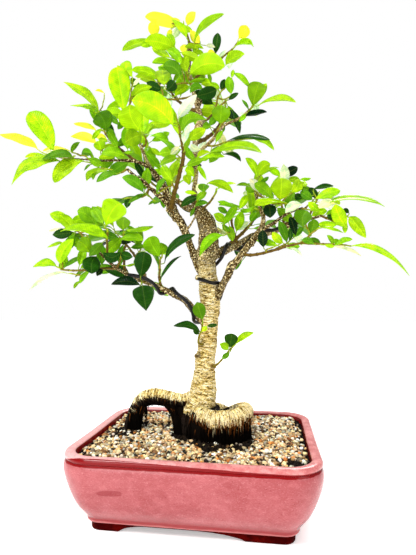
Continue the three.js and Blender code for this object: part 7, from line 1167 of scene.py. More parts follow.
# all round the mass under the coil and the trunk's foot
loop = catmull([[x, y, 0, 0] for x, y in np.vstack([ROOT_OUTLINE, ROOT_OUTLINE[:1]])], 0.7)[:-1, :2]
centre = np.array([14.0, -12.0])
for _ in range(430):
    q = loop[rr.randrange(len(loop))]
    o = unit((q - centre)[None])[0]
    left = float(smooth(10, -6, q[0]))
    top = rr.uniform(90, 97) + left * rr.uniform(2, 9)
    a = q + o * (rr.uniform(-5.2, -3.0) - 2.5 * left)
    b = q + o * rr.uniform(-4.4, -0.6)
    mid = (a + b) / 2 + np.array([rr.gauss(0, 0.8), rr.gauss(0, 0.8)])
    strand([(a[0], a[1], top), (mid[0], mid[1], (top + 74) / 2), (b[0], b[1], 74.0)], rr.uniform(0.3, 0.6), rr.uniform(0.2, 0.4), rr.choice((0.02, 0.05, 0.1, 0.1, 0.3)), rr.gauss(94, 4), rr)
# the dark mass itself, with upright ridges
nl = len(loop)
levels = [(59, 0.80), (66, 0.86), (72, 0.895), (76, 0.90), (80, 0.895), (84, 0.89), (88, 0.885), (91, 0.875), (93.5, 0.86), (95.0, 0.82), (95.4, 0.74), (93.0, 0.55), (91.0, 0.3)]
cv = []
for z, sc in levels:
    for k, q in enumerate(loop):
        r = 1 + 0.035 * noise.noise(Vector((q[0] * 0.55, q[1] * 0.55, z * 0.03))) + 0.02 * noise.noise(Vector((q[0] * 1.4, q[1] * 1.4, z * 0.06)))
        x, y = centre + (q - centre) * sc * r
        cv.append((x, y, z + 0.8 * noise.noise(Vector((q[0] * 0.3, q[1] * 0.3, z)))))
cf = []
for i in range(len(levels) - 1):
    for k in range(nl):
        k2 = (k + 1) % nl
        cf.append((i * nl + k, i * nl + k2, (i + 1) * nl + k2, (i + 1) * nl + k))
cv += [(centre[0], centre[1], 59), (centre[0], centre[1], 90.5)]
for k in range(nl):
    k2 = (k + 1) % nl
    cf.append((len(cv) - 2, k2, k))
    cf.append((len(cv) - 1, (len(levels) - 1) * nl + k, (len(levels) - 1) * nl + k2))
cv = np.array(cv)
area = 0.5 * np.sum(loop[:, 0] * np.roll(loop[:, 1], -1) - np.roll(loop[:, 0], -1) * loop[:, 1])
if area < 0:
    cf = [q[::-1] for q in cf]
core.add(cv, cf, tint=(0.004, 0.0025, 0.0015))
MASSES = {k: ROOTS[k] for k in ("rootlets_left", "rootlets_left_inner", "rootlets_arch")}
MASSES["under_arch"] = [[-66, -3.4, 107.0, 4.2], [-56, -5.6, 110.4, 4.4], [-44, -7.6, 110.6, 4.4], [-34, -8.6, 108.6, 4.8], [-25, -9.4, 105.0, 5.6], [-15, -10.0, 100.0, 7.0], [-10, -10.5, 92.0, 7.5]]
for name in MASSES:
    p = rounded(catmull(MASSES[name], 2.0))
    p[:, 3] *= 0.9
    sides = 40
    w = np.linspace(0, 2 * np.pi, sides, endpoint=False)
    sq = np.ones((len(p), sides))
    for i in range(len(p)):
        for k in range(sides):
            sq[i, k] = 1 + 0.16 * noise.noise(Vector((4.5 * math.cos(w[k]), 4.5 * math.sin(w[k]), p[i, 2] * 0.05))) + 0.1 * noise.noise(Vector((9 * math.cos(w[k]), 9 * math.sin(w[k]), p[i, 2] * 0.1)))
    v, f = tube(p, p[:, 3], sides, squash=sq)
    core.add(v, f, tint=(0.004, 0.0025, 0.0015))
    # and the strands that cover it
    base = catmull(MASSES[name], 1.5)
    t, a, b = frames(base)
    for _ in range(110 if name != "under_arch" else 0):
        w0 = rr.uniform(0, 2 * math.pi)
        i0 = rr.randrange(0, max(1, len(base) // 2))
        pts = []
        for i in list(range(i0, len(base), 4)) + [len(base) - 1]:
            r = base[i, 3] * 0.95 + rr.uniform(-0.2, 0.5)
            ww = w0 + 0.05 * rr.gauss(0, 1)
            pts.append(base[i, :3] + r * (math.cos(ww) * a[i] + math.sin(ww) * b[i]))
        if len(pts) > 2:
            strand(pts, rr.uniform(0.28, 0.5), rr.uniform(0.2, 0.35), rr.choice((0.02, 0.02, 0.05, 0.3)), rr.gauss(103, 6), rr)
put("rootlet_strands", hair.mesh("rootlet_strands"), [ROOTLET], ["trunk_and_roots"])
put("rootlet_mass", core.mesh("rootlet_mass"), [ROOTLET], ["trunk_and_roots"])

# ------------------------------------------------------------------ training wire
wp = catmull([p + [2.0] for p in WIRE], 1.4)
wp = rounded(wp)
v, f = tube(wp, wp[:, 3], 16)
wg = Geo()
wg.add(v, f)
put("wire_spiral", wg.mesh("wire_spiral"), [WIRE_MAT], ["training_wire"])

# ------------------------------------------------------------------ shoots
# Each leaf: stalk foot, blade base, blade middle, tip, across-blade direction, width, class.
SHOOTS = {
    "apex_shoot": {"t": [[[-14.41, 3, 530.11, 1.57], [-14.73, 2, 536.5, 1.33], [-16.27, 1, 542.24, 1.2], [-18.74, 1, 549.3, 1.09], [-20.96, 1, 555.11, 0.97], [-21.97, 1, 561.45, 0.73]], [[-20.96, 1, 555.11, 0.97], [-31.65, 8, 564.43, 0.98], [-45.5, 13, 574.15, 0.87], [-56.02, 14, 578.4, 0.75]], [[-31.65, 8, 564.43, 0.86], [-37.86, 11, 563.91, 0.74]], [[-16.27, 1, 542.24, 0.96], [-16.95, 6, 534.12, 0.97], [-19.25, 9, 529.82, 0.73]], [[-14.73, 2, 536.5, 0.96], [-7.24, 4, 535.82, 0.97], [-4.07, 7, 537.36, 0.73]]],
        "l": [
            [-25.4, 3.9, 559, -25.8, 9, 563.8, -49.2, 11.2, 574.6, -74.2, 16.6, 585, -0.052, 0.897, -0.439, 19, "Y"],
            [-54.8, 13.9, 577.9, -59.9, 14, 577.5, -65.3, 24.1, 575.6, -68.2, 32.7, 569.2, 0.926, 0.35, -0.14, 15.2, "Y"],
            [-35.2, 9.7, 564.1, -39.5, 12, 562.7, -42.7, 16.7, 560, -43.2, 20, 555.2, 0.94, 0.312, -0.137, 7.4, "Y"],
            [-26, 4.3, 559.5, -25.5, 4, 557.5, -30.1, 0.1, 550.9, -34.3, 0.6, 543, -0.687, -0.497, 0.53, 8.8, "W"],
            [-22.8, 2.2, 556.7, -17, 2, 558.5, -12.9, -6.2, 561.4, -5.5, -9.2, 566.3, -0.76, -0.457, 0.462, 10.9, "Y"],
            [-14.5, 2.7, 531.7, -8.4, 2, 536.7, 2.7, -4.7, 552.3, 27.7, -6.5, 563.3, -0.085, -0.977, -0.197, 19.1, "L"],
            [-5, 6.2, 536.9, -3.6, 8, 539.7, -9, 8.1, 546.5, -16.1, 11.8, 559.1, 0.801, -0.217, 0.558, 10.9, "Y"],
            [-18.7, 8.3, 530.8, -20.1, 10, 528.5, -24, 16.4, 540, -27.6, 25.1, 550.4, 0.943, -0.014, 0.332, 11.8, "Y"],
            [-7.2, 4, 535.8, -3.3, -5, 522.7, -10.7, -6.1, 527.8, -19.4, -7.7, 525.8, -0.205, 0.956, -0.212, 8.2, "L"],
            [-15.2, 1.7, 538.4, -17.5, -4.3, 539.4, -23.2, -6.3, 552.1, -35.1, -4.3, 564, 0.734, 0.429, 0.526, 11.8, "L"],
            [-14.7, 2, 536.5, -8.6, -1, 532, -2.8, 0.3, 530.6, 2.5, 1, 527.7, 0.278, -0.914, 0.296, 5, "L"],
            [-33.7, 9, 564.3, -32.8, 21, 570.7, -22.7, 19, 566, -13.9, 21, 562.4, 0.358, -0.464, 0.81, 7.5, "L"],
            [-4.1, 7, 537.4, 4.3, 7, 534.9, 10.3, 6.3, 533.5, 15.4, 9.3, 532.9, 0.248, -0.481, 0.841, 5.3, "W"],
            [-49, 13.3, 575.6, -47.4, 21.3, 580.6, -39.5, 24, 581.4, -31.1, 24.7, 580.9, 0.101, -0.547, 0.831, 6.7, "Y"],
        ]},
    "top_left_shoot": {"t": [[[-14.11, 3, 508.5, 1.08], [-21.34, 1, 515.39, 1.08], [-27.08, -1, 522.75, 0.96], [-29.72, -3, 526.12, 0.84]], [[-27.08, -1, 522.75, 0.96], [-40.32, 8, 537.33, 0.86], [-54.03, 12, 547.32, 0.87], [-62.28, 14, 551.07, 0.75]], [[-21.34, 1, 515.39, 0.96], [-31.26, 7, 520.86, 0.85], [-37.98, 9, 523.81, 0.74]], [[-27.08, -1, 522.75, 0.84], [-34.53, -6, 524.76, 0.83], [-38.94, -8, 524.44, 0.71]]],
        "l": [
            [-59.6, 13.4, 549.9, -64.9, 14, 551.4, -85.3, 15.7, 551.2, -106.2, 20.8, 546.4, 0.161, 0.987, -0.003, 16.9, "L"],
            [-27.4, -1.3, 523.2, -30.1, -4, 526.8, -48, -9.7, 533.6, -66.4, -10.7, 535.7, -0.265, 0.864, -0.428, 20.2, "L"],
            [-35.1, 8.2, 522.6, -40.1, 10, 524.8, -52.9, 10.4, 533.3, -64.9, 14.3, 542.5, 0.591, 0.219, 0.777, 10.8, "L"],
            [-37.8, -7.5, 524.5, -39.4, -14, 519.8, -28.4, -18.6, 512.9, -21.1, -18.7, 499.9, -0.683, 0.251, -0.686, 11.3, "G"],
            [-54, 12, 547.3, -59.6, 6, 542.4, -66.6, 0.7, 539.6, -74.1, -0, 536.1, 0.127, 0.555, -0.822, 8.7, "L"],
            [-28, -1.7, 523.9, -32.2, -1.7, 531.5, -35.6, -5.6, 537.9, -41, -5.1, 546.6, 0.87, -0.102, 0.482, 9.4, "L"],
            [-28.8, -2.3, 525, -24, -5.3, 521.3, -12.4, -3.8, 516.7, -1.4, -5.3, 510.8, 0.38, -0.418, 0.825, 10.6, "L"],
        ]},
    "top_right_shoot": {"t": [[[-12.48, 3, 488.61, 1.68], [-5.08, 6, 497.04, 1.45], [5.31, 10, 507.08, 1.34], [14.73, 13, 515.5, 1.22], [20.64, 15, 520.41, 1.47]], [[20.88, 15, 521.4, 1.22], [29.34, 14, 526.77, 1.1], [38.46, 13, 533.54, 0.97], [41.88, 13, 538.75, 0.85]]],
        "l": [
            [18.2, 14.2, 518.4, 14.9, 16, 528.5, 16.4, 16.9, 543.8, 17.2, 21.3, 558.8, 0.976, 0.187, -0.109, 10.8, "D"],
            [22.1, 14.9, 522.2, 13.9, 20, 532.2, 8.5, 25.9, 536, 2.3, 30.6, 536.1, 0.196, 0.52, -0.832, 8.9, "Y"],
            [41.2, 13, 537.7, 43.5, 14, 544, 51, 3.8, 546.3, 54.6, -7.7, 546.1, -0.796, -0.36, 0.487, 14.6, "Y"],
            [35.5, 13.3, 531.3, 40.2, 10, 533.1, 54, 5.6, 534.6, 61.9, 5.6, 527.1, -0.154, -0.976, 0.154, 12, "L"],
            [13.2, 12.5, 514.1, 28.8, 4, 507.1, 38.4, -0.7, 513.6, 51.8, -1, 515.6, -0.326, -0.867, 0.376, 14.9, "L"],
            [16.7, 13.7, 517.1, 17.8, 21.7, 524.1, 22.7, 21.9, 531.1, 27.8, 24.3, 537.5, 0.802, -0.222, -0.555, 6.6, "W"],
            [32.4, 13.7, 529, 31.9, 17.7, 525.9, 31.9, 16.5, 517.5, 31.7, 17.7, 509.2, -0.995, -0.1, 0.015, 8.5, "W"],
            [5.3, 10, 507.1, 4.4, 22, 510.3, 6.8, 22.4, 503.6, 7.8, 24.4, 496.8, -0.743, -0.601, -0.294, 6, "G"],
        ]},
    "top_centre_shoot": {"t": [[[-12.73, 1, 490.06, 1.2], [-15.37, -3, 489.89, 1.07], [-15.63, -3, 495.52, 0.95]], [[-15.37, -3, 489.89, 1.07], [-19.25, 3, 503.95, 0.96], [-18.48, 9, 516.56, 0.85], [-15.32, 12, 522.91, 0.86]], [[-19.24, 5.4, 508.99, 0.97], [-14.12, 11, 509.91, 0.86], [-6.43, 14, 505.15, 0.86], [0.37, 15, 501.63, 0.86]]],
        "l": [
            [-16.2, 11.2, 521.2, -14.5, 12, 525.4, -6.2, 11.6, 530.2, 0.9, 14.8, 527.3, 0.133, -0.934, 0.331, 8.5, "L"],
            [-16.5, -1.3, 493.9, -16.6, -3, 498, -18.4, -8.7, 505.5, -14.8, -16.6, 510.1, -0.985, -0.168, -0.044, 11.9, "L"],
            [-15.6, -2.7, 490.6, -13.1, -6, 492.5, 7.2, -13.1, 500.3, 29.9, -15.2, 494.2, -0.14, -0.494, 0.858, 24.1, "L"],
            [-0.8, 14.8, 502.2, 2.7, 7, 497.7, 11.8, 7, 502.5, 23.3, 10.7, 505.3, 0.167, -0.986, 0.027, 9.2, "L"],
            [-4.6, 14.3, 504.2, -6.7, 35, 508.6, -5.8, 39.6, 515.3, -7.8, 45.5, 521.3, 0.975, 0.205, -0.089, 9.8, "D"],
            [-11.6, 12, 508.3, -16.1, 16, 506.9, -24.3, 11.7, 496.1, -34.2, 10.6, 486, -0.606, -0.467, 0.644, 13.3, "G"],
            [-19.3, 3, 504, -16.5, 11, 505, -5.9, 13.1, 500.1, 2, 18.5, 493.8, 0.582, -0.306, 0.753, 12.4, "G"],
            [-15.3, 12, 522.9, -13.1, 16, 531.7, -8.7, 14.8, 540.2, -5.2, 16, 549.1, 0.84, 0.382, -0.385, 9.5, "G"],
        ]},
    "crown_left_shoot": {"t": [[[-11.99, 1, 485.09, 1.08], [-19.63, -1, 485.86, 1.07], [-30.83, 0, 485.22, 0.96], [-40.88, 1, 481.52, 0.84], [-44.84, 2, 481.81, 0.73]], [[-19.63, -1, 485.86, 0.96], [-22.79, 6, 499.63, 0.85], [-25.71, 8, 508.43, 0.73]]],
        "l": [
            [-25, 7.5, 506.3, -26.5, 8, 510.4, -43.8, 9.3, 519.7, -64.2, 14.1, 523.2, 0.099, 0.98, -0.174, 15.2, "L"],
            [-20.7, -0.9, 485.8, -24.4, -6, 491.6, -31.4, -11, 500.4, -44.7, -11.5, 502.2, -0.506, 0.326, -0.798, 15.6, "M"],
            [-43.6, 1.7, 481.7, -46, 4, 486.6, -50.9, 15.5, 506.1, -56.1, 30.9, 523.3, 0.975, 0.168, 0.147, 20.4, "L"],
            [-43.6, 1.7, 481.7, -42.1, -4, 476.8, -33.4, -10.6, 478.6, -27.9, -18.8, 479.7, -0.62, -0.473, 0.626, 12.9, "D"],
            [-42.2, 1.3, 481.6, -42.8, 9.3, 479.4, -40.7, 8.2, 471, -39, 9.3, 462.6, -0.968, -0.127, -0.215, 6.5, "W"],
        ]},
    "crown_low_left_shoot": {"t": [[[-9.53, 1, 470.22, 1.19], [-20.18, 2, 468.98, 1.2], [-33.89, 3, 468.66, 1.09], [-47.14, 4, 471.77, 1.09], [-48.55, 4, 479.33, 0.97], [-52.86, 4, 489.61, 0.85], [-55.13, 3, 495.51, 0.73]]],
        "l": [
            [-48.9, 4, 480.1, -49.1, 4, 483.1, -58.3, -0.3, 484.5, -66.7, -0.1, 491, -0.448, 0.316, -0.836, 11.7, "D"],
            [-54.2, 3.4, 493.1, -55, -4, 495.8, -69.4, -8.9, 500.7, -83.2, -9.3, 501.8, -0.239, 0.919, -0.312, 13.3, "L"],
            [-54, 3.5, 492.7, -58.9, 10, 496.4, -71.5, 10.3, 501.9, -85.8, 14.2, 507.3, -0.067, 0.862, -0.502, 12.7, "L"],
            [-38.3, 3.3, 469.7, -34.2, 7.3, 475, -26.6, 7.8, 482.8, -17.3, 11.7, 489.1, 0.487, 0.474, -0.734, 9.3, "L"],
        ]},
    "tall_leaf_shoot": {"t": [[[-85.03, -15, 433.99, 1.41], [-85.95, -14, 442.89, 1.3], [-85.71, -10, 455.55, 1.19], [-84.67, -6, 467.12, 0.96]], [[-84.67, -6, 467.12, 0.96], [-79.2, 0, 478.29, 0.85], [-75.48, 4, 486.75, 0.73]], [[-85.71, -10, 455.55, 0.95], [-85.22, -6, 472.08, 0.96], [-84.61, -3, 488.37, 0.85], [-84.5, -2, 495.1, 0.73]]],
        "l": [
            [-76, 3.5, 485.7, -75.5, 4, 488.1, -82.6, 3.9, 492, -90.2, 7.4, 502.2, 0.658, -0.18, 0.731, 9.6, "M"],
            [-84.7, -6, 467.1, -85.4, -2, 469.6, -73.7, -6.8, 478.9, -58.5, -7.1, 481.4, -0.266, -0.944, 0.194, 15.4, "L"],
            [-84.5, -2.4, 492.7, -84.4, -2, 497.6, -95.3, 6, 514, -98.9, 17.5, 530.8, 0.935, 0.128, 0.331, 16, "L"],
            [-85.7, -14.3, 440.5, -88.2, -21, 446.6, -90.1, -28.8, 471.1, -93.7, -31.5, 494.6, 0.951, 0.26, 0.165, 25.7, "L"],
            [-85.4, -7.3, 466.6, -92.8, 0.7, 468.9, -106.8, 3.7, 467.1, -120.4, 5.1, 461.8, 0.239, 0.898, -0.37, 11.1, "L"],
            [-85.9, -12.7, 447.1, -89.6, -12.7, 441.8, -94.7, -10.2, 436.7, -99.4, -9.6, 430.6, 0.72, 0.478, -0.503, 7.7, "M"],
            [-84.6, -2.7, 490.6, -86.5, -5.7, 492.5, -93.9, -7.1, 502.6, -102.6, -5.7, 511.6, 0.653, 0.521, 0.55, 9.5, "L"],
            [-84.8, -4, 482.9, -80.6, -10, 482.3, -76.4, -10.8, 486.7, -72.8, -7.9, 492.8, 0.809, -0.058, -0.585, 5.3, "W"],
        ]},
    "crown_front_shoot": {"t": [[[-10.95, -2, 480.32, 1.07], [-2.02, -5, 477.44, 1.06], [7.8, -7, 471.17, 0.94], [13.57, -6, 470.78, 0.82]]],
        "l": [
            [12.3, -6.2, 470.9, 19.4, -9, 471.3, 11.8, -16.1, 464.3, -1.9, -18.3, 460.4, -0.235, -0.461, 0.856, 15.3, "D"],
            [8.6, -6.9, 471.1, 3.2, -8, 472.2, -4.6, -11.9, 475.3, -11.6, -11.5, 467.7, 0.155, 0.465, -0.872, 8.4, "M"],
            [-10.9, -2, 480.3, -15.2, -5, 483.5, -2.9, -9.2, 483.2, 8.1, -9, 485, -0.163, -0.984, -0.076, 11, "G"],
            [-6.9, -3.3, 479, 0.5, -2, 482, 7.2, -7.9, 481.1, 12.5, -15, 476.8, -0.134, -0.474, 0.87, 10, "L"],
        ]},
    "crown_right_shoot": {"t": [[[-0.08, -2, 439.13, 1.89], [7.07, -2, 439.18, 1.53], [14.07, -1, 445.91, 1.3], [20.97, 1, 454.8, 1.18], [29.09, 3, 462.45, 1.07]], [[14.07, -1, 445.91, 1.3], [17.64, -1, 455.32, 1.18], [19.55, -1, 464.84, 1.06], [23.01, 0, 472.33, 0.94]], [[19.55, -1, 464.84, 0.94], [27.13, -1, 462.64, 0.94], [33.6, -2, 464.6, 0.82]], [[23.01, 0, 472.33, 0.83], [29.02, 4, 479.96, 0.83], [34.83, 6, 489.1, 0.6]]],
        "l": [
            [27.5, 3, 478, 21.6, 6, 479.8, 15.8, 5.6, 483.2, 8.6, 9, 488.1, 0.444, -0.364, 0.819, 7.2, "L"],
            [22.3, -0.2, 470.7, 23.3, 2, 475.7, 26, -0.5, 481.1, 28.4, -1.1, 487.1, 0.904, 0.269, -0.333, 7.8, "D"],
            [32.4, -1.8, 464.2, 36, -5, 466.3, 34.6, -8.6, 475.9, 33.2, -9.3, 486, 0.989, 0.016, 0.145, 10.5, "G"],
            [33.1, 5.4, 486.4, 35.6, 6, 491.5, 36.8, 6.3, 497.2, 37.8, 8.1, 502.7, 0.952, 0.204, -0.228, 4.8, "L"],
            [27.1, -1, 462.6, 33, -8, 458.2, 38.5, -8.7, 462.2, 44.8, -10.3, 464.6, -0.345, -0.883, 0.317, 7, "D"],
            [29.1, 3, 462.5, 29.9, 15, 462.4, 34.4, 15.5, 451.6, 37.4, 19.6, 441.9, -0.941, 0.063, -0.332, 9.5, "L"],
            [17.6, -1, 455.3, 13.4, 7, 461.4, -0.1, 9.5, 472.3, -12.4, 15.9, 483.7, 0.567, -0.288, 0.772, 14.9, "D"],
        ]},
    "crown_outer_right_shoot": {"t": [[[59.66, 4, 453.04, 1.29], [62.07, 3, 459.03, 1.17], [61.55, 6, 470.14, 0.95], [58.99, 6, 475.16, 0.83]], [[60.84, 4, 455.25, 0.94], [57.1, -2, 446.81, 0.93], [53.62, -7, 439.63, 0.69]]],
        "l": [
            [61.3, 6, 470.6, 57.5, 2, 475, 49.7, -2.6, 485.4, 39.1, -2.7, 493.2, 0.496, 0.577, 0.649, 11.7, "G"],
            [57.4, -1.5, 447.5, 61.4, -6, 449.5, 65, -20, 459.5, 69.5, -36.5, 462.7, -0.958, -0.147, 0.248, 21.3, "G"],
            [60.8, 4, 455.2, 67.1, 10, 457.7, 89.1, 12.4, 466.5, 111.4, 18, 462.7, 0.184, -0.981, -0.06, 19.9, "L"],
            [54.1, -6.3, 440.6, 52.5, -8, 437.6, 64.1, -12.4, 439.1, 77.1, -12.4, 439.8, -0.184, -0.975, 0.125, 13.1, "K"],
            [55.6, -4.2, 443.7, 56.1, -5, 446.7, 53, -6.9, 452.7, 48.7, -7.3, 458.2, 0.561, 0.662, 0.497, 5.8, "M"],
            [61.3, 3.3, 457, 64, 0.3, 459.5, 71.1, 1.2, 470.6, 77.2, 5.2, 481.7, 0.798, 0.277, -0.536, 9.8, "L"],
            [60.7, 6, 471.8, 61.1, 18, 471.8, 62.6, 18.7, 460.7, 64.2, 22.6, 450.2, -0.99, 0.03, -0.135, 10.4, "W"],
            [57.1, -2, 446.8, 53.8, -2, 443.4, 49.8, -4.1, 438.4, 45.3, -4.5, 433.6, -0.674, -0.327, 0.663, 5.4, "G"],
        ]},
    "left_tip_shoot": {"t": [[[-141, -37, 387.98, 1.14], [-152.1, -39, 388.31, 1.02], [-160.79, -41, 390.14, 0.91], [-169.37, -42, 391.38, 0.8], [-177.37, -42, 395.25, 0.68]], [[-152.1, -39, 388.31, 0.8], [-151.9, -44, 384.13, 0.68]], [[-144.14, -38, 387.92, 1.02], [-137.68, -44, 388.25, 0.9], [-133.6, -51, 385.93, 0.88]]],
        "l": [
            [-176.2, -42, 394.7, -181.9, -44, 398.7, -206, -41.7, 413.1, -233.6, -36.3, 422.5, 0.366, 0.75, 0.551, 21.3, "Y"],
            [-164.1, -41.4, 390.6, -166.4, -38, 396.5, -173.6, -46, 419.5, -190.3, -48.8, 440.9, 0.823, 0.255, 0.507, 24.8, "L"],
            [-172.5, -42, 392.9, -178.1, -34, 394.3, -191.5, -31.4, 396.3, -205.4, -30.2, 395.2, 0.112, 0.899, -0.424, 8.6, "L"],
            [-134.2, -49.9, 386.3, -134.9, -52, 383, -147.5, -57.4, 387.1, -168, -58.2, 382, -0.141, 0.64, 0.756, 18.6, "M"],
            [-151.9, -43, 385, -151.2, -50, 381.2, -182.3, -58.2, 378.8, -201.8, -61.2, 353.4, -0.494, 0.541, 0.68, 28.8, "L"],
            [-152.1, -39, 388.3, -157, -45, 389.2, -164, -45.4, 392.9, -173.8, -42, 396.1, 0.353, -0.149, 0.924, 6.3, "W"],
            [-160.8, -41, 390.1, -168.6, -37, 389.8, -181.9, -34.1, 388.1, -195.1, -33, 383.5, 0.243, 0.834, -0.495, 10, "L"],
        ]},
    "left_tip_inner_shoot": {"t": [[[-112.78, -30, 385.69, 1.15], [-118.59, -36, 381.72, 0.91], [-121.02, -44, 380.87, 0.78]], [[-118.59, -36, 381.72, 1.02], [-120.46, -40, 383.96, 0.9], [-126.17, -38, 389.25, 0.91], [-135.72, -33, 393.25, 0.8], [-145.73, -30, 397.82, 0.81]], [[-112.78, -30, 385.69, 0.92], [-117.59, -24, 380.08, 0.81], [-120.7, -20, 378.12, 0.7]], [[-117.59, -24, 380.08, 0.81], [-105.47, -30, 377, 0.69], [-98.72, -32, 375.16, 0.57]]],
        "l": [
            [-144.6, -30.3, 397.3, -151.7, -26, 401.4, -167.7, -25.1, 405.4, -188.3, -20.7, 405.1, 0.129, 0.981, -0.143, 13.3, "Y"],
            [-120.6, -42.8, 381, -123.9, -48, 380.4, -142.5, -54, 373.7, -155.2, -55.2, 356.1, -0.629, 0.257, 0.734, 21.7, "L"],
            [-143.4, -30.7, 396.8, -144.7, -35, 395.6, -140.5, -38.5, 401.4, -133.9, -37.7, 406.6, -0.395, -0.902, 0.173, 6.7, "M"],
            [-142, -31.1, 396.1, -136.8, -28, 393.6, -126.4, -36.7, 395, -117.1, -40.3, 391, -0.121, -0.384, 0.915, 9.3, "M"],
            [-117.4, -34.8, 382.5, -121.3, -38, 379.8, -122.7, -40.9, 377.2, -127.6, -39.7, 372.9, -0.737, 0.317, 0.597, 4.2, "M"],
            [-99.9, -31.6, 375.5, -101, -23, 377.5, -122.4, -21.6, 377.4, -134.5, -16.9, 367.4, 0.183, 0.983, -0.016, 16.8, "L"],
            [-118.2, -23.2, 379.7, -121.4, -20, 377.2, -125.2, -18.3, 373.4, -126.1, -17.9, 368, 0.831, 0.454, -0.321, 4.1, "G"],
            [-126.2, -38, 389.3, -120.2, -44, 385.2, -113.3, -41.5, 381.4, -107.2, -36.5, 378.3, -0.502, 0.081, -0.861, 9.5, "G"],
            [-116.7, -34, 383, -122, -26, 389, -125.2, -25.5, 395.3, -129.6, -24, 400.9, 0.596, 0.763, 0.249, 5.1, "G"],
        ]},
    "left_high_shoot": {"t": [[[-73.9, -18, 387.65, 1.74], [-85, -14, 397.22, 1.65], [-97.57, -10, 407.66, 1.55], [-108.01, -9, 417.07, 1.32], [-116.54, -10, 429.36, 1.2]], [[-116.54, -10, 429.36, 1.2], [-115, -11, 437.42, 1.08], [-118.47, -12, 445.76, 0.96], [-121.39, -13, 450.89, 0.84]], [[-121.39, -13, 450.89, 0.72], [-120.69, -4, 465.51, 0.73], [-121.48, 2, 479.69, 0.62]], [[-116.54, -10, 429.36, 0.84], [-124.52, -6, 432.63, 0.73]], [[-97.57, -10, 407.66, 1.19], [-105.48, -12, 404.93, 1.07], [-113.34, -14, 401.73, 0.95], [-120.46, -12, 408.11, 0.84]], [[-97.57, -10, 407.66, 0.95], [-91.43, -20, 397.87, 0.81], [-86.84, -26, 392.08, 0.69]]],
        "l": [
            [-118.8, -12.1, 446.4, -120.3, -18, 451.3, -135, -25.2, 470.4, -160.4, -27.5, 484.1, 0.255, 0.8, 0.544, 21.4, "L"],
            [-121.4, -13, 450.9, -129.5, -10, 453.5, -138, -9, 461.9, -162.7, -4.6, 466.5, 0.362, 0.67, 0.648, 13.4, "L"],
            [-112.6, -9.5, 423.7, -111.6, -16, 426.5, -109.3, -31.5, 434.6, -110.1, -48.1, 434.3, -0.872, -0.154, -0.464, 24.1, "M"],
            [-123.4, -6.5, 432.2, -129.2, -4, 433, -142.8, -3.3, 440.6, -160.6, 0.9, 446.5, 0.379, 0.675, 0.634, 12.2, "Y"],
            [-119.5, -12.3, 407.3, -127, -8, 414.5, -142.3, -6.9, 425, -163.2, -2.3, 428.8, 0.389, 0.433, 0.813, 14.3, "Y"],
            [-121.4, 1.5, 478.5, -121.5, 2, 482, -128.6, 1.2, 485.9, -134.2, 4.2, 487.2, 0.406, 0.457, 0.791, 4.8, "Y"],
            [-87.5, -25.2, 392.9, -84.9, -28, 390.6, -96.8, -32.7, 395.4, -110.5, -33, 393.9, 0.052, 0.345, 0.937, 15, "G"],
            [-117.2, -12.9, 405.2, -118.3, -11, 404, -117.5, -20.2, 408.8, -115.2, -30.1, 410.3, -0.911, -0.253, -0.325, 14.3, "L"],
            [-108.9, -9.1, 418.3, -115, -4, 421, -122.6, -3.5, 425.5, -130.8, -1.2, 425.7, 0.225, -0.281, 0.933, 7.3, "Y"],
            [-93.1, -11.4, 403.9, -97.3, -14, 406.7, -105.9, -17.7, 408.9, -114.6, -17.1, 404.8, -0.159, 0.978, -0.133, 8.4, "L"],
            [-121.4, -13, 450.9, -120.7, -5, 454.2, -107.5, -3.2, 453.6, -94.4, -5, 451.5, 0.095, -0.388, 0.917, 13.9, "L"],
            [-85, -14, 397.2, -84.4, -17, 402.7, -83.9, -21.6, 415.3, -84.6, -22.5, 428.7, 0.951, 0.301, 0.069, 13.5, "G"],
            [-77.6, -16.7, 390.8, -84.8, -12.7, 388.8, -98, -10.9, 383.6, -111.4, -5.8, 377.2, 0.453, 0.42, -0.787, 14.1, "M"],
            [-115, -11, 437.4, -114, -7, 435.2, -109.1, -6.4, 427.4, -104.7, -3.2, 420, -0.837, -0.102, -0.538, 8.9, "M"],
            [-95.5, -13.3, 404.4, -104, -5.3, 401.6, -114.3, -1.2, 394.2, -124, -0.2, 384.9, 0.635, 0.46, -0.62, 10.6, "G"],
            [-115, -11, 437.4, -117.4, -17, 429.6, -121.6, -19.6, 422.7, -127, -20.3, 416.3, -0.634, -0.509, 0.582, 6.3, "L"],
            [-119.2, -8.7, 430.5, -125.6, -0.7, 440.6, -132.7, 0.2, 456, -140.4, 5, 470.7, 0.893, 0.195, 0.405, 11.2, "G"],
            [-91.4, -20, 397.9, -96.9, -20, 397, -108.3, -16.5, 396.6, -120.3, -15.8, 395, 0.145, 0.382, -0.913, 8.8, "L"],
            [-121.2, -10, 455.8, -113.3, -13, 448.5, -103, -17.2, 440.7, -96.3, -16.9, 433, -0.661, 0.08, -0.746, 7.5, "M"],
            [-105.5, -12, 404.9, -104.4, 0, 413.1, -93.5, -4.5, 418.1, -83.6, -4.6, 423.8, -0.484, -0.461, 0.744, 9.9, "M"],
            [-91.4, -20, 397.9, -94.3, -23, 403.3, -99.2, -25, 412.9, -106.7, -23, 423.6, 0.847, 0.118, 0.518, 8.9, "G"],
            [-118.5, -12, 445.8, -121.5, 0, 447.8, -114.3, 0.7, 437.2, -111.1, 4.9, 427, -0.871, -0.144, -0.469, 9.9, "D"],
            [-77.6, -16.7, 390.8, -77.3, -12.7, 389.3, -71.5, -12.1, 380.1, -67.6, -9.1, 370.4, -0.663, -0.593, -0.456, 9, "D"],
            [-104.5, -9.3, 413.9, -108.9, -15.3, 414, -116, -14.9, 416.6, -122.7, -12.8, 419.5, 0.327, -0.23, 0.916, 5.8, "L"],
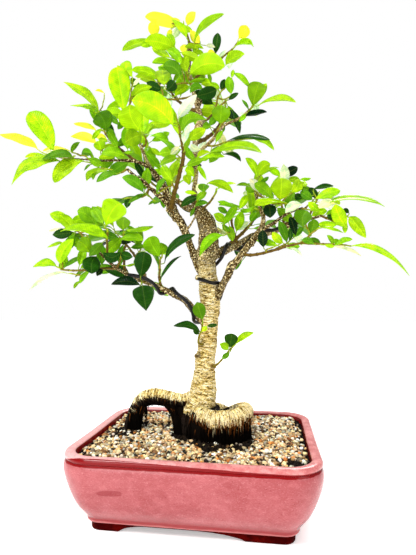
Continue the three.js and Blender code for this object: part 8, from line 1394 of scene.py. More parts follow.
            [-91.4, -20, 397.9, -88, -20, 398, -82.6, -19.6, 398.3, -77.5, -17.8, 399.1, 0.03, 0.349, -0.936, 4.4, "G"],
            [-120.5, -12, 408.1, -121, -8, 402.2, -118.3, -10, 393, -118.5, -8, 385.1, -0.932, -0.335, -0.138, 7.7, "G"],
        ]},
    "left_under_shoot": {"t": [[[-81.57, -27, 376.4, 1.37], [-85.58, -29, 372.5, 1.02], [-89.93, -30, 370.77, 0.8]]],
        "l": [
            [-86.6, -29.2, 372.1, -90.1, -36, 368.8, -100.8, -40.4, 366.7, -112.4, -40.4, 358.9, -0.432, 0.479, 0.764, 13.1, "M"],
        ]},
    "centre_left_shoot": {"t": [[[-69.6, -11, 407.07, 1.53], [-63.27, -14, 409.24, 1.29], [-62.91, -17, 415.23, 1.05], [-65.77, -18, 419.74, 0.93]]],
        "l": [
            [-65.1, -17.7, 418.6, -65.2, -26, 415.9, -69.3, -39.3, 408.3, -75.8, -50.5, 398.3, -0.348, -0.442, 0.827, 19.2, "L"],
            [-64.1, -17.4, 417.1, -65.6, -28, 419.1, -71.8, -43.9, 429, -66.5, -62.5, 435, -0.923, -0.139, -0.358, 28.7, "L"],
            [-65.1, -17.8, 418.7, -60.3, -12, 424.2, -50.8, -11.9, 430.3, -39.2, -8.1, 432.2, 0.112, -0.977, 0.179, 11.7, "L"],
            [-69.6, -11, 407.1, -69.2, -3, 416.6, -64.7, -2.6, 430.4, -59.3, 1.5, 443.4, 0.91, -0.304, -0.282, 11.2, "L"],
            [-64.8, -17.7, 418.2, -63.1, -23.7, 419.8, -63.8, -22.8, 434.5, -65.4, -18.5, 448.7, 0.96, 0.279, 0.027, 12.8, "L"],
            [-65.8, -18, 419.7, -56.9, -24, 416.8, -48.3, -22.1, 418.4, -40.5, -16.9, 418.5, 0.061, -0.359, 0.931, 9.5, "W"],
            [-69.6, -11, 407.1, -62.9, -17, 399, -53.2, -16.5, 388.5, -45.4, -12.4, 378.4, -0.529, -0.617, -0.583, 11.4, "G"],
            [-63.3, -14, 409.2, -56.3, -17, 403.1, -50.3, -19.4, 397.9, -44, -19.8, 392.7, -0.63, 0.106, -0.77, 6, "L"],
            [-65.8, -18, 419.7, -66.1, -14, 418.3, -64.1, -13.5, 411.4, -62.6, -11.1, 404.8, -0.944, -0.173, -0.283, 7, "L"],
            [-63.3, -14, 409.2, -59.8, -2, 416.9, -48.8, -1.1, 422, -39, 2.8, 428.2, 0.359, 0.423, -0.832, 9.3, "G"],
            [-69.6, -11, 407.1, -71.2, -7, 411.7, -69.9, -9, 422.2, -73.7, -7, 434.2, 0.961, 0.256, 0.106, 8.3, "L"],
        ]},
    "front_shoot": {"t": [[[-32.3, -17, 330.9, 2.97], [-26.83, -28, 343.08, 2.57], [-20.81, -38, 353.72, 2.3], [-15.18, -48, 364.89, 2.25], [-10.53, -56, 374.01, 2.1], [-8.91, -62, 382.52, 1.87], [-9.39, -70, 389.08, 1.43], [-9.81, -76, 397.13, 1.21], [-10.61, -81, 403.33, 1]], [[-10.61, -81, 403.33, 1], [-11.2, -83, 406.09, 0.89], [-11.6, -84, 409.23, 0.69]], [[-8.91, -62, 382.52, 0.83], [-6.85, -66, 384.15, 0.62]], [[-10.53, -56, 374.01, 1.26], [-12.9, -60, 375.36, 0.94], [-15.23, -62, 374.39, 0.73]], [[-12.9, -60, 375.36, 0.73], [-20.23, -56, 383.05, 0.74], [-25.05, -54, 387.65, 0.64]], [[-24.14, -33, 348.48, 1.44], [-25.28, -38, 352.79, 1.09], [-26.62, -40, 355.62, 0.87]], [[-25.28, -38, 352.79, 0.88], [-33.61, -36, 350.29, 0.88], [-40.89, -34, 346.6, 0.78]]],
        "l": [
            [-10.7, -81.4, 403.9, -9.2, -84, 407.3, -1.9, -89.4, 414.2, 9.8, -90.3, 426.3, -0.711, -0.406, 0.574, 10.3, "W"],
            [-10.3, -79.1, 401, -13.4, -90, 397.8, -29.8, -97.4, 413.5, -52.7, -99.8, 420.8, 0.535, -0.223, 0.815, 27, "L"],
            [-9.7, -74.3, 394.8, -4.1, -86, 392.4, 3, -90.6, 403.2, 20.2, -90.7, 401.2, -0.258, -0.944, 0.206, 14.2, "G"],
            [-11.8, -53.8, 371.5, -17.8, -59, 375.7, -23.1, -63.7, 388.3, -37.3, -63.9, 397.1, 0.271, 0.855, 0.442, 14.7, "G"],
            [-23.8, -54.5, 386.4, -27.2, -54, 389.5, -32.7, -58.1, 399.5, -46, -57.7, 401, 0.328, 0.601, 0.729, 11.2, "G"],
            [-9.4, -60.3, 380.1, -6.8, -66, 381.4, -4.6, -65.5, 389.5, -5, -63, 397.8, 0.956, 0.248, -0.156, 7.4, "G"],
            [-12.8, -59.8, 375.3, -15.2, -64, 373.9, -23, -67.9, 371.7, -33, -67.5, 366.3, -0.428, 0.322, 0.844, 10.5, "G"],
            [-39.8, -34.3, 347.2, -44.1, -34, 344.9, -39.9, -38.1, 354.4, -30.5, -37.8, 361.5, 0.619, -0.487, -0.616, 9.5, "M"],
            [-26.1, -39.3, 354.6, -25.8, -36, 361.6, -22.8, -35.4, 370.8, -18.7, -32.4, 379, 0.854, 0.317, -0.412, 8.5, "L"],
            [-20.9, -37.9, 353.6, -24.8, -42, 356.1, -31.1, -45.4, 363.3, -35.9, -46, 372.1, 0.819, 0.024, 0.574, 11.1, "L"],
            [-9.4, -70, 389.1, -12.7, -66, 396.4, -16.5, -65.5, 407.3, -21.9, -62.7, 417.4, 0.755, 0.613, 0.233, 8.3, "L"],
            [-9.1, -64.7, 384.7, -6.9, -70.7, 385.8, -4.3, -74.9, 394.3, -0.4, -74.8, 403.8, 0.92, 0.287, -0.266, 7.8, "W"],
            [-13.6, -50.7, 367.9, -6.9, -56.7, 367.7, 2.5, -56.4, 371.5, 11.8, -52.6, 375, 0.274, 0.344, -0.898, 8.1, "G"],
            [-8.2, -63.3, 383.1, -13.7, -51.3, 387, -26.2, -46.4, 387.1, -39.7, -44.5, 385.9, 0.134, 0.362, -0.922, 12.5, "G"],
            [-10.6, -81, 403.3, -13.1, -77, 407.5, -18.2, -80.1, 414.5, -23.3, -80.7, 422, 0.824, -0.063, 0.564, 8.9, "L"],
            [-9.2, -67.3, 386.9, -6, -55.3, 394.6, 3.2, -55, 401.2, 13, -51.1, 407.5, 0.453, 0.394, -0.8, 11.6, "L"],
            [-10.6, -81, 403.3, -16.1, -87, 401.1, -26.1, -83.9, 402.9, -36.8, -83.2, 403.7, -0.045, 0.385, -0.922, 9.1, "L"],
            [-9.2, -67.3, 386.9, -12.3, -67.3, 384.3, -15.8, -70.3, 379.7, -20.3, -71.8, 375.2, -0.59, -0.388, 0.708, 6.4, "W"],
        ]},
    "centre_right_shoot": {"t": [[[15.56, -8, 413.78, 1.51], [19.89, -10, 420.42, 1.27], [22.92, -12, 425.31, 1.03], [29.29, -11, 432.37, 0.92], [33.73, -9, 441.18, 0.69]]],
        "l": [
            [22.5, -11.7, 424.6, 24.8, -20, 425.4, 27.2, -33, 432.5, 29.4, -47.6, 434.4, -0.987, -0.144, 0.073, 21, "G"],
            [33.2, -9.3, 440, 35.3, 8, 453.9, 40.3, 8.8, 443.3, 45.1, 13.1, 426.4, -0.533, -0.777, -0.335, 14.1, "D"],
            [31, -10.2, 435.8, 38.9, -8, 434.7, 34.8, -7.6, 441, 35.3, -5.5, 448, 0.962, -0.037, 0.27, 5.8, "K"],
            [17.6, -9, 416.9, 11, -8, 428.8, 14.8, -8.4, 434.8, 19.3, -5.1, 440.7, 0.726, 0.348, -0.593, 8.4, "M"],
        ]},
    "centre_low_shoot": {"t": [[[-5.78, -10, 386.48, 1.5], [-3.17, -17, 385.27, 1.14], [-1.05, -24, 384.03, 0.9]]],
        "l": [
            [-1.4, -22.8, 384.3, -2, -24, 384.8, -9.7, -27.2, 390.3, -12, -27.8, 399.9, 0.837, -0.039, 0.545, 8.6, "G"],
            [-1.7, -22, 384.4, 3.1, -26, 395.2, -3, -33.5, 394.2, -4.8, -42.1, 395.5, -0.485, 0.226, -0.845, 8.1, "W"],
            [-1.4, -22.8, 384.3, 0.1, -32, 382.9, 7.1, -35.5, 388, 15.6, -34.8, 387.9, -0.269, -0.906, 0.328, 8.4, "L"],
            [-4.7, -12.8, 386, 0.6, -13, 389, 14.6, -12.3, 392.3, 28.4, -8.1, 392.1, 0.203, -0.757, -0.621, 14.8, "L"],
            [-3.2, -17, 385.3, -0.3, -5, 390.3, 5, -3.8, 392, 9.7, -1.3, 394, 0.204, 0.34, -0.918, 5.7, "L"],
        ]},
    "leader_shoot": {"t": [[[-4.76, -9, 373.83, 1.5], [-2.11, -15, 375.42, 1.14], [-0.74, -19, 375.98, 0.91]], [[-2.11, -15, 375.42, 0.91], [-3.66, -22, 368.1, 0.9], [-5.57, -24, 361.46, 0.79]]],
        "l": [
            [-4.8, -23.2, 364.1, -4.4, -24, 364.8, -8.4, -33.2, 369.7, -12.4, -37.1, 368.1, -0.563, 0.139, -0.814, 10.8, "L"],
            [-5.2, -23.6, 362.7, -12.3, -15, 358.9, -12.6, -21.4, 364.3, -15.6, -28.9, 365.5, -0.869, -0.029, -0.495, 10.1, "L"],
            [-1.2, -17.8, 375.8, 2.6, -28, 375.8, 5, -31.6, 369.1, 10.9, -30.8, 359.3, -0.608, -0.775, -0.173, 8.5, "L"],
            [-2.3, -16, 374.4, 0.6, -20, 376.1, 1.8, -23.4, 378, 2.9, -27.2, 378.7, -0.95, -0.226, 0.217, 4.5, "K"],
        ]},
    "trunk_top_shoot": {"t": [[[-5.12, -12, 338.08, 1.49], [-2.01, -18, 337.77, 1.24], [2.28, -26, 340.3, 1], [7.79, -34, 343.07, 0.87]]],
        "l": [
            [7.1, -33, 342.7, 10.7, -43, 342.5, 10.3, -49.3, 346.2, 12.3, -56.4, 347.7, -0.989, -0.137, -0.049, 12.2, "M"],
            [2.7, -26.5, 340.5, 0.6, -36, 335.1, 5.8, -38.4, 339.7, 12.3, -38.9, 343.2, 0.594, 0.28, -0.754, 7.8, "G"],
            [-0.7, -20.5, 338.6, -2.2, -30, 330.1, 4.2, -33.5, 333.2, 13.1, -32.8, 332.8, 0.084, -0.409, -0.909, 7.6, "M"],
            [7.1, -33, 342.7, 12.5, -36, 353.4, 25.8, -41.1, 351.9, 41.2, -41.6, 341.1, -0.406, -0.63, -0.662, 13.9, "L"],
            [6.45, -31.3, 342.45, -0.15, -19.3, 343.05, -11.25, -18.8, 339.95, -20.95, -14.8, 333.65, 0.445, 0.282, -0.85, 8.8, "D"],
            [1.25, -23.3, 339.85, 1.65, -26.3, 344.25, 1.25, -25.6, 351.15, 0.65, -23.1, 357.65, 0.987, 0.156, 0.031, 6.4, "W"],
            [-1.55, -18, 338.15, -4.75, -18, 331.45, -7.35, -17.6, 326.45, -10.05, -15.8, 321.85, -0.872, -0.247, 0.422, 4.3, "M"],
            [6.45, -31.3, 342.45, -1.75, -23.3, 345.85, -8.65, -23.1, 347.85, -15.55, -21.1, 349.25, 0.267, 0.3, 0.916, 5.5, "L"],
        ]},
    "front_twig_shoot": {"t": [[[1.62, -12, 328.62, 1.49], [7.99, -16, 333.32, 1.25], [14.82, -20, 339.03, 1.23], [20.18, -24, 346.34, 1]], [[20.18, -24, 346.34, 1], [20.53, -25, 348.32, 0.78]]],
        "l": [
            [18.1, -22.5, 343.5, 20.2, -26, 347.5, 30.6, -30.3, 353.2, 43.2, -30.1, 354.3, 0.019, -0.823, -0.568, 10.3, "L"],
        ]},
    "right_high_shoot": {"t": [[[8.1, -9, 406.14, 1.5], [14.61, -14, 402.83, 1.14], [21.39, -13, 404, 1.03], [27.87, -9, 408.16, 0.92]], [[27.87, -9, 408.16, 0.92], [43.35, 0, 413.51, 0.82], [55.91, 5, 416.14, 0.7]]],
        "l": [
            [30.2, -7.7, 409, 32, -4, 411.9, 55.6, -10.6, 414, 80.3, -12.4, 407.3, -0.193, -0.787, -0.586, 21.1, "D"],
            [54.4, 4.4, 415.8, 59.4, 6, 416.3, 75.2, 6.9, 412.7, 84.9, 11.3, 403.3, -0.242, -0.635, -0.733, 13.3, "L"],
            [14.6, -14, 402.8, 13.5, -24, 390.2, 43.9, -31.7, 396.5, 71.6, -34.3, 386.4, -0.17, -0.71, -0.684, 26.4, "L"],
            [21, -13.1, 403.9, 28.1, -14, 392.6, 39.7, -18.1, 390.1, 47.8, -17.8, 382.3, -0.447, -0.66, -0.604, 10.5, "D"],
            [25.7, -10.3, 406.8, 22.8, -2.3, 406.7, 15.8, 4.2, 399.6, 8.5, 7.6, 390.4, 0.799, 0.285, -0.53, 12.8, "G"],
            [16.9, -13.7, 403.2, 19.7, -19.7, 404.4, 23.4, -19.4, 412.3, 27.7, -17, 419.5, 0.859, -0.318, -0.4, 6.8, "G"],
            [47.5, 1.7, 414.4, 42.8, 5.7, 411.4, 36.9, 3.7, 406.7, 32.6, 5.7, 401.4, -0.67, -0.3, 0.679, 6.1, "W"],
            [23.6, -11.7, 405.4, 26.5, 0.3, 406.7, 32.3, -4, 401.2, 38.9, -6.4, 395.6, -0.575, 0.226, -0.787, 7.9, "W"],
        ]},
    "right_inner_shoot": {"t": [[[62.03, 8, 359.37, 1.41], [64.16, 8, 364.51, 1.17], [65.59, 8, 369.45, 0.94]], [[65.59, 8, 369.45, 0.82], [70.65, 14, 376.23, 0.83], [76.06, 17, 380.51, 0.71]]],
        "l": [
            [64.5, 8, 365.7, 64.7, 6, 370.6, 61.2, 1.6, 382.6, 51.8, 0.8, 392, 0.863, -0.117, 0.491, 9.3, "L"],
            [64.5, 8, 365.8, 66.7, 2, 370, 72, -5.2, 378.5, 80.5, -14.9, 379.4, -0.713, -0.211, 0.669, 13.3, "L"],
            [64.9, 8, 367.2, 68.3, 12, 371.7, 77.7, 12.4, 380.7, 90.9, 16.4, 384.3, 0.432, -0.74, -0.516, 11, "L"],
            [74.1, 15.9, 379, 77.7, 15, 381, 86, 15.6, 378.8, 91.8, 18.3, 373.2, -0.514, 0.248, -0.821, 7.8, "L"],
            [62.2, 8, 359.7, 68.2, -2, 361.6, 73.6, -3.8, 363.9, 78.4, -4, 367.6, 0.394, -0.425, -0.815, 6.1, "M"],
        ]},
    "right_upper_shoot": {"t": [[[94.63, 15, 311.32, 1.52], [95.3, 11, 322.36, 1.4], [93.87, 6, 331.93, 1.27], [93.39, 3, 338.27, 1.03], [99.32, 8, 347.4, 0.93], [105.17, 10, 353.56, 0.81]], [[99.32, 8, 347.4, 0.81], [96.25, 16, 358.98, 0.83], [94.88, 21, 371.21, 0.72]], [[99.32, 8, 347.4, 0.81], [109.99, 14, 355.58, 0.82], [114.72, 15, 361.59, 0.7]]],
        "l": [
            [95, 20.5, 370, 94.6, 22, 374.2, 104.3, 22.4, 380.4, 113.4, 26.4, 385.9, 0.475, 0.229, -0.85, 11.5, "K"],
            [93.4, 3, 338.3, 90.6, -12, 337.7, 92.1, -27.5, 348.9, 91.2, -45.7, 354, -0.998, 0.011, 0.06, 23.3, "L"],
            [98.4, 7.2, 346, 103.8, 6, 351, 111.7, 10.9, 359.6, 112.7, 18.4, 370.5, 0.891, 0.067, -0.449, 13.1, "L"],
            [111.7, 14.4, 357.8, 115.9, 16, 360.6, 120, 20.9, 364.8, 121.3, 27.2, 369.5, 0.789, 0.102, -0.606, 8.4, "L"],
            [113.9, 14.8, 360.6, 114.6, 12, 367.6, 121.1, 12.3, 367.7, 127.3, 14.1, 369.1, 0.188, -0.549, -0.814, 6.4, "G"],
            [94.9, 21, 371.2, 100.6, 33, 374.2, 108.7, 34.7, 374.1, 116.1, 38.4, 374.6, -0.071, 0.272, -0.96, 8.2, "L"],
            [97.3, 13.3, 355.1, 96.8, 10.3, 360.6, 97, 5.6, 372, 95.4, 5.3, 384.6, 0.997, -0.049, 0.051, 11.1, "W"],
        ]},
    "right_middle_shoot": {"t": [[[63.7, 5, 349.09, 1.4], [69.54, 1, 346.27, 1.15], [77.52, -4, 341.8, 0.91], [82.44, -6, 339.56, 0.79]], [[69.54, 1, 346.27, 1.04], [65.07, -2, 349.65, 0.92], [61.14, 0, 354.73, 0.81]], [[69.54, 1, 346.27, 1.04], [68.74, 8, 352.01, 0.94], [65.39, 12, 354.8, 0.83]]],
        "l": [
            [81.3, -5.5, 340.1, 84.6, -10, 339.2, 73.7, -14.9, 350.5, 62.6, -15.3, 357.1, 0.494, 0.45, 0.744, 15.8, "G"],
            [61.9, -0.4, 353.7, 60, 2, 356.9, 51.4, -1.8, 360.2, 41.5, -1.2, 360.1, -0.001, 0.699, 0.715, 8.1, "G"],
            [68.1, 8.7, 352.5, 64.2, 12, 355.6, 56.4, 17.4, 360.6, 53, 24.8, 368.6, 0.66, -0.168, 0.733, 11.3, "G"],
            [69.5, 1, 346.3, 66.6, 1, 351.1, 63.2, -5.1, 358.2, 57, -6.5, 364.8, -0.844, 0.111, -0.525, 9.9, "W"],
        ]},
    "right_outer_shoot": {"t": [[[123.39, 15, 320.48, 1.51], [126.81, 14, 329.1, 1.28], [130.57, 12, 337.22, 1.04], [133.46, 11, 342.27, 0.92], [130.39, 13, 351.05, 0.7]], [[130.57, 12, 337.22, 0.93], [138.62, 8, 334.92, 0.8]]],
        "l": [
            [130.8, 12.7, 349.8, 129.6, 14, 355.6, 142.7, 14.3, 358.9, 153.3, 18.2, 360, 0.249, -0.663, -0.706, 10.4, "D"],
            [131.4, 11.7, 338.7, 131.8, 6, 342.8, 144.2, 1.2, 347.5, 158.1, 1, 350.2, 0.168, -0.435, -0.885, 15.1, "L"],
            [137.2, 8.7, 335.3, 140.1, 2, 335.6, 171.7, -6.6, 340.7, 202.5, -10, 327.9, -0.223, -0.841, -0.493, 24, "L"],
            [132, 11.5, 339.8, 128.4, 10, 342.4, 121.4, 10.2, 347.8, 114.9, 12.7, 353.4, 0.585, -0.236, 0.776, 10.4, "M"],
            [133.5, 11, 342.3, 135.8, 18, 345.5, 130.4, 18.6, 352.6, 125.6, 21.4, 359.8, 0.765, -0.225, 0.603, 9.1, "D"],
            [131.1, 12.5, 349, 117.9, 20, 347.3, 112.6, 24.2, 350.1, 109.7, 29.9, 354.8, 0.488, -0.234, 0.841, 8.5, "D"],
            [137.5, 8.6, 335.2, 151.7, -1, 334.8, 142.1, -4.2, 335.2, 133.6, -4.8, 329.3, -0.25, -0.172, 0.953, 10.1, "W"],
            [124.5, 14.7, 323.4, 128.2, 22.7, 325.8, 137, 25.2, 331.1, 147.5, 30.9, 333.5, 0.307, 0.151, -0.94, 10.7, "L"],
        ]},
    "right_pad_shoot": {"t": [[[72.25, -9, 319.19, 1.46], [75.23, -12, 326.43, 1.23], [79.7, -14, 332.63, 1], [90.62, -17, 333.18, 0.88], [101.31, -20, 331.72, 0.76], [109.74, -22, 330.57, 0.65]]],
        "l": [
            [108.5, -21.7, 330.7, 113.6, -27, 328.9, 103.7, -30.3, 327.2, 95.9, -31, 319.7, -0.423, -0.163, 0.891, 10.3, "W"],
            [102.3, -20.2, 331.6, 97.5, -18, 333.4, 76.1, -23.4, 335.5, 62.9, -24.1, 330.9, -0.18, 0.765, 0.618, 18.4, "L"],
            [79.7, -14, 332.6, 77.3, -16, 334.1, 79.3, -26.5, 325.4, 79.6, -34.5, 314.6, -0.989, 0.029, -0.142, 14.6, "K"],
            [83.3, -15, 332.8, 87.5, -11, 329.9, 96.2, -12.7, 321.4, 105.1, -11, 313.4, -0.673, 0.166, -0.721, 11.9, "G"],
        ]},
    "right_pad_front_shoot": {"t": [[[113.94, -22, 326.49, 1.3], [115.96, -22, 317.7, 1.08], [118.13, -20, 308.19, 0.98], [121.99, -16, 300.44, 0.76]], [[113.94, -22, 326.49, 0.87], [122.93, -16, 325.29, 0.77]]],
        "l": [
            [121.9, -16.7, 325.4, 133.2, -10, 324.5, 127.3, -12.6, 329.3, 121.5, -13.2, 334.8, 0.68, -0.218, 0.7, 8.6, "L"],
            [120.4, -17.7, 303.7, 115.2, -20, 306.3, 114, -32, 315.5, 117.5, -46, 318.6, -0.968, 0.033, 0.25, 19.5, "M"],
            [121.5, -16.5, 301.5, 123.3, -14, 299.2, 125.9, -19, 307, 125.8, -26.2, 313.4, -0.974, 0.057, 0.221, 12.5, "M"],
            [118.1, -20, 308.2, 116.9, -8, 308.3, 110.5, -7.5, 302.8, 104.2, -4.6, 297.7, -0.653, -0.075, 0.753, 7.6, "M"],
        ]},
    "right_low_shoot": {"t": [[[50.56, -23, 276.8, 1.97], [60.03, -28, 275.59, 1.73], [69.78, -33, 276.42, 1.6], [85.21, -39, 279.54, 1.47], [98.77, -43, 283, 1.34], [109.87, -44, 285.16, 1.23], [124.31, -40, 284.89, 1.14], [141.57, -31, 285.42, 1.05], [156.2, -22, 285.45, 0.96]], [[85.21, -39, 279.54, 1.47], [90.74, -38, 283.14, 1.05], [96.62, -36, 286.24, 0.84], [101.7, -26, 291.98, 0.75]], [[75.1, -36, 277.08, 1.48], [75.55, -38, 279.6, 1.05], [81.39, -40, 281.8, 0.73], [88.64, -40, 284.82, 0.63]], [[109.87, -44, 285.16, 1.23], [115.11, -42, 289.26, 1.03], [122.63, -38, 296.57, 0.94], [130.23, -34, 302.29, 0.73]], [[156.2, -22, 285.45, 0.96], [160.64, -20, 285.2, 0.85], [164.08, -18, 284.96, 0.75]]],
        "l": [
            [101.2, -27, 291.4, 106.8, -22, 296.8, 104.6, -25.1, 306.8, 100.9, -25.5, 316.8, 0.832, 0.449, 0.325, 10.5, "K"],
            [96, -36.2, 285.9, 96.8, -38, 287.2, 93.7, -41.5, 298.7, 88.8, -42, 309.9, 0.778, 0.512, 0.363, 11.1, "M"],
            [96.9, -42.4, 282.5, 98.9, -42, 288.1, 100.4, -43.8, 294.4, 98.9, -44.2, 300.9, 0.817, -0.568, -0.098, 5.9, "D"],
            [75.3, -37, 278.4, 72.5, -42, 282.1, 72.1, -45, 290.7, 71.6, -45.6, 299.7, 0.999, 0.008, 0.051, 10.7, "K"],
            [95.5, -36.4, 285.6, 92.8, -40, 286.4, 86.8, -43.8, 290.8, 82.1, -45.4, 297.4, 0.738, -0.11, 0.666, 9.2, "L"],
            [141.2, -31.2, 285.4, 145.1, -31, 283.1, 154.5, -35, 288.5, 163.8, -34.7, 289.9, 0.104, -0.727, -0.679, 9.2, "G"],
            [148.3, -26.9, 285.4, 145.6, -24, 284.3, 144.2, -23.6, 291.4, 139.7, -21.4, 296.3, 0.866, -0.18, 0.467, 5.3, "G"],
            [138.6, -32.6, 285.3, 144.9, -36, 282.4, 157.9, -40.7, 279.6, 170.7, -41, 271.9, -0.321, -0.87, -0.375, 12.5, "W"],
            [163, -18.7, 285, 167.6, -10, 285.7, 201, -5.2, 280.5, 230.1, 2.4, 253.8, -0.133, -0.807, -0.575, 19.2, "L"],
            [126.9, -38.7, 285, 123.7, -44, 284, 117.6, -47.5, 287.4, 111.5, -46.7, 287.9, 0.331, -0.151, 0.932, 6.8, "M"],
            [119, -39.9, 293, 120.7, -36, 291.9, 126.3, -35.6, 288.9, 131.7, -33.5, 286.3, -0.474, 0.166, -0.864, 5.7, "M"],
            [95.8, -42.1, 282.2, 99.5, -50, 279.7, 105.2, -53.3, 277.7, 111, -52.5, 271.5, -0.465, -0.78, -0.419, 6.1, "W"],
            [129.3, -34.5, 301.6, 134.6, -32, 303.4, 145.5, -31.9, 301.7, 155.9, -28.2, 297.7, 0.018, -0.863, -0.504, 11.3, "L"],
            [90.7, -38, 283.1, 87, -38, 284.2, 76, -37.5, 288.3, 64.9, -34.2, 290.8, 0.325, 0.474, 0.818, 9.4, "G"],
            [130.1, -37, 285.1, 134.5, -43, 283.2, 139.6, -42.7, 282.2, 144.5, -41, 281.5, -0.202, 0.146, -0.968, 4.4, "L"],
            [53.7, -24.7, 276.4, 48.9, -16.7, 271.2, 44.4, -16.3, 266.2, 41, -14.5, 260.6, -0.578, 0.597, 0.556, 5.5, "M"],
            [88.9, -38.3, 281.9, 95.2, -26.3, 283.5, 103, -26.6, 284.8, 111.1, -23.1, 284.3, 0.023, 0.119, -0.993, 7.9, "G"],
            [160.6, -20, 285.2, 154.2, -20, 287.4, 150.1, -19.4, 289.9, 145.8, -15.2, 291.1, 0.314, -0.169, 0.934, 5.5, "G"],
        ]},
    "right_tip_shoot": {"t": [[[138.05, 14, 324.33, 1.5], [147.55, 10, 318.9, 1.26], [155.4, 4, 312.57, 1.01], [161.95, -2, 307.99, 0.89]], [[155.4, 4, 312.57, 0.9], [162.02, 4, 317.39, 0.79], [165.99, 4, 321.37, 0.67]]],
        "l": [
            [161.1, -1.2, 308.6, 163.2, -6, 306.8, 154.7, -10.8, 318, 150.5, -11.7, 332, 0.89, -0.22, 0.4, 15.8, "L"],
            [161.4, 4, 317, 153.6, 4, 320.7, 148.2, 6.4, 321.1, 144.1, 10.2, 323.9, 0.187, -0.209, 0.96, 6.2, "D"],
            [165.1, 4, 320.4, 169.4, 14, 326.7, 166.5, 16.7, 330.2, 164.5, 20.5, 333.3, 0.644, -0.257, 0.721, 5.7, "D"],
            [165.1, 4, 320.4, 167.6, 2, 319.8, 173, -3.6, 311.3, 183.5, -4.6, 294.9, -0.785, 0.247, -0.568, 13.4, "L"],
            [157.6, 2, 311, 153.7, -1, 310.7, 143.1, -0.3, 311.3, 133, 3.4, 312.4, 0.047, -0.175, 0.984, 8.8, "L"],
            [163.3, 4, 318.7, 163.9, 8, 316.5, 163.8, 8.4, 309.6, 163.9, 10.8, 303, -0.986, 0.162, 0.034, 6.1, "L"],
            [138.1, 14, 324.3, 144.5, 22, 327, 150.2, 21.8, 329.6, 157, 25.2, 330.1, 0.199, 0.162, -0.966, 6.5, "G"],
        ]},
    "right_crotch_shoot": {"t": [[[41.8, 7, 291.23, 1.99], [39.23, 3, 301.28, 1.63], [36.72, 0, 310.2, 1.5], [35.86, -3, 320.16, 1.38], [37.66, -5, 327.84, 1.15]], [[37.66, -5, 327.84, 1.15], [35.71, -9, 322.48, 0.91], [30.97, -12, 316.32, 0.79]], [[35.71, -9, 322.48, 0.91], [39.75, -8, 329.46, 0.8], [43.34, -4, 331.35, 0.69]], [[37.78, 1, 305.68, 1.04], [33.85, -14, 302.73, 0.9], [30.67, -27, 298.56, 0.66]]],
        "l": [
            [42.5, -4.9, 330.9, 44.5, 3, 332.8, 49.4, 3.2, 341.5, 53.9, 7.1, 349.9, 0.848, 0.166, -0.504, 9.1, "L"],
            [32.9, -17.8, 301.5, 28, -19, 310.6, 36.4, -23.6, 322.2, 43.7, -23.7, 331.9, 0.574, -0.601, -0.557, 14, "G"],
            [31.7, -11.5, 317.3, 28.6, -10, 315.3, 23.6, -14.3, 320.1, 16.7, -16.5, 323.8, 0.612, -0.08, 0.787, 10.2, "L"],
            [42.5, -4.9, 330.9, 39.1, -4, 333.1, 30.7, -7.9, 337.2, 20.2, -7.5, 340.1, 0.198, 0.557, 0.807, 7.8, "G"],
            [36.6, -3.8, 323.4, 31.6, -2, 327, 25.5, -1.6, 331, 19.7, 0.7, 334.9, 0.531, -0.12, 0.839, 6.9, "M"],
            [31.7, -11.5, 317.3, 26.9, -14, 314, 30, -16.2, 307.6, 36.6, -16.6, 304.3, -0.7, 0.054, -0.712, 6.1, "M"],
            [31, -25.8, 298.9, 29, -30, 297, 14.9, -35.4, 292.7, 3.6, -36.2, 274.5, -0.618, 0.573, 0.539, 15.5, "G"],
            [39.2, 3, 301.3, 40.2, 11, 307.8, 43.9, 9.3, 319.8, 47.3, 11, 331.9, 0.952, 0.118, -0.282, 11.7, "L"],
            [32.5, -11, 318.4, 34, -11, 311.3, 35.8, -11.3, 302.4, 37.4, -9.1, 293.7, -0.978, -0.056, -0.199, 9.1, "G"],
            [39.2, 3, 301.3, 34.7, 11, 304.1, 25.4, 11.3, 309, 14.9, 15.1, 312.6, 0.376, -0.108, 0.92, 9.8, "W"],
            [31.7, -22.7, 300, 27.4, -25.7, 304.5, 24.5, -26.5, 308.8, 19.8, -23.5, 312.7, 0.73, -0.033, 0.682, 4.6, "W"],
        ]},
    "right_bud_shoot": {"t": [[[69.31, -4, 329.41, 1.48], [66.92, -8, 329.1, 1.02], [64.71, -9, 329.64, 0.79]]],
        "l": [
            [67.8, -6.5, 329.2, 65.2, -10, 326, 61.7, -14.4, 320.6, 57.6, -17, 314.7, -0.776, -0.148, 0.613, 8.8, "M"],
            [65.6, -8.6, 329.4, 61.8, -10, 332.9, 53.3, -10.6, 327.9, 46.6, -7.4, 330.8, -0.006, 0.628, 0.779, 7.7, "G"],
        ]},
    "low_left_tip_shoot": {"t": [[[-128.47, -24, 292.72, 1.38], [-134.33, -22, 298.94, 1.16], [-140.72, -19, 305.39, 1.05], [-148.9, -15, 310.96, 0.95], [-163.74, -8, 314.16, 0.84]], [[-140.72, -19, 305.39, 0.94], [-127.14, -22, 308.13, 0.93]]],
        "l": [
            [-153, -13.1, 311.8, -156.4, -10, 315.6, -170.4, -9.1, 326.4, -186.8, -4.2, 332.6, 0.5, 0.086, 0.861, 13.8, "L"],
            [-131.3, -21.1, 307.3, -133.8, -4, 316.1, -146.9, -2.4, 324.5, -163.1, 2.6, 321.6, 0.162, -0.108, 0.981, 12.6, "L"],
            [-128.4, -21.7, 307.9, -119.9, -24, 310.7, -123.9, -32.5, 322, -136, -37.3, 327.5, 0.655, 0.145, 0.742, 18.7, "G"],
            [-162.6, -8.5, 313.9, -178.1, 4, 315.8, -184.5, 3.3, 313.9, -193.9, 6.4, 313.5, -0.051, 0.482, 0.875, 4.8, "W"],
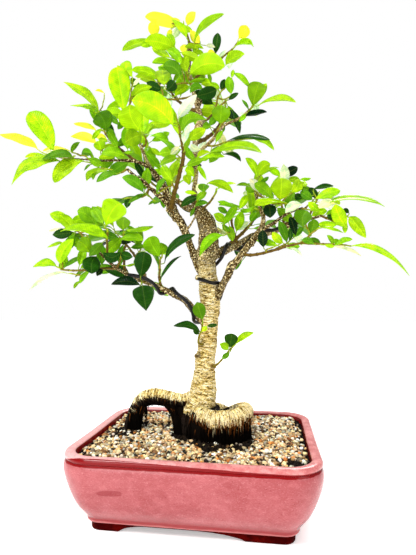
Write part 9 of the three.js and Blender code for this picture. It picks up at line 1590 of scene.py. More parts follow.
            [-145.8, -16.5, 308.8, -150.9, -16, 306.8, -162.2, -20.1, 304.8, -174.2, -20.9, 303.5, -0.095, -0.209, 0.973, 12.1, "D"],
            [-146.2, -16.3, 309.1, -146, -22.3, 303.5, -153.3, -18.6, 294.3, -159.9, -17.7, 283.7, 0.778, 0.444, -0.444, 11.6, "M"],
            [-163.7, -8, 314.2, -167.4, 4, 312.3, -156.3, -0.8, 301.6, -151.9, -1.1, 289.5, -0.815, -0.321, -0.482, 12, "G"],
            [-143.4, -17.7, 307.2, -146.8, -17.7, 310.1, -157.1, -19.6, 319.5, -168, -17.7, 328.5, 0.645, 0.176, 0.744, 14, "L"],
        ]},
    "low_left_front_shoot": {"t": [[[-101.74, -26, 270.22, 1.48], [-100.11, -36, 280.51, 1.34], [-96.13, -48, 291.13, 1.2], [-91.78, -58, 300.39, 1.06]], [[-91.78, -58, 300.39, 1.06], [-92.81, -58, 302.56, 0.96], [-94.34, -57, 304.48, 0.75]], [[-92.81, -58, 302.56, 0.75], [-98.03, -50, 305.75, 0.65]]],
        "l": [
            [-94.7, -55.1, 303.7, -93.2, -60, 305.4, -78.7, -78.5, 318.1, -61.8, -100.7, 320.3, -0.759, -0.395, 0.517, 25.5, "L"],
            [-95.5, -53.9, 304.2, -98.7, -50, 307.3, -107.4, -42.6, 313.5, -113.4, -33.1, 319.4, 0.741, 0.18, 0.647, 10.9, "G"],
            [-94.1, -52.6, 295.4, -91.9, -56, 292.3, -116, -62.9, 303.6, -142, -64.9, 300.9, -0.06, 0.845, 0.531, 26.7, "L"],
            [-94.7, -51.3, 294.2, -103.2, -43.3, 290.2, -112.3, -38.7, 283.9, -121.4, -36.9, 276, 0.651, 0.358, -0.67, 11, "M"],
            [-93.8, -57.3, 303.8, -98.4, -53.3, 309, -107.2, -49.8, 320.8, -116.2, -43, 331.4, 0.811, 0.226, 0.54, 12.6, "G"],
        ]},
    "low_left_upper_shoot": {"t": [[[-82.33, -25, 257.56, 1.7], [-87.13, -18, 269.58, 1.5], [-89.37, -12, 283, 1.28], [-88.46, -8, 296.44, 1.18]], [[-88.46, -8, 296.44, 1.18], [-90.05, -12, 301.81, 1.05], [-89.29, -15, 306.04, 0.81]]],
        "l": [
            [-89.8, -12.8, 303, -89.1, -16, 307.5, -85.3, -27.4, 315.4, -78.9, -40.5, 318.7, -0.934, -0.345, 0.095, 16.3, "G"],
            [-89.8, -12.9, 303.1, -89.4, -6, 310.1, -72.6, -11, 309.8, -54.4, -11.5, 312.1, -0.098, -0.829, -0.551, 15.1, "L"],
            [-90.1, -12, 301.8, -91.4, -22, 296.4, -74.9, -26.8, 298.4, -61.7, -27.1, 293.5, -0.183, -0.65, -0.737, 15.3, "G"],
            [-88.7, -9.3, 292.2, -95.6, -12, 294.4, -88.3, -11.8, 294.9, -81.3, -9.6, 294.7, 0.084, -0.39, -0.917, 6, "K"],
            [-90.1, -12, 301.8, -99.8, -4, 306.3, -89.6, -3.3, 307.8, -79.7, -0.6, 307.1, 0.146, -0.708, -0.691, 9.3, "M"],
            [-89.2, -11.3, 285.4, -78.9, -18, 287.3, -70.6, -20.3, 288.2, -62, -20.6, 288.2, -0.001, -0.366, -0.93, 7.8, "M"],
            [-90.1, -12, 301.8, -91.7, -15, 298.8, -98, -22.2, 289.6, -106.2, -26.2, 280.3, -0.637, -0.332, 0.696, 13.8, "G"],
            [-88.5, -8, 296.4, -96.4, -8, 299.1, -110.2, -7.2, 303.8, -123.6, -3, 308.5, 0.32, -0.025, 0.947, 11.1, "M"],
        ]},
    "low_left_outer_shoot": {"t": [[[-92.52, -26, 262.71, 1.59], [-107.15, -22, 263.15, 1.49], [-123.31, -18, 263.03, 1.39], [-139.82, -14, 261.83, 1.29], [-156.25, -11, 262.2, 1.19]], [[-156.25, -11, 262.2, 1.19], [-164.6, -12, 263.16, 1.07], [-169.7, -13, 265.77, 0.83]], [[-164.6, -12, 263.16, 0.83], [-166.17, -12, 279.43, 0.83], [-166.68, -10, 292.88, 0.72]], [[-131.52, -16, 262.55, 1.4], [-127.68, -22, 263.25, 1.04], [-120.63, -30, 265.55, 0.79]], [[-127.68, -22, 263.25, 1.04], [-137, -20, 256.04, 0.93], [-148.36, -22, 257.64, 0.81]]],
        "l": [
            [-166.6, -10.2, 291.6, -169.5, -4, 296.7, -178.8, -4.1, 295.4, -191.5, -0.5, 291.8, -0.09, 0.58, 0.81, 6.9, "L"],
            [-167.2, -12.5, 264.5, -164.9, -18, 268.9, -159.3, -24.1, 282.8, -145.2, -25.5, 297.5, -0.788, -0.442, 0.428, 14.8, "L"],
            [-121.5, -29, 265.3, -111.1, -40, 275.1, -110.3, -54.4, 267.3, -104.7, -66.6, 254.8, -0.885, -0.397, 0.242, 20, "D"],
            [-168.6, -12.8, 265.2, -167.9, -6, 265.6, -154.9, -5.2, 274.8, -141.9, -0.9, 279, 0.42, -0.733, -0.534, 14.1, "M"],
            [-167.2, -12.5, 264.5, -172.9, -12, 266.6, -184.3, -16.9, 271.3, -200.4, -17.3, 266.5, -0.147, 0.748, 0.647, 15.9, "L"],
            [-147.1, -21.8, 257.5, -156.5, -24, 258.8, -175.3, -30.4, 254, -196.7, -32, 238, -0.376, 0.834, 0.403, 16.1, "W"],
            [-105.6, -22.4, 263.1, -108.3, -28, 261.7, -110.7, -32.3, 258.8, -112.3, -35.3, 253.8, -0.687, -0.325, 0.65, 6.9, "K"],
            [-121.4, -18.5, 263, -126.2, -22, 260.7, -133.1, -24.8, 254.6, -137.3, -25.1, 246, -0.752, 0.463, 0.469, 9.4, "G"],
            [-137, -20, 256, -140.9, -14, 249.3, -147, -12.5, 246.3, -150.4, -12, 240.5, 0.465, 0.828, -0.312, 5, "G"],
            [-131.5, -16, 262.5, -136.3, -10, 264.7, -144.5, -8.2, 260.6, -151.6, -7.2, 254.5, 0.29, 0.94, -0.178, 7.7, "M"],
            [-112.5, -20.7, 263.1, -116, -12.7, 268.2, -115.9, -14.3, 280.6, -117, -12.7, 293, 0.927, 0.373, 0.04, 12.3, "M"],
            [-117.9, -19.3, 263.1, -114.4, -7.3, 262.2, -98.6, -9.3, 261.8, -85.6, -7.3, 256.2, -0.204, -0.01, -0.979, 15.3, "D"],
            [-145.3, -13, 262, -142.4, -16, 267.4, -139.7, -15.1, 278.7, -138.5, -11.5, 289.7, 0.873, 0.425, -0.238, 10.5, "G"],
            [-166.2, -12, 279.4, -172.5, -0, 275, -172.3, -0.8, 268.9, -173, 0, 262.8, -0.889, -0.457, 0.035, 6.8, "G"],
            [-131.5, -16, 262.5, -131.6, -4, 263.6, -117.3, -3.1, 264.1, -103.8, 1.7, 264.9, 0.029, 0.087, -0.996, 12.5, "M"],
            [-166.7, -10, 292.9, -172, 2, 286.3, -173.7, 7.3, 277.1, -174, 10.1, 266.7, 0.893, 0.442, 0.089, 10.9, "G"],
            [-145.3, -13, 262, -145.6, -5, 264.6, -140.7, -5.8, 268.1, -136.8, -2.7, 270.7, 0.494, 0.291, -0.819, 5.3, "L"],
        ]},
    "low_left_inner_shoot": {"t": [[[-119.48, -25, 286.65, 1.38], [-117.81, -30, 284.19, 1.14], [-121.52, -31.5, 288.18, 1.02], [-126.05, -28, 296.75, 0.92], [-132.49, -18, 302.3, 0.82], [-135.22, -13, 303.82, 0.83]]],
        "l": [
            [-118.6, -27.6, 285.4, -123.7, -30, 280.6, -125.6, -41.9, 288.8, -127, -55.2, 290.8, -0.659, -0.205, -0.723, 19.1, "G"],
            [-134.6, -14.1, 303.5, -137.3, -10, 304.8, -145.9, -9.7, 303.7, -154.1, -7.6, 306.5, 0.15, 0.408, 0.9, 7.3, "M"],
        ]},
    "low_left_bud_shoot": {"t": [[[-92.52, -26, 262.71, 1.59], [-88.09, -30, 269.69, 1.24], [-85.1, -34, 276.01, 1]]],
        "l": [
            [-85.6, -33.4, 275, -84, -38, 280.5, -92.3, -42.5, 273.5, -102.5, -42.6, 279.2, -0.038, -0.13, 0.991, 11.9, "D"],
            [-85.6, -33.4, 275, -85.4, -34, 278.9, -77.4, -41.7, 275.4, -67.5, -47.3, 273.5, -0.285, 0.006, -0.958, 10.4, "D"],
            [-89.6, -28.6, 267.2, -80.6, -30, 265.5, -74.6, -31.5, 265.9, -68.9, -31.8, 267.5, 0.05, -0.564, -0.824, 4.1, "G"],
        ]},
    "low_left_hanging_shoot": {"t": [[[-60.53, -23, 247.32, 2.03], [-62.11, -27, 246.72, 1.12], [-62.35, -30, 245.93, 0.89]]],
        "l": [
            [-62.3, -28.8, 246.2, -62.4, -34, 251.5, -56.8, -44.5, 267.1, -50.7, -58.7, 278, -0.944, -0.298, 0.139, 19.3, "D"],
            [-62.3, -28.8, 246.2, -56.6, -46, 242.5, -48.1, -68.5, 232, -40.1, -87.2, 216.8, -0.947, -0.281, -0.156, 23.2, "D"],
            [-62.3, -28.8, 246.2, -61.2, -40, 243, -75.3, -45.1, 248, -91.9, -45.6, 244.4, -0.104, 0.733, 0.673, 16.9, "K"],
        ]},
    "low_left_upright_shoot": {"t": [[[-42.8, -22, 241.63, 1.69], [-42.72, -27, 252.62, 1.45], [-41.4, -31, 263.47, 1.22], [-40.11, -34, 272.04, 0.99]], [[-40.11, -34, 272.04, 1.1], [-38.4, -35, 273.69, 0.99], [-37.7, -36, 275.56, 0.77]], [[-43.12, -24, 247.18, 0.9], [-40.37, -32, 247.93, 0.66]]],
        "l": [
            [-40.5, -33.1, 269.6, -40.7, -34, 274.5, -46.3, -42.5, 284.9, -47.8, -54, 293.4, -0.85, -0.17, -0.498, 19.1, "G"],
            [-43.1, -24, 247.2, -48.3, -10, 263.8, -54.9, -8.9, 282.3, -69.8, -4.3, 291.2, 0.275, 0.961, 0.017, 14.2, "M"],
            [-40.9, -32.2, 266.8, -32.8, -44, 267.3, -21.8, -50.4, 284.8, 1.7, -51.9, 295.4, 0.316, -0.738, -0.596, 17.8, "D"],
            [-40.8, -30.8, 247.8, -38.6, -38, 249, -28.8, -43.2, 264.3, -15, -43.8, 274.6, 0.32, -0.818, -0.479, 11.6, "D"],
            [-42.7, -25.3, 249, -44.4, -17.3, 252.4, -44.7, -18.2, 257.6, -43.5, -15.2, 262.8, 0.958, 0.255, -0.134, 5.2, "W"],
        ]},
    "left_lower_shoot": {"t": [[[-56.39, -24, 355.43, 1.59], [-58.38, -25, 347.19, 1.14], [-68.6, -26, 343.17, 0.91], [-81.92, -25, 343.41, 0.8]], [[-58.38, -25, 347.19, 0.91], [-51.33, -25, 340.53, 0.79]]],
        "l": [
            [-54, -25, 343.1, -58.9, -37, 346, -67.5, -42.3, 357, -81.7, -42.9, 362.1, 0.582, -0.037, 0.813, 12.2, "M"],
            [-56.9, -24.2, 353.5, -68.2, -6, 351.5, -88.4, -3.7, 347.5, -119.8, 1.9, 344.2, 0.041, 0.814, 0.58, 19.6, "M"],
            [-80.6, -25.1, 343.4, -88.9, -22, 343.7, -100.7, -20, 342.6, -112, -18.4, 338.4, 0.178, 0.977, -0.116, 9, "M"],
            [-77.7, -25.3, 343.3, -78.6, -25, 342.1, -79.9, -28.9, 337, -79.9, -31.4, 330.4, -0.881, -0.369, 0.296, 7.5, "D"],
            [-56, -25, 345, -57.7, -30, 346.4, -67.9, -33.2, 341.8, -77.4, -33.8, 335.3, -0.478, 0.598, 0.644, 9.5, "M"],
            [-52.3, -25, 341.4, -45.1, -24, 338.2, -51, -25.8, 337.9, -56.4, -26, 334.6, -0.334, 0.37, 0.867, 4.5, "M"],
            [-61.8, -25.3, 345.9, -63.4, -17.3, 353.6, -60.3, -21.6, 365.4, -58.2, -22.6, 378, 0.939, 0.316, -0.133, 11.6, "G"],
        ]},
    "trunk_left_sprout": {"t": [[[6.6, -14, 176.79, 1.79], [0.01, -18, 179.31, 1.11], [1.33, -22, 187.39, 1.1], [5.09, -26, 195.05, 0.98], [6.37, -30, 202.56, 0.87]]],
        "l": [
            [6.2, -29.4, 201.4, 6.8, -34, 205.6, 4.6, -42.1, 216.8, 3.8, -52.9, 225.3, -0.94, -0.162, -0.299, 14, "M"],
            [3, -23.8, 190.8, 2.7, -26, 192, -8.3, -31, 199.7, -25.8, -31.4, 199.1, -0.026, 0.844, 0.536, 13.5, "D"],
            [0.9, -20.6, 184.6, 0.9, -20, 189.4, -1.5, -23.6, 191.6, -4.7, -26.1, 194.2, 0.541, 0.155, 0.827, 5.5, "D"],
            [5.2, -26.2, 195.5, 10.5, -24, 198.6, 16.4, -26, 199.4, 22.5, -26.3, 200.2, 0.128, -0.041, -0.991, 4.4, "D"],
            [3.8, -24.7, 192.5, 6.6, -34, 193.2, 9.9, -37.4, 196.7, 12.5, -41.9, 199.2, -0.753, -0.07, 0.654, 5.4, "L"],
        ]},
    "trunk_right_sprout": {"t": [[[14.49, -14, 152.6, 1.78], [21.25, -18, 156.63, 1.21], [26.69, -22, 162.41, 1.09], [33.75, -28, 171.15, 0.97], [39.68, -29, 177.75, 0.86]]],
        "l": [
            [34.7, -28.2, 172.2, 36.2, -33, 176, 38.4, -42.4, 186.4, 40.4, -54.2, 193.5, -0.986, -0.075, 0.148, 14.6, "D"],
            [37.3, -28.6, 175.2, 41.8, -26, 179.4, 49, -30.2, 187.8, 61.4, -29.9, 192.5, 0.271, -0.732, -0.626, 9.9, "L"],
            [35.3, -28.3, 172.8, 34.9, -34, 174.1, 31.7, -38.7, 178.3, 26.4, -41.9, 181.1, 0.544, 0.147, 0.826, 8.3, "L"],
            [38.7, -28.8, 176.6, 36.3, -36, 171.6, 32.7, -39.1, 168.7, 28.7, -40.8, 165.4, -0.642, 0.033, 0.766, 5.8, "M"],
        ]},
    "back_right_shoot": {"t": [[[6, 2, 276, 3.6], [18, 20, 286, 3], [34, 38, 300, 2.5], [50, 54, 318, 2], [62, 66, 336, 1.6], [70, 76, 352, 1.2]], [[46, 50, 313.5, 1.7], [50.08, 51.63, 318.29, 1.32], [53.81, 53.12, 323.4, 0.94], [57.21, 54.49, 328.77, 0.75], [60.3, 55.72, 334.35, 0.75]], [[60.8, 64.8, 334.2, 1.31], [57.52, 68.73, 338.21, 1.02], [54.48, 72.38, 342.65, 0.75], [51.68, 75.74, 347.45, 0.75], [49.12, 78.82, 352.57, 0.75]], [[70, 76, 352, 0.96], [71.61, 80.28, 355.88, 0.75], [73.09, 84.24, 360.14, 0.75], [74.46, 87.88, 364.71, 0.75], [75.7, 91.21, 369.55, 0.75]]],
        "l": [
            [52.3, 52.5, 321.3, 58.7, 56.7, 322.8, 73.6, 66.5, 325.8, 88.2, 76.2, 321.1, 0.549, -0.835, -0.014, 17.7, "M"],
            [53.6, 53.1, 323.2, 57, 50.1, 326.4, 71.5, 38.6, 339.9, 87.7, 23.2, 345.2, -0.709, -0.681, 0.183, 22.8, "M"],
            [56.2, 54.1, 327.2, 55.8, 53.8, 335.7, 57.6, 50.4, 356.3, 53.2, 51.5, 376.8, 0.586, 0.806, 0.082, 19.8, "L"],
            [57.4, 54.6, 329.2, 57.5, 59.5, 336.5, 57.6, 68.4, 351.6, 57.7, 83.1, 361.1, 1, 0.003, -0.011, 16.4, "W"],
            [58.6, 55, 331.2, 63.4, 54.6, 334.2, 79, 53.6, 344.1, 96.8, 51.3, 348.7, -0.17, -0.97, 0.177, 18.4, "L"],
            [59.7, 55.5, 333.3, 64, 56.4, 338.9, 78.4, 59.4, 352.6, 96.2, 63.3, 361.1, 0.236, -0.971, -0.04, 19.5, "L"],
            [55.7, 70.9, 340.8, 47.4, 73.3, 339.8, 28.7, 78.3, 337.8, 12.2, 83.8, 328.9, 0.236, 0.959, 0.157, 16.7, "G"],
            [54.6, 72.2, 342.5, 49.9, 75, 344.1, 29, 86.3, 344.7, 10.4, 98.5, 336.3, 0.471, 0.859, 0.202, 21.9, "L"],
            [53.6, 73.5, 344.2, 56.6, 77.9, 347.2, 64.7, 91.2, 349.3, 74.1, 103.5, 347.1, 0.767, -0.523, 0.372, 15.3, "M"],
            [52.5, 74.7, 346, 44.5, 76.3, 349.3, 28.2, 80, 354.8, 10.9, 83.2, 356.3, 0.161, 0.972, -0.169, 17, "G"],
            [72.5, 82.6, 358.4, 78.1, 85, 363.5, 92.9, 90.7, 373.4, 109.7, 98.4, 377.3, 0.436, -0.89, -0.135, 15.8, "L"],
            [73, 84.1, 360, 76.8, 81.6, 367, 85.3, 75.3, 381.1, 96.8, 68.7, 392.8, -0.297, -0.926, -0.233, 18.2, "L"],
            [73.5, 85.4, 361.6, 72.1, 85.3, 367, 67.5, 88.8, 383.3, 61.3, 84.6, 398.8, -0.923, 0.231, -0.308, 16.1, "L"],
            [39.3, 43.3, 306, 38.8, 51.3, 302.4, 39, 52, 291.9, 38.9, 55.5, 282, -0.997, -0.071, -0.019, 10.3, "D"],
            [58.2, 54.9, 330.6, 52.4, 66.9, 329.1, 44.4, 63.4, 323.7, 36.9, 64.2, 317.7, -0.564, -0.174, 0.807, 9.7, "W"],
            [50.1, 51.6, 318.3, 59.1, 45.6, 316.6, 70.5, 46.2, 317, 81.5, 49.4, 315.6, 0.055, -0.563, -0.825, 9.3, "G"],
            [74.5, 87.9, 364.7, 65.3, 91.9, 368.1, 53.2, 95.9, 372.3, 42.5, 103, 376.8, 0.251, -0.222, 0.942, 12.6, "W"],
        ]},
    "back_left_shoot": {"t": [[[2, -2, 322, 3.4], [-12, 18, 334, 2.9], [-32, 36, 348, 2.4], [-54, 50, 364, 1.9], [-72, 62, 380, 1.5], [-86, 72, 392, 1.2]], [[-48.5, 46.5, 360, 1.62], [-49.82, 52.45, 363.44, 1.26], [-51.06, 58.04, 367.47, 0.9], [-52.22, 63.25, 372, 0.75], [-53.29, 68.07, 376.96, 0.75]], [[-72, 62, 380, 1.2], [-76.19, 61.4, 384.26, 0.93], [-80.04, 60.85, 388.83, 0.75], [-83.55, 60.35, 393.66, 0.75], [-86.75, 59.89, 398.72, 0.75]], [[-86, 72, 392, 0.96], [-89.43, 75.43, 395.53, 0.75], [-92.62, 78.62, 399.49, 0.75], [-95.56, 81.56, 403.81, 0.75], [-98.27, 84.27, 408.43, 0.75]]],
        "l": [
            [-50.6, 55.7, 365.8, -51.9, 55, 373.6, -52.7, 50.4, 393.6, -62.3, 49.3, 411.7, 0.322, 0.92, 0.223, 19.4, "L"],
            [-51, 57.8, 367.3, -48.4, 59.8, 371.1, -40.2, 65.9, 385.1, -27.9, 75.3, 393.1, 0.608, -0.794, -0.009, 16.6, "L"],
            [-51.4, 59.8, 369, -57.2, 65.6, 369.8, -69.9, 78.4, 368.5, -81.7, 90.5, 362.5, 0.707, 0.706, 0.04, 17.1, "M"],
            [-51.9, 61.7, 370.6, -54.9, 62.3, 376, -71.4, 64.1, 391.8, -90.7, 69.6, 403, 0.455, 0.802, 0.387, 22.6, "D"],
            [-52.3, 63.6, 372.4, -52.3, 69.5, 372.6, -52.4, 86.5, 373, -52.6, 102.6, 367.6, 1, 0.006, -0.01, 14.2, "M"],
            [-52.7, 65.4, 374.2, -51.9, 66.6, 381.4, -50.1, 70.2, 403.8, -43.6, 79.6, 423.4, 0.785, -0.618, 0.036, 22.8, "L"],
            [-53.1, 67.2, 376, -52.9, 71.6, 381.8, -52.9, 83.6, 397.7, -51.9, 99.8, 409.4, 0.986, -0.135, 0.101, 18.1, "W"],
            [-78.4, 61.1, 386.9, -77.4, 57.3, 392.8, -75.6, 48.1, 405.3, -71.5, 36.9, 415.5, -0.78, -0.551, -0.295, 15.3, "G"],
            [-79.9, 60.9, 388.6, -83.4, 66.1, 393.7, -93.7, 80.8, 400.2, -104.3, 96.5, 401.8, 0.828, 0.56, 0.034, 17.2, "M"],
            [-82.5, 60.5, 392.2, -81.6, 59.4, 399.1, -79.5, 58.5, 415.1, -74.8, 51, 428.6, -0.915, -0.39, 0.099, 14.2, "G"],
            [-85, 60.1, 395.9, -86.2, 55.8, 399, -91.9, 38.9, 408.5, -96.4, 19.4, 411.3, -0.952, 0.186, -0.241, 16.9, "G"],
            [-86.2, 60, 397.8, -90.3, 61.2, 405.1, -104.5, 66.5, 421.5, -123.6, 70.9, 431.9, 0.099, 0.968, -0.228, 18.9, "L"],
            [-91.3, 77.3, 397.9, -91.2, 80.1, 406, -88.4, 86.4, 427.9, -90.9, 97.3, 448, 0.688, 0.669, -0.281, 21.2, "G"],
            [-93.6, 79.6, 400.9, -97.4, 78.2, 404.6, -114.2, 72.8, 419, -133.4, 64.7, 428.4, -0.477, 0.845, -0.243, 22.4, "G"],
            [-95.8, 81.8, 404.1, -97.3, 80.1, 409.9, -103.1, 74.3, 431.5, -113.5, 62.3, 448.4, -0.788, 0.613, -0.049, 20.1, "L"],
            [-97.8, 83.8, 407.6, -102.3, 86.5, 411.9, -114.1, 93.2, 419.8, -127.4, 101.4, 422, 0.538, 0.838, 0.094, 13.3, "M"],
            [-66, 58, 374.7, -64.7, 62, 366.5, -61.7, 61.9, 358, -61.2, 65.5, 350.1, -0.952, -0.185, -0.244, 7.7, "M"],
            [-54, 50, 364, -51.9, 47, 357.2, -49.5, 47.8, 345.6, -47.9, 51.7, 334.6, -0.96, -0.182, -0.212, 8.8, "M"],
            [-95.6, 81.6, 403.8, -88.8, 85.6, 405.4, -75.4, 81.4, 404.7, -61.6, 80.5, 405, 0.044, 0.306, -0.951, 10.3, "L"],
            [-39.3, 40.7, 353.3, -39.1, 52.7, 354.2, -28.1, 48.1, 346.8, -18.7, 48.1, 339.7, -0.567, 0.069, -0.821, 9.1, "D"],
        ]},
    "back_upper_shoot": {"t": [[[-4, -4, 412, 2.8], [4, 16, 424, 2.4], [14, 34, 442, 2], [20, 50, 462, 1.6], [24, 64, 480, 1.2]], [[16.4, 40.4, 450, 1.47], [20.89, 42.97, 453.94, 1.14], [25.06, 45.35, 458.32, 0.82], [28.9, 47.55, 463.08, 0.75], [32.43, 49.56, 468.15, 0.75]], [[24, 64, 480, 0.96], [22.97, 68.1, 484.26, 0.75], [22.03, 71.87, 488.83, 0.75], [21.17, 75.32, 493.66, 0.75], [20.39, 78.45, 498.72, 0.75]]],
        "l": [
            [23.3, 44.4, 456.5, 24.8, 48.7, 459.1, 31.3, 68.1, 465.1, 37.8, 88.4, 464.5, 0.951, -0.306, -0.045, 20.6, "M"],
            [24.9, 45.2, 458.1, 22.4, 46.1, 466.7, 15.4, 51.1, 488.8, -0.7, 53.5, 506, -0.134, 0.956, -0.261, 20.2, "W"],
            [27.8, 46.9, 461.6, 27.9, 53.3, 467.6, 28.3, 68.6, 475.4, 28.8, 85.7, 477.4, 1, -0.028, 0.004, 16.3, "M"],
            [29.2, 47.7, 463.4, 35.3, 50.8, 466.1, 49.9, 56.9, 470.2, 63.8, 65.3, 468.6, 0.447, -0.821, -0.356, 14.7, "W"],
            [22.4, 70.3, 486.9, 18, 70.2, 493.6, 6.3, 70.9, 514.1, -12.5, 69.1, 528.2, -0.208, 0.966, -0.155, 20.7, "L"],
            [22.1, 71.7, 488.6, 15.5, 75.3, 492.3, 2.3, 83.3, 496.8, -12.2, 90.5, 496.4, 0.435, 0.864, -0.253, 14.7, "L"],
            [21.7, 73, 490.4, 20.3, 77.9, 490.3, 16.8, 92.3, 485.7, 12.6, 104.4, 477.1, 0.958, 0.16, -0.239, 14.3, "M"],
            [21.4, 74.3, 492.2, 16.9, 77.7, 496.4, 3.9, 87, 505.1, -9.9, 97.7, 509.8, 0.639, 0.756, 0.143, 16.1, "L"],
            [14, 34, 442, 14.1, 46, 443.6, 19.4, 44.3, 432.2, 24.9, 46, 421, -0.901, 0.064, -0.429, 10.6, "W"],
            [14, 34, 442, 7, 38, 446.1, -5.7, 39.2, 451.2, -17.5, 43.6, 457.2, 0.329, -0.322, 0.888, 12.4, "G"],
            [7.3, 22, 430, 2.6, 26, 425.4, -3, 26, 418.4, -8.1, 29.6, 411.9, 0.783, 0.319, -0.533, 7.7, "W"],
            [20, 50, 462, 20.4, 50, 456.4, 21, 48, 450, 21.5, 47.6, 443.3, -0.994, -0.077, -0.072, 5, "M"],
        ]},
    "back_crown_shoot": {"t": [[[-6, 1, 452, 2.2], [-20, 18, 464, 1.9], [-36, 34, 482, 1.6], [-48, 46, 500, 1.2]], [[-33.76, 31.76, 479.48, 1.31], [-35.42, 36.74, 482.38, 1.02], [-36.98, 41.43, 485.78, 0.75], [-38.44, 45.8, 489.63, 0.75], [-39.79, 49.84, 493.85, 0.75]], [[-48, 46, 500, 0.96], [-50.53, 47.52, 504.64, 0.75], [-52.82, 48.89, 509.45, 0.75], [-54.89, 50.13, 514.39, 0.75], [-56.75, 51.25, 519.44, 0.75]]],
        "l": [
            [-36.3, 39.5, 484.4, -33.1, 45.1, 483.9, -23.8, 58.6, 478.2, -17.9, 71.2, 467.9, 0.685, -0.627, -0.371, 17.1, "G"],
            [-36.9, 41.2, 485.6, -44.9, 43.2, 487.9, -66.9, 47.6, 493.2, -89, 54, 490.4, 0.245, 0.943, 0.226, 21.6, "L"],
            [-37.5, 42.9, 487, -35, 45.4, 493.4, -25.2, 53.2, 508.6, -13.9, 66.5, 517.7, 0.818, -0.511, -0.264, 16.6, "G"],
            [-38, 44.5, 488.5, -41, 44.6, 494.6, -50.3, 46.8, 516.6, -65.3, 45.9, 535.2, -0.346, 0.908, -0.235, 22.6, "G"],
            [-38.5, 46.1, 489.9, -45.7, 46.2, 493.5, -62.8, 47.5, 502.4, -82.1, 46.9, 502.9, -0.036, 0.977, -0.209, 18.3, "G"],
            [-39.5, 49.1, 493.1, -42.2, 54.6, 498.5, -49.7, 71.5, 514.3, -60.2, 92.1, 522.2, 0.87, 0.482, -0.102, 21.3, "M"],
            [-51.9, 48.3, 507.5, -46.8, 49.9, 514.6, -36.6, 54.6, 529.3, -21.2, 58, 539.1, 0.043, -0.961, 0.272, 15.7, "G"],
            [-52.7, 48.8, 509.2, -58.7, 52.7, 511.1, -76.7, 64.1, 510.1, -93.3, 74.8, 502, 0.534, 0.845, 0.03, 20.7, "M"],
            [-53.5, 49.3, 511.1, -58.2, 46, 514.5, -73.7, 35.8, 523.3, -90.1, 23.5, 523.9, -0.597, 0.792, -0.129, 17.8, "L"],
            [-54.3, 49.8, 512.9, -53.9, 54.6, 519.3, -55.1, 67, 538.1, -51.3, 85.6, 550.3, 0.872, -0.381, 0.308, 21.9, "M"],
            [-55, 50.2, 514.8, -60.4, 53.4, 516.8, -74.7, 61, 518.5, -87.9, 69.4, 513.9, 0.479, 0.856, 0.195, 14, "D"],
            [-55.7, 50.6, 516.6, -63.4, 51.6, 520.5, -79.2, 53.9, 526, -96, 55.7, 526.6, 0.098, 0.986, -0.137, 15.5, "W"],
            [-56.4, 51, 518.5, -57.4, 53.7, 526.2, -61.4, 60.4, 542.3, -64.5, 72.9, 554.8, 0.97, -0.008, 0.245, 16, "L"],
            [-10.7, 6.7, 456, -5.2, 6.7, 454.3, 8.4, 7.7, 451.7, 21.1, 12.2, 448.6, 0.27, -0.361, 0.893, 13.2, "L"],
            [-25.3, 23.3, 470, -25, 17.3, 459.9, -26.7, 18.2, 447.8, -29.1, 22.4, 436.5, -0.962, -0.248, 0.116, 10.4, "G"],
        ]},
    "back_right_low_shoot": {"t": [[[52, 13, 294, 2.8], [70, 28, 304, 2.4], [94, 44, 318, 2], [114, 56, 334, 1.6], [128, 66, 348, 1.2]], [[98, 46.4, 321.2, 1.54], [97.38, 52.01, 324.43, 1.19], [96.79, 57.27, 328.2, 0.85], [96.25, 62.17, 332.43, 0.75], [95.74, 66.7, 337.07, 0.75]], [[128, 66, 348, 0.96], [132.14, 68.76, 352.18, 0.75], [135.97, 71.32, 356.77, 0.75], [139.5, 73.66, 361.7, 0.75], [142.72, 75.81, 366.92, 0.75]]],
        "l": [
            [97, 55.1, 326.6, 102, 59.6, 327.4, 119.6, 74.1, 323.7, 133.1, 88.1, 311.3, 0.59, -0.774, -0.229, 22.9, "M"],
            [96.8, 57, 328, 93.6, 61.1, 329.1, 83.9, 73.2, 330.9, 74.3, 85.2, 328.3, 0.781, 0.624, 0.015, 13.6, "G"],
            [96.6, 58.9, 329.6, 97.1, 67.5, 328.2, 98.1, 86.5, 325, 99.4, 103.2, 315.3, 0.997, -0.037, 0.069, 17, "G"],
            [96.4, 60.7, 331.2, 101.7, 61.6, 338.2, 116.3, 65.9, 353.8, 136.4, 67.3, 362.5, -0.079, -0.939, 0.335, 18.7, "M"],
            [95.8, 65.9, 336.2, 95.6, 71.7, 340.9, 95.4, 87, 347, 94.4, 103.4, 347.6, 0.991, 0.064, -0.119, 14, "M"],
            [134.3, 70.2, 354.8, 139.5, 73.8, 353.7, 158.1, 86.2, 351, 173.4, 97.7, 339.1, 0.536, -0.835, -0.12, 21.1, "W"],
            [136.7, 71.8, 357.8, 141.5, 75, 358.7, 157.1, 85.2, 360.2, 171.8, 95.2, 354.4, 0.55, -0.834, -0.051, 18.5, "L"],
            [98, 46.4, 321.2, 103.7, 58.4, 316.4, 113.8, 56.4, 307.2, 119.8, 58.4, 295.3, -0.787, 0.133, -0.602, 10.4, "W"],
            [95.9, 65.2, 335.5, 100, 73.2, 345.1, 105.7, 71.2, 356.6, 111.3, 73.2, 368.2, 0.898, 0.057, -0.436, 14.4, "G"],
            [142.7, 75.8, 366.9, 135.8, 79.8, 369.9, 127, 79.9, 373.1, 118.2, 83.6, 375.8, 0.254, -0.258, 0.932, 8, "M"],
        ]},
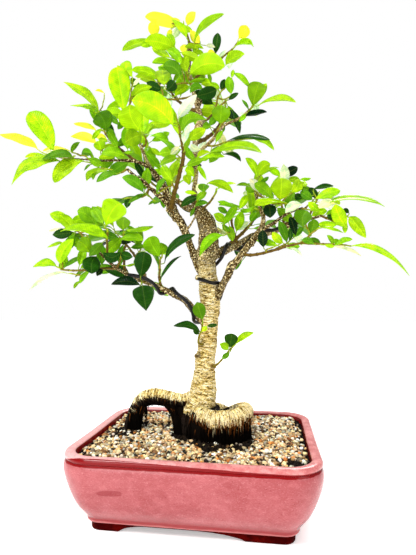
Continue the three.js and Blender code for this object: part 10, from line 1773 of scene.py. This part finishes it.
    "back_left_low_shoot": {"t": [[[-58.49, -22, 246.9, 2.15], [-66.25, -8, 257.31, 1.98], [-76.73, 10, 269.41, 1.82], [-88.91, 28, 282.37, 1.7], [-102.25, 44, 294.65, 1.5], [-113.31, 56, 305.67, 1.33]], [[-88.91, 28, 282.37, 1.36], [-88.26, 33.87, 285.08, 1.06], [-87.64, 39.44, 288.38, 0.76], [-87.06, 44.66, 292.21, 0.75], [-86.52, 49.52, 296.49, 0.75]], [[-113.31, 56, 305.67, 1.07], [-118.09, 58.73, 309.13, 0.83], [-122.56, 61.28, 313.11, 0.75], [-126.7, 63.65, 317.52, 0.75], [-130.52, 65.83, 322.3, 0.75]]],
        "l": [
            [-87.9, 37.1, 287, -89.1, 43.1, 285.2, -92.8, 56.4, 277.7, -94.2, 66.9, 266.1, 0.9, 0.372, 0.227, 14.3, "M"],
            [-87.7, 39.2, 288.2, -89.7, 39.9, 293.6, -96, 41.3, 312.1, -108.3, 46.6, 326.4, 0.491, 0.865, 0.102, 18.1, "G"],
            [-87.4, 41.2, 289.6, -82, 47.4, 290.6, -68.8, 61.6, 291.5, -56.9, 76, 286.7, 0.728, -0.662, -0.176, 17.8, "L"],
            [-87.2, 43.1, 291.1, -87.9, 50.3, 290.2, -90.6, 69.1, 287.2, -91.4, 86, 278, 0.961, 0.169, 0.218, 18.6, "M"],
            [-87, 45, 292.5, -92, 47.6, 298.8, -104.9, 53.5, 312.4, -119.6, 62.1, 322.3, 0.605, 0.758, 0.244, 18.1, "K"],
            [-86.8, 46.8, 294.1, -86.5, 52.6, 295.5, -84.6, 74.5, 296.3, -84, 96, 291.2, 0.973, -0.076, -0.217, 18.7, "D"],
            [-120.6, 60.2, 311.4, -128.7, 60.8, 309.3, -144.6, 61.7, 303.2, -158.3, 62.9, 293.3, 0.021, 0.995, 0.096, 16.7, "K"],
            [-122.1, 61, 312.7, -123.1, 69.4, 312.9, -124.9, 86.1, 311.4, -127.2, 102, 306.5, 0.984, 0.094, -0.153, 14.7, "M"],
            [-123.4, 61.8, 314, -130.6, 62.4, 314.3, -152.8, 65.2, 313.9, -174.3, 66, 307.6, 0.126, 0.941, -0.314, 22.7, "M"],
            [-124.8, 62.6, 315.5, -129.8, 58.3, 319.3, -144.6, 45.9, 323.8, -159.8, 33.3, 323, -0.64, 0.768, 0.011, 17.1, "M"],
            [-126.1, 63.3, 316.9, -131.7, 66.5, 317.8, -151, 77.6, 320.2, -169.5, 87.5, 312.3, 0.495, 0.866, -0.07, 18.7, "L"],
            [-127.4, 64.1, 318.4, -130, 60.4, 326.1, -136.8, 51.2, 340.1, -145, 38.9, 350.7, -0.861, 0.501, -0.089, 17.6, "L"],
            [-128.7, 64.8, 320, -129.1, 70, 321.8, -130.5, 86.2, 323, -131.5, 102.2, 320.2, 0.989, 0.081, 0.125, 14.1, "G"],
            [-129.9, 65.5, 321.5, -136.1, 68.6, 326.2, -149.4, 76.1, 331.2, -164.1, 82.5, 329.8, 0.409, 0.881, -0.237, 16.4, "M"],
            [-87.1, 44.7, 292.2, -78.8, 41.7, 291.8, -63.2, 39.7, 292.5, -48.7, 41.7, 291.7, -0.003, 0.12, -0.993, 16.4, "G"],
            [-61.1, -17.3, 250.4, -60.7, -5.3, 248.2, -48.8, -4.3, 240.8, -39, 0.2, 231.8, -0.576, -0.13, -0.807, 10.5, "G"],
            [-113.3, 56, 305.7, -115.3, 60, 301.8, -119.7, 60.6, 288.1, -120.6, 64.7, 274.1, -0.955, 0.2, 0.217, 11.8, "M"],
            [-87.1, 44.7, 292.2, -86.5, 41.7, 297.5, -85.3, 38.7, 309.6, -87.1, 37.6, 321.8, 0.533, 0.832, 0.152, 10.2, "G"],
        ]},
}
# leaf colour classes, partly the leaves' own colour and partly painted light: Y and L are young leaves brightened as
# painted backlight, G and M are mid greens, D and K are old leaves darkened as painted shade, and W are pale leaves
# painted as glare
TINTS = {
    "Y": srgb(236, 240, 62), "L": srgb(168, 214, 10), "G": srgb(132, 188, 6), "M": srgb(92, 152, 2), "D": srgb(30, 80, 2),
    "K": srgb(2, 38, 2), "W": srgb(224, 238, 202),
}
OUT_T = [0, 0.03, 0.08, 0.16, 0.26, 0.38, 0.5, 0.62, 0.74, 0.84, 0.915, 0.965, 1.0]
OUT_W = [0.03, 0.12, 0.30, 0.58, 0.82, 0.965, 1.0, 0.955, 0.80, 0.555, 0.30, 0.12, 0.015]
# the same outline for a leaf widest near its tip, and for one widest near its stalk
OUT_TIP = [0.03, 0.10, 0.22, 0.42, 0.62, 0.80, 0.92, 1.0, 0.98, 0.88, 0.70, 0.48, 0.06]
OUT_STALK = [0.06, 0.36, 0.64, 0.90, 1.0, 0.98, 0.90, 0.77, 0.58, 0.38, 0.21, 0.09, 0.015]
BLUNT = {
    ("left_tip_shoot", 1): 1.0, ("tall_leaf_shoot", 3): 0.8, ("crown_outer_right_shoot", 1): 0.9, ("low_left_front_shoot", 0): 0.9,
    ("low_left_upright_shoot", 0): 0.9, ("low_left_hanging_shoot", 0): 0.6, ("low_left_hanging_shoot", 1): -0.8, ("front_shoot", 1): 0.3,
    ("centre_left_shoot", 1): 0.4, ("left_high_shoot", 0): 0.0, ("left_tip_shoot", 4): 0.0, ("right_outer_shoot", 2): 0.0,
}
CROSS = np.array([-1, -0.82, -0.55, -0.26, -0.08, 0.08, 0.26, 0.55, 0.82, 1.0])


def leaf_tint(kind, rng):
    c = TINTS[kind][:3]
    b = rng.uniform(0.86, 1.14)
    h = rng.uniform(-0.10, 0.08)
    return (min(0.95, c[0] * b * (1 + h)), min(0.95, c[1] * b), max(0.004, c[2] * b * (1 - h)))


def blade(geo, d, rng, tint, blunt):
    B, M, T, S = (np.array(d[k : k + 3]) for k in (3, 6, 9, 12))
    W = d[15]
    C = 2 * M - (B + T) / 2
    t = np.unique(np.concatenate([np.array([0, 0.03, 0.08]), np.linspace(0.15, 0.85, 9 if W > 9 else 7), np.array([0.905, 0.95, 0.98, 1.0])]))
    tt = t[:, None]
    P = B * (1 - tt) ** 2 + C * 2 * tt * (1 - tt) + T * tt**2
    D = unit(2 * (1 - tt) * (C - B) + 2 * tt * (T - C))
    side = unit(S - D * (D @ S)[:, None])
    length = float(np.linalg.norm(np.diff(P, axis=0), axis=1).sum())
    tw = rng.uniform(-0.28, 0.28) * (t - 0.4)
    up = np.cross(side, D)
    side, up = side * np.cos(tw)[:, None] + up * np.sin(tw)[:, None], up * np.cos(tw)[:, None] - side * np.sin(tw)[:, None]
    half = (np.interp(t, OUT_T, OUT_W) * (1 - abs(blunt)) + np.interp(t, OUT_T, OUT_TIP if blunt > 0 else OUT_STALK) * abs(blunt)) * W / 2
    a, b = rng.uniform(0.22, 0.46), rng.uniform(0.12, 0.34)
    ph, fr, am = rng.uniform(0, 6.28), rng.uniform(1.3, 2.3), rng.uniform(0.02, 0.07)
    ph2 = rng.uniform(0, 6.28)
    v = CROSS[None, :]
    hw = half[:, None]
    lift = hw * (a * np.abs(v) - b * v**2)
    lift = lift + am * hw * np.sin(2 * np.pi * fr * tt + np.where(v > 0, ph, ph2)) * v**2
    lift = lift - 0.05 * length * (tt - 0.5) ** 3 * 4 * rng.uniform(0, 1)
    lift = lift - hw * (0.62 * a - 0.42 * b)
    edge = 1 - np.abs(v) ** 3
    mid = np.exp(-((v * hw / 0.7) ** 2))
    th = 0.06 + 0.12 * edge
    top = lift + th - 0.14 * mid * (hw > 1)
    bot = lift - th - (0.12 + 0.30 * (1 - tt) ** 0.6) * mid
    base = P[:, None, :] + side[:, None, :] * (v * hw)[:, :, None]
    vt = base + up[:, None, :] * top[:, :, None]
    vb = (base + up[:, None, :] * bot[:, :, None])[:, ::-1, :]
    n, m = len(t), len(CROSS)
    ring_v = np.concatenate([vt, vb], axis=1).reshape(-1, 3)
    k = 2 * m
    f = []
    for i in range(n - 1):
        for j in range(k):
            j2 = (j + 1) % k
            f.append((i * k + j, i * k + j2, (i + 1) * k + j2, (i + 1) * k + j))
    f.append(tuple(range(k - 1, -1, -1)))
    f.append(tuple((n - 1) * k + j for j in range(k)))
    lu = np.broadcast_to(tt * length, (n, k))
    lv = np.concatenate([v * hw, (v * hw)[:, ::-1]], axis=1)
    sd = np.concatenate([np.ones((n, m)), np.zeros((n, m))], axis=1)
    uv = np.stack([lu, lv, sd], 2).reshape(-1, 3)
    geo.add(ring_v, f, 0, tint=tint, leafuv=uv)
    return D[0], up[0], length


def stem_tint(r, young):
    old = np.array(srgb(106, 82, 22)[:3])
    mid = np.array(srgb(150, 140, 34)[:3])
    new = np.array(srgb(170, 196, 30)[:3])
    if young:
        return new
    f = float(smooth(0.7, 1.15, r))
    return (new * (1 - f) + mid * f) if r < 1.15 else mid + (old - mid) * float(smooth(1.15, 1.7, r))


def shoot(name, data, seed):
    rng = random.Random(seed)
    geo = Geo("tint", "leafuv")
    for tw in data["t"]:
        line = catmull(tw, 1.5)
        t, a, b = frames(line)
        s = np.concatenate([[0], np.cumsum(np.linalg.norm(np.diff(line[:, :3], axis=0), axis=1))])
        gap = rng.uniform(6.5, 10)
        off = rng.uniform(0, gap)
        knot = np.exp(-(((s + off) % gap - gap / 2) / 0.9) ** 2)
        rad = line[:, 3] * (0.94 + 0.30 * knot) + 0.05
        line[:, :3] += a * (0.35 * np.sin(np.pi * (s + off) / gap))[:, None]
        # a pointed bud closes each shoot
        end = line[-1].copy()
        tip = [end + np.append(t[-1] * q, 0) for q in (0.9, 2.2, 3.4)]
        line = np.vstack([line, tip])
        rad = np.concatenate([rad, [rad[-1] * 0.95, rad[-1] * 0.6, 0.08]])
        v, f = tube(line, rad, 9 if max(rad) > 1.4 else 7)
        sides = len(v) // len(line)
        cols = np.array([stem_tint(r, i > len(line) - 5) for i, r in enumerate(np.maximum.accumulate(rad[::-1])[::-1])])
        cols = cols * (1 - 0.35 * np.concatenate([knot, [0, 0, 0]]))[:, None]
        geo.add(v, f, 1, tint=np.repeat(cols, sides, axis=0))
    for j, lf in enumerate(data["l"]):
        tint = leaf_tint(lf[16], rng)
        usual = abs(math.sin(12.9898 * lf[3] + 78.233 * lf[5])) * (0.6 if lf[15] > 15 else 0.35)
        D, up, length = blade(geo, lf, rng, tint, BLUNT.get((name, j), usual))
        A, B = np.array(lf[0:3]), np.array(lf[3:6])
        st = B - A
        ln = np.linalg.norm(st)
        if ln < 0.5:
            continue
        st = st / ln
        sag = np.array([0, 0, -0.05 * ln])
        pts = [A - st * 0.7, A + st * ln * 0.5 + sag, B - up * 0.2, B + D * min(3.0, 0.1 * length) - up * 0.35]
        p = catmull([list(q) + [0] for q in pts], 1.6)
        r = np.interp(np.linspace(0, 1, len(p)), [0, 0.12, 0.8, 1], [0.85, 0.58, 0.5, 0.2])
        v, f = tube(p, r, 7)
        st_c = 0.6 * np.array(srgb(166, 190, 40)[:3]) + 0.4 * np.array(tint)
        geo.add(v, f, 1, tint=st_c)
    put(name.replace("_shoot", "_foliage").replace("_sprout", "_sprout_foliage"), geo.mesh(name + "_m"), [LEAF, STEM], [name])


for i, (name, data) in enumerate(SHOOTS.items()):
    shoot(name, data, 1000 + i)
